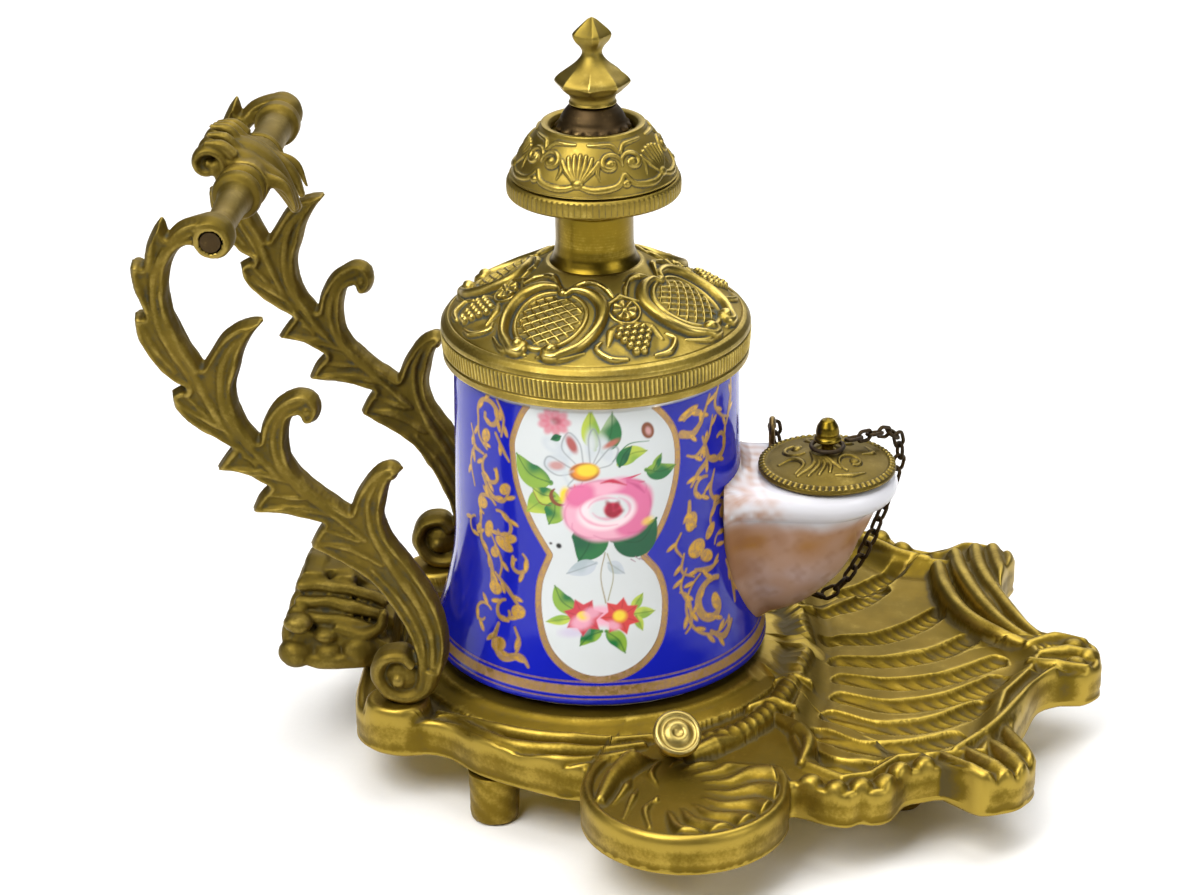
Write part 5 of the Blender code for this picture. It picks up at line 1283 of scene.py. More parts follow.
# ---- Spout lid -----------------------------------------------------------------------------------
def make_lid():
    z = LID_LOW[2]
    top = LID_HIGH[2]
    r = LID_RADIUS
    line = rounded_line([(1.4, z + 1.0), (8.4, z + 1.0), (8.6, z + 0.05), (r - 0.5, z), (r - 0.1, z + 0.5),
                         (r - 0.35, z + 1.15), (r - 1.3, z + 1.55), (r - 1.7, z + 1.35), (r - 2.4, z + 1.6),
                         (6.5, z + 2.6), (3.2, top - 0.25), (2.5, top), (1.4, top)], 0.3, 0.13)

    def relief(turn, at):
        radius = line[:, :1]
        upper = (line[:, 1:] > z + 1.1) & (np.arange(len(line))[:, None] > len(line) // 3)
        x, y = radius * np.cos(turn), radius * np.sin(turn)
        bead = 0.32 * fade(0.75, 0.35, np.abs(radius - (r - 0.75))) * (np.abs(np.cos(32 * turn)) - 0.3)
        shell = highest(*[rope(x, y, [(-3.0, -0.6), (-1.4 + 0.9 * k, -4.6),
                                      (-3.2 + 1.9 * k, -8.0 + 0.25 * k * k)],
                               [0.2, 0.55, 0.3], 0.5) for k in range(-1, 4)])
        vines = highest(
            rope(x, y, spiral((4.6, -3.4), 2.9, 0.8, 250, -80), [0.25, 0.45, 0.3], 0.5),
            rope(x, y, spiral((-5.6, 1.8), 3.0, 0.8, 300, 20), [0.25, 0.45, 0.3], 0.5),
            rope(x, y, spiral((2.6, 5.8), 2.6, 0.8, 200, 520), [0.25, 0.45, 0.3], 0.5),
            rope(x, y, [(-8.6, -3.4), (-6.2, -2.2), (-4.2, -4.4), (-5.6, -7.0)], [0.3, 0.6, 0.4, 0.2], 0.5),
            rope(x, y, [(6.4, 0.6), (8.2, 2.4), (7.0, 5.2)], [0.2, 0.6, 0.2], 0.5),
            rope(x, y, [(-2.6, 4.0), (-3.8, 6.8), (-1.6, 8.6)], [0.2, 0.6, 0.2], 0.5),
            rope(x, y, [(6.8, -6.0), (4.4, -7.4), (1.6, -7.8)], [0.2, 0.5, 0.2], 0.4),
            knob(x, y, (5.0, -3.2), 0.9, 0.6), knob(x, y, (-5.6, 2.0), 0.9, 0.6),
            knob(x, y, (2.6, 5.8), 0.8, 0.6))
        field = fade(10.4, 10.0, radius) * fade(2.6, 3.2, radius)
        return (bead + np.maximum(shell, vines) * field) * upper

    piece("spout_lid_embossed", lathe(line, 560, relief, (CUP_X, 0), closed=True), ANTIQUE_LID, "lid",
          ["spout_lid"],
          (6, 0.10))
    low, high = span("lid_acorn")
    foot = LID_HIGH[2] + 1.5
    line = rounded_line([(0, low[2]), (2.2, low[2]), (2.2, z + 0.7), (1.1, z + 0.7), (1.1, foot - 0.1),
                         (1.9, foot),
                         (2.55, foot + 0.6), (2.45, foot + 1.1), (2.05, foot + 1.4), (2.2, foot + 2.0),
                         (1.95, foot + 3.2), (1.2, foot + 4.4), (0.35, high[2] - 0.15), (0, high[2])], 0.3,
                         0.12)
    piece("lid_acorn_turned", lathe(line, 96, None, (CUP_X, 0)), BRASS, "lid", ["lid_acorn"],
          (5, 0.08))


# ---- Cast leaves and scrolls ---------------------------------------------------------------------
def strand(path, across, deep, flat=(0.0, 1.0, 0.0), sides=14, square=2.0):
    """A closed rod along a 3-D path. Its half width is across in the plane at right angles to flat,
    and deep along flat; both are given at even steps. A higher square makes it boxier."""
    path = np.asarray(path, float)
    count = len(path)
    share = np.linspace(0, 1, count)
    across = np.interp(share, np.linspace(0, 1, len(across)), across)
    deep = np.interp(share, np.linspace(0, 1, len(deep)), deep)
    ahead = np.gradient(path, axis=0)
    ahead /= np.maximum(np.linalg.norm(ahead, axis=1, keepdims=True), 1e-9)
    side = np.cross(np.asarray(flat, float), ahead)
    side /= np.maximum(np.linalg.norm(side, axis=1, keepdims=True), 1e-9)
    out = np.cross(ahead, side)
    turn = TAU * np.arange(sides) / sides
    c, s = np.cos(turn), np.sin(turn)
    c, s = np.sign(c) * np.abs(c) ** (2 / square), np.sign(s) * np.abs(s) ** (2 / square)
    rings = (path[:, None] + side[:, None] * (across[:, None] * c)[..., None]
             + out[:, None] * (deep[:, None] * s)[..., None])
    reach_low, reach_high = min(across[0], deep[0]), min(across[-1], deep[-1])
    first = path[0] - ahead[0] * reach_low * 0.7
    last = path[-1] + ahead[-1] * reach_high * 0.7
    points = np.vstack([rings.reshape(-1, 3), first, last])
    ring = np.arange(sides)
    after = (ring + 1) % sides
    low = np.stack([np.full(sides, count * sides), after, ring], 1)
    top = (count - 1) * sides
    high = np.stack([np.full(sides, count * sides + 1), top + ring, top + after], 1)
    return points, [grid_faces(count, sides), low, high]


def blob(at, size, sides=16):
    """A closed ellipsoid."""
    line = [(0.0, -1.0)] + [(math.cos(a), math.sin(a)) for a in np.linspace(-1.35, 1.35, 9)] + [(0.0, 1.0)]
    points, faces = lathe(np.array(line), sides)
    return points * np.asarray(size, float) + np.asarray(at, float), faces


def slab(outline, low_y, high_y):
    """A closed upright slab from an outline of x and z."""
    outline = np.asarray(outline, float)
    count = len(outline)
    rings = [np.column_stack([outline[:, 0], np.full(count, y), outline[:, 1]]) for y in (low_y, high_y)]
    middle = outline.mean(0)
    points = np.vstack(rings + [[(middle[0], low_y, middle[1]), (middle[0], high_y, middle[1])]])
    i = np.arange(count)
    j = (i + 1) % count
    caps = [np.stack([np.full(count, 2 * count), i, j], 1),
            np.stack([np.full(count, 2 * count + 1), count + j, count + i], 1)]
    return points, [grid_faces(2, count)[:, ::-1]] + caps


ARM_FOOT_Y, ARM_LEAN, ARM_FOOT_Z = 27.2, 0.065, 19.6
CURL = (-61.1, 91.1)


def arm_point(x, z):
    """A place in the front arm's leaning plane."""
    height = z + GROUND
    return (x, -(ARM_FOOT_Y + ARM_LEAN * (height - ARM_FOOT_Z)), height)


def arm_strand(knots, across, deep):
    path = np.array([arm_point(x, z) for x, z in smooth_line(knots, 0.5)])
    return strand(path, across, deep)


ARM_EDGE = (  # the outline as smooth runs between its points and notches, down inside, then up outside
    [(-58.6, 92.4), (-59.6, 87.6), (-62.3, 88.1), (-64.9, 89.8), (-67.0, 88.7), (-68.7, 85.7), (-69.3, 81.6),
     (-68.8, 76.9),
     (-67.2, 72.5), (-64.6, 67.8)],
    [(-64.6, 67.8), (-62.5, 71.2), (-60.3, 74.0), (-57.0, 75.9), (-53.2, 76.3)],
    [(-53.2, 76.3), (-55.5, 73.4), (-57.3, 70.3), (-58.3, 66.8)],
    [(-58.3, 66.8), (-59.2, 63.7), (-59.1, 60.2), (-57.9, 56.7), (-55.9, 53.9)],
    [(-55.9, 53.9), (-54.9, 57.4), (-52.4, 61.0), (-48.8, 63.0), (-46.0, 62.4), (-44.7, 59.8), (-45.8, 57.2),
     (-47.8, 56.7),
     (-48.6, 58.4)],
    [(-48.6, 58.4), (-50.2, 57.2), (-50.8, 52.2), (-49.6, 48.0), (-45.9, 44.1), (-40.8, 40.3)],
    [(-40.8, 40.3), (-39.4, 43.9), (-36.7, 47.7), (-33.5, 49.5), (-31.0, 48.2)],
    [(-31.0, 48.2), (-33.3, 45.8), (-34.2, 43.0)],
    [(-34.2, 43.0), (-34.8, 39.3), (-33.8, 35.0), (-30.4, 29.9), (-27.6, 25.1), (-25.3, 19.4), (-24.6, 12.6),
     (-26.3, 6.2),
     (-29.5, 2.4), (-31.5, 3.6)],
    [(-31.5, 3.6), (-30.7, 7.5), (-31.1, 12.4), (-32.8, 17.3), (-35.3, 22.0), (-38.8, 26.6), (-44.0, 30.2),
     (-48.4, 32.7)],
    [(-48.4, 32.7), (-47.2, 35.4), (-45.8, 37.4)],
    [(-45.8, 37.4), (-52.0, 38.9), (-58.3, 39.3)],
    [(-58.3, 39.3), (-56.7, 42.4), (-54.9, 44.5)],
    [(-54.9, 44.5), (-59.1, 46.9), (-64.0, 47.5)],
    [(-64.0, 47.5), (-62.2, 50.2), (-60.8, 52.0)],
    [(-60.8, 52.0), (-66.6, 55.6), (-69.8, 59.0), (-70.6, 62.3)],
    [(-70.6, 62.3), (-69.1, 63.2), (-68.0, 63.4)],
    [(-68.0, 63.4), (-70.6, 65.0), (-73.9, 69.1), (-75.6, 73.5), (-75.8, 77.0)],
    [(-75.8, 77.0), (-74.9, 77.2), (-73.9, 77.0)],
    [(-73.9, 77.0), (-74.6, 79.2), (-75.5, 82.2), (-75.7, 85.0), (-75.3, 87.0)],
    [(-75.3, 87.0), (-74.2, 86.8), (-73.3, 86.4)],
    [(-73.3, 86.4), (-72.6, 89.6), (-71.2, 92.6), (-69.4, 95.0)],
    [(-69.4, 95.0), (-69.0, 93.3), (-68.7, 91.9)],
    [(-68.7, 91.9), (-66.4, 93.9), (-63.2, 95.1), (-60.2, 94.8), (-58.6, 92.4)],
)
ARM_VEINS = (  # ridges that run along the stem into its leaves, with half widths and heights
    ([(-61.6, 93.4), (-66.8, 91.2), (-70.6, 86.6), (-71.8, 81.0), (-71.4, 75.8), (-69.4, 70.4),
      (-66.6, 65.0), (-67.4, 61.6)],
     [0.5, 0.7, 0.8, 0.8, 0.7, 0.4], 0.55),
    ([(-52.8, 46.8), (-57.4, 52.6), (-60.9, 58.6), (-61.6, 65.0), (-60.0, 70.4), (-56.2, 74.6)],
     [0.6, 0.8, 0.9, 0.8, 0.4], 0.6),
    ([(-56.6, 49.0), (-61.2, 55.4), (-64.2, 61.6), (-66.6, 67.8), (-70.0, 74.0), (-70.6, 81.4)],
     [0.5, 0.7, 0.8, 0.7, 0.5], 0.5),
    ([(-59.0, 54.0), (-63.4, 57.0), (-67.6, 59.4), (-69.6, 61.6)], [0.5, 0.7, 0.6, 0.3], 0.5),
    ([(-62.6, 56.6), (-66.4, 60.6), (-67.8, 63.0)], [0.4, 0.5, 0.3], 0.4),
    ([(-69.2, 66.6), (-72.4, 71.0), (-74.4, 75.8)], [0.4, 0.7, 0.3], 0.5),
    ([(-72.8, 78.0), (-74.0, 82.4), (-74.5, 86.2)], [0.4, 0.6, 0.3], 0.5),
    ([(-71.8, 85.0), (-71.2, 90.0), (-69.9, 93.6)], [0.4, 0.6, 0.3], 0.5),
    ([(-38.4, 34.6), (-44.2, 40.0), (-49.4, 44.6), (-52.6, 49.6), (-53.2, 54.6), (-51.2, 59.4),
      (-47.8, 61.2)],
     [0.6, 0.8, 0.8, 0.7, 0.5], 0.5),
    ([(-50.6, 45.8), (-56.4, 47.6), (-62.0, 48.0)], [0.5, 0.7, 0.3], 0.5),
    ([(-54.2, 49.0), (-58.6, 50.6)], [0.5, 0.4], 0.4),
    ([(-43.6, 39.4), (-50.0, 40.6), (-56.4, 40.2)], [0.5, 0.8, 0.3], 0.5),
    ([(-48.6, 42.6), (-54.2, 43.0)], [0.5, 0.3], 0.4),
    ([(-35.6, 29.6), (-41.6, 33.0), (-46.8, 33.6)], [0.5, 0.8, 0.3], 0.5),
    ([(-39.4, 34.4), (-45.0, 36.4)], [0.5, 0.3], 0.4),
    ([(-27.4, 9.0), (-27.6, 16.0), (-30.4, 23.4), (-34.2, 30.0), (-37.0, 36.4), (-37.4, 42.2), (-35.2, 46.6),
      (-32.6, 47.8)],
     [0.7, 0.8, 0.9, 0.8, 0.6, 0.4], 0.6),
    ([(-28.9, 8.0), (-29.4, 15.0), (-32.6, 22.4), (-37.4, 28.6)], [0.5, 0.6, 0.6, 0.4], 0.45),
)
ARM_THICK = 2.45  # half the thickness of the arm's stem


def inner_grid(outline, step, margin):
    """Evenly spread points inside an outline."""
    low, high = outline.min(0), outline.max(0)
    u, v = np.meshgrid(np.arange(low[0], high[0], step), np.arange(low[1], high[1], step * 0.87))
    u = u + 0.5 * step * (np.arange(len(u)) % 2)[:, None]
    u, v = u.ravel(), v.ravel()
    kept = inside_distance(u, v, outline) > margin
    return np.stack([u[kept], v[kept]], 1)


def cast_plate(outline, half_thickness, spread):
    """A closed plate with a rounded edge. half_thickness(u, v, depth) is its relief on both sides, and
    spread(u, v, side, half) gives the points in space."""
    count = len(outline)
    inner = inner_grid(outline, 0.42, 0.24)
    flat = [Vector(p) for p in np.vstack([outline, inner])]
    edges = [(i, (i + 1) % count) for i in range(count)]
    made, _, tris, _, _, _ = delaunay_2d_cdt(flat, edges, [], 1, 1e-5)
    made = np.array([(p.x, p.y) for p in made])
    tris = np.array([t for t in tris if len(t) == 3])
    depth = np.maximum(inside_distance(made[:, 0], made[:, 1], outline), 0)
    half = half_thickness(made[:, 0], made[:, 1], depth)
    half[depth < 1e-3] = 0
    total = len(made)
    points = np.vstack([spread(made[:, 0], made[:, 1], side, half) for side in (-1, 1)])
    on_edge = depth < 1e-3
    back = np.where(on_edge, np.arange(total), total + np.arange(total))
    return points, [tris, back[tris][:, ::-1]]


def arm_relief(u, v, depth):
    """Half thickness of the arm: a rounded edge with a raised bead beside it, and veins."""
    thick = ARM_THICK * np.sqrt(np.clip(1 - (1 - np.clip(depth / 1.5, 0, 1)) ** 2, 0, 1))
    thick = thick + 0.32 * np.exp(-((depth - 0.85) / 0.42) ** 2) - 0.50 * fade(0.9, 1.9, depth)
    veins = highest(*[rope(u, v, path, widths, height) for path, widths, height in ARM_VEINS])
    return thick + 1.25 * veins * fade(0.3, 1.0, depth)


def make_arms():
    """The front arm as one casting, and its mirror image as the rear one."""
    edge = np.vstack([smooth_line(run, 0.45)[:-1] for run in ARM_EDGE])

    def spread(u, v, side, half):
        x, y, height = arm_point(u, v)
        return np.stack([x, y + side * half, height], 1)

    shapes = [cast_plate(edge, arm_relief, spread)]
    # foot scroll with its eye, resting on the pad
    foot = [(-27.8, 8.0), (-29.0, 4.2), (-32.0, 2.4), (-35.6, 3.2), (-37.6, 6.6), (-36.4, 10.0),
            (-33.2, 10.8), (-31.2, 9.0)]
    shapes.append(arm_strand(foot, [2.0, 1.7, 1.6, 1.5, 1.4, 1.3], [3.2, 3.3, 3.2, 3.0]))
    x, y, z = arm_point(-33.4, 6.6)
    shapes += [blob((x, y, z), (3.4, 2.6, 3.4)), blob((x - 0.4, y, z - 0.6), (2.0, 3.3, 2.0))]
    # rolled eyes of the two curls
    for at, size in (((-47.0, 59.6), 1.5), ((-33.0, 47.2), 0.9)):
        x, y, z = arm_point(*at)
        shapes.append(blob((x, y, z), (size, 2.7, size)))
    # curl round the bolt
    x, y, z = arm_point(*CURL)
    turn = np.linspace(0, TAU, 25)[:-1]
    disc = np.column_stack([x + 2.9 * np.cos(turn), z + 2.9 * np.sin(turn)])
    shapes.append(slab(disc, y - 2.9, y + 2.9))
    ring = [(CURL[0] + r * math.cos(a), CURL[1] + r * math.sin(a))
            for a, r in zip(np.linspace(2.5, -2.9, 16), np.linspace(3.3, 2.2, 16))]
    shapes.append(arm_strand(ring, [1.1, 1.0, 0.8], [2.8, 3.1, 3.1]))
    arm = fuse("arm", shapes, 0.25)
    relax(arm)
    points = read_points(arm)
    points += read_points(arm, "normal") * ripple(points, 4.0, 0.09, 3)[:, None]
    gap = np.hypot(points[:, 0] - x, points[:, 2] - z)
    inside = (gap < 2.0) & (points[:, 1] < y - 1.2)
    points[inside, 1] = np.maximum(points[inside, 1], y - 0.9)
    write_points(arm, points)
    mark_patina_and_highlight(arm, 16, 0.36)
    rear = arm.copy()
    rear.transform(Matrix.Diagonal((1, -1, 1, 1)))
    rear.flip_normals()
    place("arm_front_cast", arm, ANTIQUE, "base", ["arm_front"])
    place("arm_rear_cast", rear, ANTIQUE, "base", ["arm_rear"])


def make_crossbar():
    """Turned spacers, and a scroll of leaves between them that grips the rod."""
    centre = (CURL[0], CURL[1] + GROUND)
    for side, tag in ((FRONT, "front"), (REAR, "rear")):
        low, high = span("crossbar_spacer_" + tag)
        inner, outer = sorted((abs(low[1]), abs(high[1])))
        length = outer - inner
        if side == FRONT:
            knots = [(2.1, 0), (4.2, 0), (4.5, 0.7), (4.2, 1.5), (3.2, 2.2), (3.3, 2.7), (4.2, 3.3),
                     (4.5, 4.4), (4.2, 5.5),
                     (3.2, 6.2), (3.0, 7.2), (2.75, 9.0), (2.55, length - 5.0), (2.55, length - 2.0),
                     (2.8, length),
                     (2.1, length)]
        else:
            knots = [(2.1, 0), (4.5, 0), (4.8, 0.8), (4.5, 1.7), (3.5, 2.3), (3.2, 3.4), (3.1, length - 4.2),
                     (3.4, length - 3.2),
                     (4.2, length - 2.4), (4.2, length), (2.1, length)]
        points, faces = lathe(rounded_line(knots, 0.3, 0.3), 72, closed=True)
        turned = np.column_stack([centre[0] + points[:, 0], side * (inner + points[:, 2]),
                                  centre[1] + points[:, 1]])
        if side == REAR:
            faces = [f[:, ::-1] for f in faces]
        piece("crossbar_spacer_%s_turned" % tag, (turned, faces), ANTIQUE, "base", ["crossbar_spacer_" + tag],
              (6, 0.2))
    shapes = []
    low, high = span("crossbar_scroll")
    half = 0.5 * (high[1] - low[1])

    def lift(path, y):
        return np.array([(x, y, z + GROUND) for x, z in smooth_line(path, 0.5)])

    turn = np.linspace(0, TAU, 25)[:-1]
    hub = np.column_stack([centre[0] + 4.6 * np.cos(turn), centre[1] + 4.6 * np.sin(turn)])
    shapes.append(slab(hub, -half, half))
    tongue = [(-66.4, 94.4), (-62.6, 95.4), (-58.0, 93.0), (-54.9, 88.4), (-53.0, 84.4)]
    for y, height, wide in ((0.0, 2.4, 3.4), (-3.4, 2.0, 2.4), (3.4, 2.0, 2.4), (-5.9, 1.5, 1.3),
                            (5.9, 1.5, 1.3)):
        shrink = 1 - 0.12 * abs(y)
        path = [(x + 0.16 * abs(y) * (i > 2), z + 0.5 * abs(y) * (i > 2) - 0.12 * abs(y)) for i,
                (x, z) in enumerate(tongue)]
        shapes.append(strand(lift(path, y), [height, height, 0.8 * height, 0.45 * height * shrink],
                             [wide, wide, 0.7 * wide, 0.4 * wide]))
    for y in (-5.2, 0.0, 5.2):
        volute = spiral((-67.2, 94.6), 3.4, 1.2, -60, 330, 26)
        shapes.append(strand(lift(volute, y), [1.0, 1.0, 0.8], [2.3, 2.2, 1.8]))
    for y in (-6.0, -3.0, 0.0, 3.0, 6.0):
        comb = [(-62.4, 96.2), (-64.6, 99.0 - 0.15 * abs(y)), (-67.6, 99.6 - 0.2 * abs(y))]
        shapes.append(strand(lift(comb, y), [1.1, 1.0, 0.4], [1.2, 1.1, 0.5]))
    shapes.append(blob((-67.2, 0, 94.6 + GROUND), (1.9, half - 0.4, 1.9)))
    mesh = fuse("crossbar_scroll_cast", shapes, 0.30)
    relax(mesh)
    mark_patina_and_highlight(mesh, 10, 0.4)
    place("crossbar_scroll_cast", mesh, ANTIQUE, "base", ["crossbar_scroll"])


def make_back_ornament():
    """Rocaille between the arms: a ribbed band between blocky lobes above and round lobes below."""
    low, high = span("back_ornament")
    right = high[0]
    shapes = []
    rim = PLATE_FOOT_Z + 7.3
    edge = right - 0.3
    for half_width, core in (
            (4.2, [(edge, rim), (edge, 24.0), (-41.0, 29.0), (-44.0, 31.5), (-46.5, 33.2), (-53.5, 33.2),
                   (-55.2, 31.0), (-55.0, 26.0), (-54.5, 20.0), (-54.0, 16.6), (-47.4, rim)]),
            (8.6, [(edge, rim), (edge, 25.6), (-42.0, 27.6), (-47.0, 28.6), (-54.4, 29.2), (-55.0, 24.0),
                   (-54.6, 18.0), (-47.4, rim)]),
            (12.4, [(edge, rim), (edge - 0.2, 22.0), (-42.0, 24.0), (-47.0, 23.6), (-51.0, 23.6),
                    (-55.0, 24.6), (-56.6, 22.0), (-55.6, 17.4), (-52.0, 16.6), (-47.4, rim)])):
        shapes.append(slab(core, -half_width, half_width))

    def row(knots, across, deep, flat, square=2.0):
        shapes.append(strand(smooth_line(knots, 0.5), across, deep, flat, 16, square))

    for x, z, size in ((-52.8, 31.6, 2.5), (-47.2, 31.2, 2.3), (-42.4, 28.4, 1.9)):
        row([(x, -5.4, z - 0.8), (x, 0, z), (x, 5.4, z - 0.8)], [size] * 3, [size] * 3, (1, 0, 0), 3.2)
    for side in (-1, 1):
        for out, z, size in ((6.4, 30.4, 1.2), (8.4, 28.0, 1.3), (10.2, 25.6, 1.2)):
            widths = [size, size, 0.8 * size]
            row([(-55.6, side * (out - 0.6), z), (-49.0, side * out, z + 0.2),
                 (-43.0, side * (out + 0.3), z - 0.9), (-39.2, side * out, z - 2.6)],
                widths, widths, (0, 0, 1))
        for x, z, size in ((-55.4, 19.6, (3.4, 3.0, 3.0)), (-49.4, 19.4, (2.9, 2.6, 2.7)),
                           (-43.6, 20.6, (3.3, 2.9, 3.2)), (-55.0, 25.8, (2.8, 2.6, 1.7)),
                           (-50.0, 23.4, (2.4, 2.4, 1.5))):
            shapes.append(blob((x, side * 11.9, z), size))
        row([(-57.0, side * 12.2, 20.0), (-51.6, side * 13.4, 18.6), (-46.0, side * 13.4, 18.8),
             (-40.4, side * 12.6, 18.8)], [1.0, 1.2, 1.0], [1.3, 1.5, 1.3], (0, 0, 1))
        row([(-48.0, side * 11.4, 25.0), (-43.4, side * 12.0, 23.8), (-39.8, side * 12.0, 25.4),
             (-38.8, side * 11.6, 28.4)], [1.1, 1.3, 1.0], [1.3, 1.5, 1.2], (0, 1, 0))
    for y in (-9.6, -4.8, 0.0, 4.8, 9.6):
        top = 31.6 - 0.05 * y * y
        row([(-55.0, y, 18.0), (-56.8, 1.06 * y, 22.0), (-56.0, y, 26.4), (-54.4, 0.9 * y, top)],
            [1.2, 1.7, 1.5, 1.1], [1.5, 2.0, 1.7, 1.2], (0, 1, 0))
    mesh = fuse("back_ornament_cast", shapes, 0.34)
    relax(mesh)
    points = read_points(mesh)
    points += read_points(mesh, "normal") * ripple(points, 5.0, 0.14, 8)[:, None]
    points[:, 0] = np.clip(points[:, 0], low[0], right)
    over_plate = (points[:, 0] > -44.2) & (points[:, 2] < rim)
    points[over_plate, 2] = rim
    points[:, 1] = np.clip(points[:, 1], low[1], high[1])
    write_points(mesh, points)
    mark_patina_and_highlight(mesh, 12, 0.5)
    place("back_ornament_cast", mesh, ANTIQUE, "base", ["back_ornament"])


# ---- Stand ---------------------------------------------------------------------------------------
STAND_CENTRE = (20.0, 0.0)
LOBE = (18.7, -51.5)
LOBE_RADIUS = 18.1
RIM_TOP = 17.0
SEAT_TOP = 19.2
PAD = (-34.5, -27.2)


def stand_outline():
    """The stand's plan as a closed smooth line, front half and its mirror image."""
    back = [(-43.5, 0), (-43.5, -8), (-43.4, -15), (-43.2, -21), (-42.0, -27), (-38.5, -31.2), (-33.8, -32.7),
            (-28.8, -32.0), (-24.4, -33.6), (-18.4, -39.0), (-10.0, -43.4), (-3.4, -46.0), (1.2, -47.0)]
    lobe = [(LOBE[0] + LOBE_RADIUS * math.cos(math.radians(a)), LOBE[1] + LOBE_RADIUS
             * math.sin(math.radians(a)))
            for a in range(172, 376, 12)]
    shell = [(39.2, -50.4), (43.0, -52.2), (46.6, -52.9), (49.0, -51.6), (51.4, -51.8), (54.0, -50.4),
             (56.6, -45.4),
             (60.0, -43.6), (63.4, -42.6), (65.6, -44.0), (69.2, -47.4), (73.2, -46.8), (76.8, -44.6),
             (79.2, -39.4),
             (77.4, -33.6), (76.2, -27.0), (78.6, -19.0), (81.4, -11.0), (85.6, -7.6), (90.0, -7.0),
             (92.9, -4.0),
             (93.25, 0)]
    half = np.array(back + lobe + shell, float)
    other = half[1:-1][::-1] * [1, -1]
    ring = np.vstack([half, other])
    closed = np.vstack([ring[-2:], ring, ring[:2]])
    return smooth_line(closed, 0.5)


def polar_reach(angles):
    """How far the outline is from the stand's centre in each direction."""
    line = stand_outline() - STAND_CENTRE
    turn, reach = np.arctan2(line[:, 1], line[:, 0]), np.hypot(line[:, 0], line[:, 1])
    order = np.argsort(turn)
    turn, reach = turn[order], reach[order]
    turn = np.concatenate([turn - TAU, turn, turn + TAU])
    return np.interp(angles, turn, np.tile(reach, 3))


def inside_distance(x, y, outline):
    """Distance to a closed outline, positive inside."""
    ring = np.vstack([outline, outline[:1]])
    distance, _ = along_path(x, y, ring)
    inside = np.zeros(x.shape, bool)
    for (ax, ay), (bx, by) in zip(ring, ring[1:]):
        crosses = (ay > y) != (by > y)
        with np.errstate(divide="ignore", invalid="ignore"):
            at = ax + (y - ay) * (bx - ax) / (by - ay if by != ay else 1e-9)
        inside ^= crosses & (x < at)
    return np.where(inside, distance, -distance)


TRAY_HALF = [(38.6, 0), (38.6, -12), (36.6, -24), (37.0, -34), (39.4, -43.0), (45.6, -47.2), (50.6, -45.6),
             (55.4, -39.6),
             (63.5, -38.0), (70.4, -36.6), (72.4, -28), (75.0, -15), (80.0, -6.0), (82.0, 0)]
FLUTES = (  # line and half width
    ([(41.0, 17.1), (47.3, 21.6), (52.6, 28.6)], 2.3),
    ([(42.8, 6.2), (51.9, 8.4), (58.6, 13.4), (63.8, 19.6)], 2.6),
    ([(44.8, -1.6), (54.1, -0.6), (62.8, 3.0), (69.0, 8.4)], 2.6),
    ([(45.6, -8.6), (55.6, -9.2), (65.0, -6.4), (74.0, 0.0)], 2.7),
    ([(45.4, -15.6), (54.6, -17.6), (65.0, -14.6), (74.0, -7.6)], 2.7),
    ([(43.6, -22.4), (52.4, -25.8), (62.0, -23.8), (70.6, -17.4)], 2.7),
    ([(41.6, -28.8), (48.6, -33.2), (56.6, -33.0), (65.4, -29.2)], 2.6),
    ([(39.4, -35.2), (44.4, -39.6), (51.6, -40.0), (57.6, -38.0)], 2.2),
)
FAR_FAN = (
    [(82.5, 2.4), (74.6, 8.0), (68.4, 15.0), (65.0, 25.2), (64.0, 34.6)],
    [(83.9, 3.2), (76.9, 10.0), (71.8, 20.4), (68.6, 31.7), (67.4, 40.6)],
    [(84.8, 3.4), (79.4, 12.6), (74.9, 24.0), (72.2, 34.1), (71.6, 43.4)],
    [(85.6, 3.4), (80.6, 16.0), (77.8, 25.4), (75.8, 35.4), (75.0, 43.8)],
    [(86.0, 4.0), (81.6, 15.0), (79.0, 26.0), (78.2, 35.0), (78.0, 41.0)],
)
NEAR_FAN = (
    [(62.6, -37.6), (65.6, -43.0), (70.2, -46.6)], [(66.6, -35.4), (69.6, -40.4), (73.6, -45.6)],
    [(70.8, -32.0), (73.4, -37.0), (76.4, -43.4)], [(74.0, -26.8), (75.6, -32.6), (78.2, -39.4)],
)
SWAGS = (  # drapery in front of the seat: line, half widths, height
    ([(-27.0, -29.0), (-24.1, -29.8), (-18.6, -36.0), (-12.6, -40.2), (-4.9, -41.6), (3.6, -40.8),
      (10.6, -37.4)],
     [0.7, 1.5, 1.7, 0.9], 3.6),
    ([(-28.6, -30.6), (-22.5, -33.4), (-17.0, -39.4), (-11.0, -43.6), (-4.4, -44.8), (1.8, -43.8),
      (9.0, -39.8)],
     [0.6, 1.2, 1.4, 0.8], 3.0),
    ([(-27.2, -27.8), (-20.6, -32.0), (-14.0, -36.0), (-4.7, -38.4), (4.6, -38.0), (12.0, -35.2)],
     [0.6, 1.3, 1.4, 0.8], 4.0),
    ([(-16.6, -41.6), (-9.6, -45.0), (-3.6, -46.6), (1.6, -45.4), (6.6, -42.2)], [0.5, 1.0, 0.7], 2.3),
)
LOBE_VINES = (
    ([(14.2, -41.5), (12.6, -47.0), (14.4, -53.0), (12.4, -59.0), (13.4, -64.6)], [0.7, 1.1, 0.8, 1.0, 0.5],
     2.6),
    ([(4.6, -57.0), (6.3, -50.4), (9.0, -44.6), (13.0, -39.6)], [1.2, 2.1, 2.4, 2.0], 4.4),
    ([(9.4, -46.4), (8.6, -52.0), (6.6, -57.6)], [0.6, 1.2, 0.5], 2.5),
    ([(11.6, -48.0), (10.0, -55.0), (8.8, -62.0)], [0.5, 1.0, 0.4], 2.3),
)
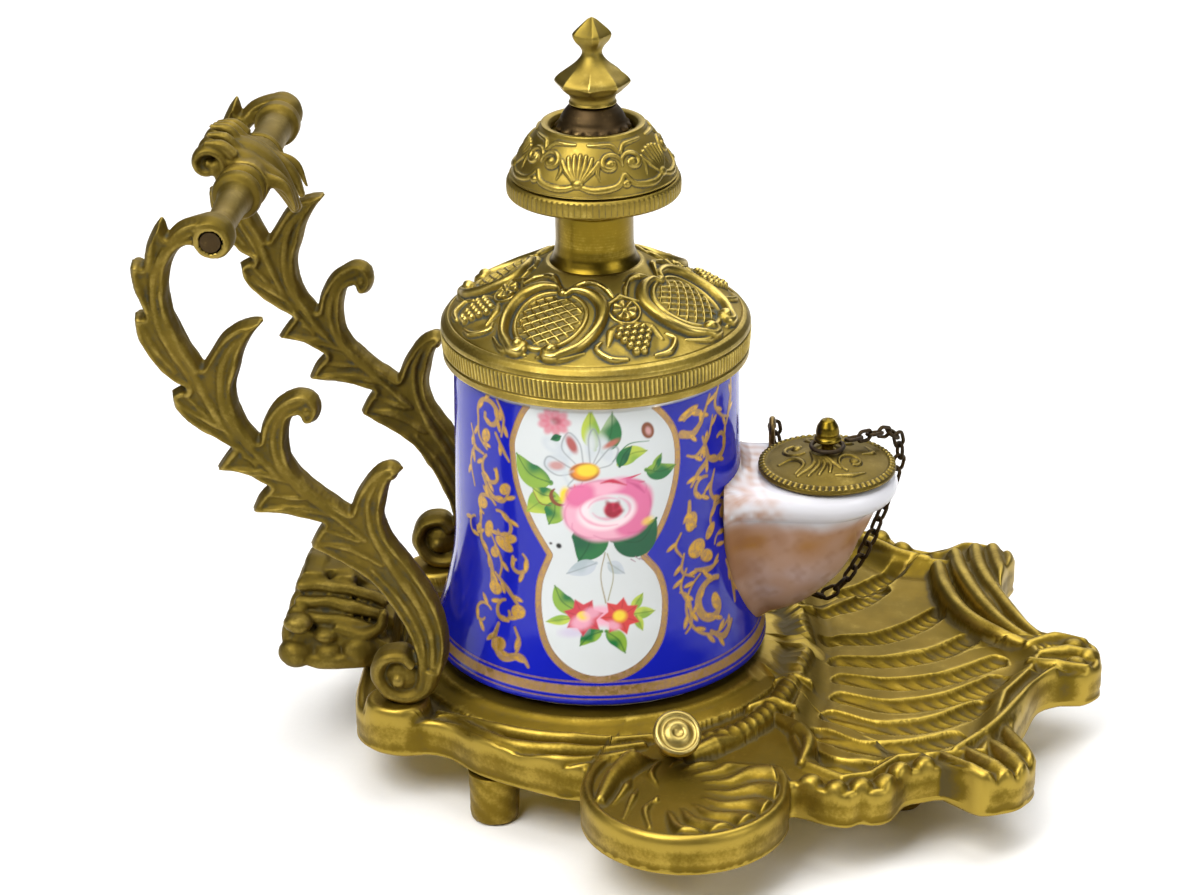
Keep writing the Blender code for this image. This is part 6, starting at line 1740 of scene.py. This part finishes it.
TRAY_RIMS = (
    ([(65.2, -37.0), (72.3, -28.4), (77.0, -19.4), (81.6, -10.8), (85.6, -5.4)], [0.9, 1.3, 1.3, 1.0], 2.4),
    ([(38.0, 44.0), (44.6, 47.8), (50.6, 45.0), (56.0, 40.6), (62.0, 38.4)], [1.0, 1.5, 1.4, 1.0], 2.5),
)
RIM_BOSSES = (  # place and radius
    (40.2, -49.0, 2.3), (44.6, -50.6, 2.2), (48.8, -49.6, 2.3), (53.0, -48.2, 2.4), (55.6, -44.0, 2.2),
    (59.8, -41.6, 2.2), (40.4, 49.2, 2.4), (46.6, 51.0, 2.4), (52.6, 48.2, 2.4), (57.0, 43.2, 2.3),
    (88.4, 3.6, 2.4), (88.4, -3.6, 2.4), (90.8, 0.0, 2.2),
)
TIP_RIDGES = tuple((path, [1.0, 1.5, 1.0], 2.5) for path in (
    [(80.0, -3.0), (84.6, -5.2), (90.4, -5.4)], [(80.0, 3.6), (85.0, 5.6), (90.4, 5.0)],
    [(82.0, 0.0), (87.0, 0.6), (92.4, 0.0)]))
RIBBONS = (
    ([(29.0, -24.6), (33.0, -23.2), (36.9, -24.4)], [1.0, 1.4, 1.0], 3.2),
    ([(33.4, -14.6), (36.6, -13.6), (39.6, -14.6)], [0.8, 1.1, 0.8], 3.0),
    ([(19.4, -41.2), (22.8, -38.2), (27.4, -34.6)], [1.6, 2.0, 1.2], 3.0),
    ([(34.0, -27.0), (37.6, -31.4), (39.6, -36.0), (38.6, -42.0)], [1.2, 1.8, 1.6, 0.9], 2.8),
)
GARLAND = [(20.0, -37.4), (25.9, -34.0), (29.6, -29.8), (32.4, -25.0), (34.6, -19.4), (36.4, -12.6),
           (37.6, -6.0), (38.0, 0.0)]


def lobe_surface(x, front):
    """The round side dish: its share of the surface, and its height with a rim, a scallop and vines."""
    r = np.hypot(x - LOBE[0], front - LOBE[1])
    share = (fade(LOBE_RADIUS + 0.2, LOBE_RADIUS - 0.2, r)
             * fade(-40.5, -43.5, front + 0.10 * np.abs(x - LOBE[0])))
    dish = RIM_TOP - 2.9 + 0.012 * r * r * 0.6
    fan_r = np.hypot(x - 12.5, front + 52.0)
    fan_angle = np.arctan2(front + 52.0, x - 12.5)
    comb = np.abs(np.cos(11.0 * (fan_angle + 0.05 * np.sin(0.6 * fan_r)))) ** 0.7
    fan = fade(2.0, 5.0, fan_r) * fade(16.9, 15.6, r) * fade(1.35, 1.15, np.abs(fan_angle))
    dish = dish + 1.9 * comb * fan * fade(0, 12, fan_r) + 0.5 * fan
    dish = dish + highest(*[rope(x, front, smooth_line(path, 1.0), widths, height)
                            for path, widths, height in LOBE_VINES])
    crown = LOBE_RADIUS - 1.1
    ring = rope(r, 0 * r, [(crown, -1), (crown, 1)], [1.1, 1.1], 1.1)
    return share, np.maximum(np.where(r > crown, RIM_TOP, dish), RIM_TOP - 0.7 + ring)


def tray_surface(x, y):
    """The shell tray: its share of the surface, and its height with the flutes."""
    within = inside_distance(x, y, mirror_outline(TRAY_HALF))
    bowl = RIM_TOP + 0.6 - 3.2 * fade(-0.6, 5.0, within) - 0.5 * fade(4, 16, within)
    flutes = np.zeros(x.shape)
    for path, half in FLUTES:
        flutes = np.maximum(flutes, rope(x, y, smooth_line(path, 1.5), [0.8 * half, half, 0.85 * half], 1.0))
    path, half = FLUTES[0]
    far = smooth_line(np.array(path) + [4.0, 9.0], 1.5)
    flutes = np.maximum(flutes, rope(x, y, far, [0.7 * half, half, 0.7 * half], 1.0))
    fine = 0.16 * np.cos(3.4 * (y + 0.35 * x)) * fade(0.1, 0.6, flutes)
    bowl = bowl + 0.9 * fade(2.0, 7.0, within) - (1.9 * flutes + fine) * fade(1.0, 3.5, within)
    return fade(-1.2, 0.2, within), bowl


def stand_height(x, y):
    """Height of the stand's top in mm; the fans and flutes of the two sides differ."""
    front = -np.abs(y)
    edge, _ = along_path(x, y, stand_outline()[::2])
    base = RIM_TOP - 0.9 + 0.9 * fade(2.6, 1.0, edge)

    def raise_ridges(base, across, ridges, drop, step):
        for path, widths, height in ridges:
            ridge = rope(x, across, smooth_line(path, step), widths, height)
            base = raise_to(base, RIM_TOP - drop, ridge)
        return base

    base = raise_ridges(base, front, SWAGS, 1.6, 1.0)
    for share, surface in (lobe_surface(x, front), tray_surface(x, y)):
        base = base * (1 - share) + surface * share
    fans = [(path, [0.9, 1.5, 1.9, 2.1, 1.8], 3.3 - 0.15 * k) for fan in (FAR_FAN, NEAR_FAN)
            for k, path in enumerate(fan)]
    base = raise_ridges(base, y, fans, 1.2, 1.2)
    base = raise_ridges(base, y, TRAY_RIMS, 0.8, 1.2)
    for *at, size in RIM_BOSSES:
        base = raise_to(base, RIM_TOP - 1.0, knob(x, y, at, size, 2.3))
    base = raise_ridges(base, y, TIP_RIDGES, 0.8, 1.0)
    # ribbon garland between the seat and the tray
    strap, _ = along_path(x, front, smooth_line(GARLAND, 1.0))
    wrap = 0.35 * np.abs(np.sin(0.9 * (x + 1.3 * front)))
    garland = RIM_TOP - 0.6 + (2.6 - wrap) * np.sqrt(np.clip(1 - (strap / 2.3) ** 2, 0, 1))
    base = np.maximum(base, garland * (strap < 2.3))
    base = raise_ridges(base, front, RIBBONS, 0.9, 1.0)
    # seat of the porcelain and pads of the arms
    seat = np.interp(np.hypot(x, y), [0, 32.6, 33.2, 34.0, 36.5, 37.2],
                     [SEAT_TOP, SEAT_TOP, 19.0, 18.3, 17.2, 10.0])
    base = np.maximum(base, seat)
    pad = np.hypot(x - PAD[0], front - PAD[1])
    base = np.maximum(base, np.interp(pad, [0, 5.0, 5.6, 5.9, 6.4], [19.3, 19.3, 18.9, 18.2, 10.0]))
    behind = (x < -38.4) & (front > -15.4)
    base = np.where(behind, np.minimum(base, RIM_TOP), base)
    rounding = np.sqrt(np.clip(1 - (1 - np.clip(edge / 1.2, 0, 1)) ** 2, 0, 1))
    return base - 1.2 * (1 - rounding)


def raise_to(base, level, ridge):
    """Puts a ridge with its foot at a level on the surface, and leaves the rest alone."""
    return np.where(ridge > 0.02, np.maximum(base, level + ridge), base)


def mirror_outline(half):
    half = np.array(half, float)
    return np.vstack([half, half[1:-1][::-1] * [1, -1]])


def make_stand():
    """The stand's casting: its top as rings about a centre, its wall and its underside."""
    sides = 1240
    angles = TAU * np.arange(sides) / sides - math.pi
    reach = polar_reach(angles)
    rows = np.concatenate([[0.0], np.linspace(0.10, 0.30, 5), np.linspace(0.30, 1.0, 125)[1:]])
    x = STAND_CENTRE[0] + rows[:, None] * reach * np.cos(angles)
    y = STAND_CENTRE[1] + rows[:, None] * reach * np.sin(angles)
    top = np.stack([x, y, stand_height(x, y)], -1)
    edge = top[-1]
    wall = []
    for drop, out in ((0.3, -0.02), (0.35, 0.0), (0.6, 0.02), (0.8, -0.25), (0.86, -0.25), (0.93, 0.0),
                      (1.0, -0.5)):
        ring = edge.copy()
        ring[:, 2] = edge[:, 2] * (1 - drop) + PLATE_FOOT_Z * drop if drop < 1 else PLATE_FOOT_Z
        ring[:, :2] += out * np.stack([np.cos(angles), np.sin(angles)], 1)
        wall.append(ring)
    points = np.vstack([top.reshape(-1, 3)] + wall)
    rings = len(rows) + len(wall)
    quads = grid_faces(rings, sides)[:, ::-1]
    faces = [np.where(quads < sides, 0, quads)]
    floor_points, floor_faces = stand_underside(points[(rings - 1) * sides:], (rings - 1) * sides,
                                                len(points))
    points = np.vstack([points, floor_points])
    faces += floor_faces
    mesh, _ = build_mesh("stand_cast", points, faces)
    mark_patina_and_highlight(mesh, 10, 0.35)
    return place("stand_cast", mesh, STAND_GILT, "base", ["stand_plate"])


POCKET_SIDES = 24
POCKETS = {"arm_screw_front": (3.0, 3.0), "arm_screw_rear": (3.0, 3.0), "ornament_screw": (3.0, 3.0),
           "foot_front_left": (2.3, 1.7), "foot_front_right": (2.3, 1.7),
           "foot_rear_left": (2.3, 1.7), "foot_rear_right": (2.3, 1.7)}  # radius and depth


def stand_underside(ring, first, next_index):
    """The flat underside inside the wall's last ring, with the pockets of the screws and pins. first is
    the ring's index in the mesh, and next_index the first index for new points."""
    pockets = []
    for node, (radius, depth) in POCKETS.items():
        low, high = span(node)
        pockets.append((0.5 * (low[0] + high[0]), 0.5 * (low[1] + high[1]), radius, depth))
    edge = ring[:, :2]
    loops = [[Vector(p) for p in edge]]
    for x, y, radius, _ in pockets:
        loops.append([Vector((x + radius * math.cos(t), y + radius * math.sin(t)))
                      for t in np.linspace(0, TAU, POCKET_SIDES + 1)[:-1]])
    verts = [p for loop in loops for p in loop]
    edges, start = [], 0
    for loop in loops:
        edges += [(start + i, start + (i + 1) % len(loop)) for i in range(len(loop))]
        start += len(loop)
    flat, _, tris, origin, _, _ = delaunay_2d_cdt(verts, edges, [], 0, 1e-6)
    index = np.empty(len(flat), np.int64)
    extra = []
    for k, (place_at, source) in enumerate(zip(flat, origin)):
        if source and source[0] < len(edge):
            index[k] = first + source[0]
        elif source:
            index[k] = next_index + source[0] - len(edge)
        else:
            index[k] = next_index + (len(verts) - len(edge)) + len(extra)
            extra.append((place_at.x, place_at.y, PLATE_FOOT_Z))
    where = np.array([(p.x, p.y) for p in flat])
    tris = np.array([t for t in tris if len(t) == 3])
    centres = where[tris].mean(1)
    kept = inside_distance(centres[:, 0], centres[:, 1], edge) > 0
    for x, y, radius, _ in pockets:
        kept &= np.hypot(centres[:, 0] - x, centres[:, 1] - y) >= 0.98 * radius
    rim = np.array([(p.x, p.y, PLATE_FOOT_Z) for p in verts[len(edge):]])
    points = [rim] + ([np.array(extra)] if extra else [])
    total = next_index + len(rim) + len(extra)
    faces = [index[tris[kept]][:, ::-1]]
    around = np.arange(POCKET_SIDES)
    after = np.roll(around, -1)
    for k, (x, y, _, depth) in enumerate(pockets):
        low, high = next_index + POCKET_SIDES * k + around, total + around
        top = rim[POCKET_SIDES * k + around]
        points.append(np.column_stack([top[:, :2], np.full(POCKET_SIDES, PLATE_FOOT_Z + depth)]))
        points.append(np.array([[x, y, PLATE_FOOT_Z + depth]]))
        faces.append(np.stack([low, high, high[after], low[after]], 1))
        faces.append(np.stack([np.full(POCKET_SIDES, total + POCKET_SIDES), high[after], high], 1))
        total += POCKET_SIDES + 1
    return np.vstack(points), faces


def make_feet():
    for name in ("foot_front_left", "foot_front_right", "foot_rear_left", "foot_rear_right"):
        low, high = span(name)
        x, y = 0.5 * (low[0] + high[0]), 0.5 * (low[1] + high[1])
        top = PLATE_FOOT_Z - 0.3
        line = rounded_line([(0, 0), (3.7, 0), (4.2, 0.5), (4.4, 1.6), (4.45, 5.0), (4.6, top - 0.7),
                             (4.65, top - 0.1), (4.5, top),
                             (2.0, top), (2.0, high[2]), (0, high[2])], 0.35, 0.3)

        def wobble(turn, at):
            return 0.05 * np.sin(3 * turn + 0.8 * at) + 0.03 * np.sin(7 * turn + 2 * at)

        points, faces = lathe(line, 72, wobble, (x, y))
        points[:, 2] = np.maximum(points[:, 2], 0)
        piece(name + "_cast", (points, faces), STAND_GILT, "base", [name], (6, 0.12))


def make_buttons():
    for side, tag in ((FRONT, "front"), (REAR, "rear")):
        line = rounded_line([(0, -4.4), (1.6, -4.4), (1.6, 1.6), (2.6, 2.0), (3.0, 3.4), (3.3, 4.4),
                             (3.75, 5.4), (4.25, 6.0),
                             (4.3, 6.8), (4.0, 7.35), (3.5, 7.45), (3.15, 7.1), (2.7, 7.05), (2.35, 7.4),
                             (1.7, 7.75),
                             (1.1, 7.7), (0.7, 7.35), (0, 7.2)], 0.3, 0.16)
        points, faces = lathe(line, 96)
        turn = Matrix.Rotation(math.radians(16), 3, "Y") @ Matrix.Rotation(math.radians(side * -38), 3, "X")
        points = points @ np.array(turn).T + (15.5, side * 39.5, 17.6)
        piece("button_%s_turned" % tag, (points, faces), BUTTON_GOLD, "base", ["button_" + tag],
              (6, 0.12))


# ---- Chain ---------------------------------------------------------------------------------------
CHAIN_PATH = [(45.6, 1.2, 59.2), (49.4, 5.0, 58.6), (52.4, 8.6, 57.6), (54.7, 11.4, 55.4),
              (55.2, 12.6, 51.6), (54.4, 13.4, 46.6),
              (52.2, 13.4, 39.0), (48.4, 13.0, 29.6), (44.2, 12.6, 23.4), (40.2, 12.6, 21.8),
              (36.9, 13.2, 25.0), (35.0, 14.6, 34.0),
              (33.4, 15.6, 44.0), (32.4, 15.6, 52.0), (31.8, 14.4, 56.6)]
LINK_PITCH = 2.75
RING_RADIUS, RING_WIRE = 2.9, 0.42


LINK_LENGTH, LINK_WIDTH, LINK_WIRE = 4.0, 2.7, 0.36  # the wire's size is its radius


def chain_link(at, ahead, side):
    """One oval link: a wire round a stadium."""
    up = np.cross(ahead, side)
    half, reach = 0.5 * LINK_LENGTH - LINK_WIRE, 0.5 * LINK_WIDTH - LINK_WIRE
    turn = np.linspace(0, TAU, 21)[:-1]
    ring = np.stack([np.sign(np.cos(turn)) * (half - reach) + reach * np.cos(turn), reach * np.sin(turn)], 1)
    centre = at + ring[:, :1] * ahead + ring[:, 1:] * side
    tangent = np.roll(centre, -1, 0) - np.roll(centre, 1, 0)
    tangent /= np.linalg.norm(tangent, axis=1, keepdims=True)
    outward = np.cross(tangent, up)
    outward /= np.linalg.norm(outward, axis=1, keepdims=True)
    around = TAU * np.arange(8) / 8
    points = (centre[:, None] + LINK_WIRE * (outward[:, None] * np.cos(around)[None, :, None]
                                             + up[None, None] * np.sin(around)[None, :, None]))
    return points.reshape(-1, 3), [grid_faces(20, 8, closed=True)]


def make_chain():
    """The chain's links, its hook in the porcelain and its ring under the acorn."""
    path = smooth_line(CHAIN_PATH, 0.1)
    along = np.concatenate([[0], np.cumsum(np.linalg.norm(np.diff(path, axis=0), axis=1))])
    count = int(along[-1] // LINK_PITCH)
    lowest = along[np.argmin(path[:, 2])]
    groups = {"lid": [], "anchor": []}
    for k in range(count):
        passed = (k + 0.5) * along[-1] / count
        at = np.array([np.interp(passed, along, path[:, i]) for i in range(3)])
        near = np.array([np.interp(passed + 0.8, along, path[:, i]) for i in range(3)])
        ahead = (near - at) / np.linalg.norm(near - at)
        flat = np.cross(ahead, (0.3, 0.9, 0.2))
        flat /= np.linalg.norm(flat)
        tilt = math.radians(45 + 90 * (k % 2) + 14 * math.sin(2.1 * k))
        side = flat * math.cos(tilt) + np.cross(ahead, flat) * math.sin(tilt)
        group = "lid" if passed < lowest - 3 else "anchor"
        groups[group].append(chain_link(at, ahead, side))
    for group, links in groups.items():
        mesh, _ = build_mesh("chain_%s_side" % group, *join_shapes(*links))
        mark_patina_and_highlight(mesh, 2, 0.3)
        if group == "anchor":
            place("chain_anchor_side", mesh, DARK, "base", ["chain_hanging"])
            continue
        obj = add_object("chain_lid_side", mesh, DARK)
        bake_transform(obj)
        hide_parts("chain_on_lid")
    low, high = span("chain_anchor")
    x, y = 0.5 * (low[0] + high[0]), 0.5 * (low[1] + high[1])
    hook = smooth_line([(x, y, low[2]), (x, y, 55.0), (x, y + 0.5, 57.4), (x, y + 2.2, 58.3),
                        (x + 0.1, y + 3.9, 57.2),
                        (x + 0.2, y + 4.3, 55.8)], 0.3)
    piece("chain_hook", strand(hook, [0.55, 0.6, 0.55], [0.55, 0.6, 0.55], flat=(1, 0, 0)), DARK, "base",
          ["chain_anchor"],
          (4, 0.2))
    low, high = span("lid_chain_ring")
    z = 0.5 * (low[2] + high[2])
    turn = np.linspace(0, TAU, 49)[:-1]
    around = TAU * np.arange(10) / 10
    reach = RING_RADIUS + RING_WIRE * np.cos(around)[None]
    ring = np.stack([reach * np.cos(turn)[:, None] + CUP_X, reach * np.sin(turn)[:, None],
                     z + RING_WIRE * np.sin(around)[None] + 0 * turn[:, None]], -1).reshape(-1, 3)
    piece("lid_chain_ring_wire", (ring, [grid_faces(48, 10, closed=True)]), DARK, "lid", ["lid_chain_ring"],
          (3, 0.2))


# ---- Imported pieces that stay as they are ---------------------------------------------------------
LOOKS = (
    (GILT, "foot_front_left foot_front_right foot_rear_left foot_rear_right"),
    (GILT, "button_front button_rear stand_plate"),
    (CEMENT, "bedding_ring cap_cement"), (LEATHER, "gland_leather plunger_leather"),
    (BRASS, "spindle_bush spindle knob_hub lid_sleeve plunger_washer plunger_nut"),
    (PLUNGER_GLAZE, "plunger_body"), (STEEL, "arm_screw_front arm_screw_rear ornament_screw"),
    (DARK, "tie_rod tie_rod_nut_front tie_rod_nut_rear"),
    (DARK, "lid_chain_ring chain_anchor chain_on_lid chain_hanging"),
    (ANTIQUE, "arm_front arm_rear back_ornament crossbar_scroll crossbar_spacer_front crossbar_spacer_rear"),
)


def dress_packed_nodes():
    """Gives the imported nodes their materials, which show where nothing replaces the node."""
    for look, names in LOOKS:
        for name in names.split():
            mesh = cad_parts[name].data
            mesh.materials.clear()
            mesh.materials.append(look)
            if not mesh.attributes.get("patina_and_highlight"):
                add_values(mesh, "patina_and_highlight", np.full(len(mesh.vertices), 0.5))


make_camera()
make_studio()
make_body()
make_cup()
make_cap()
make_neck()
make_knob()
make_finial()
make_lid()
make_arms()
make_crossbar()
make_back_ornament()
make_stand()
make_feet()
make_buttons()
make_chain()
dress_packed_nodes()
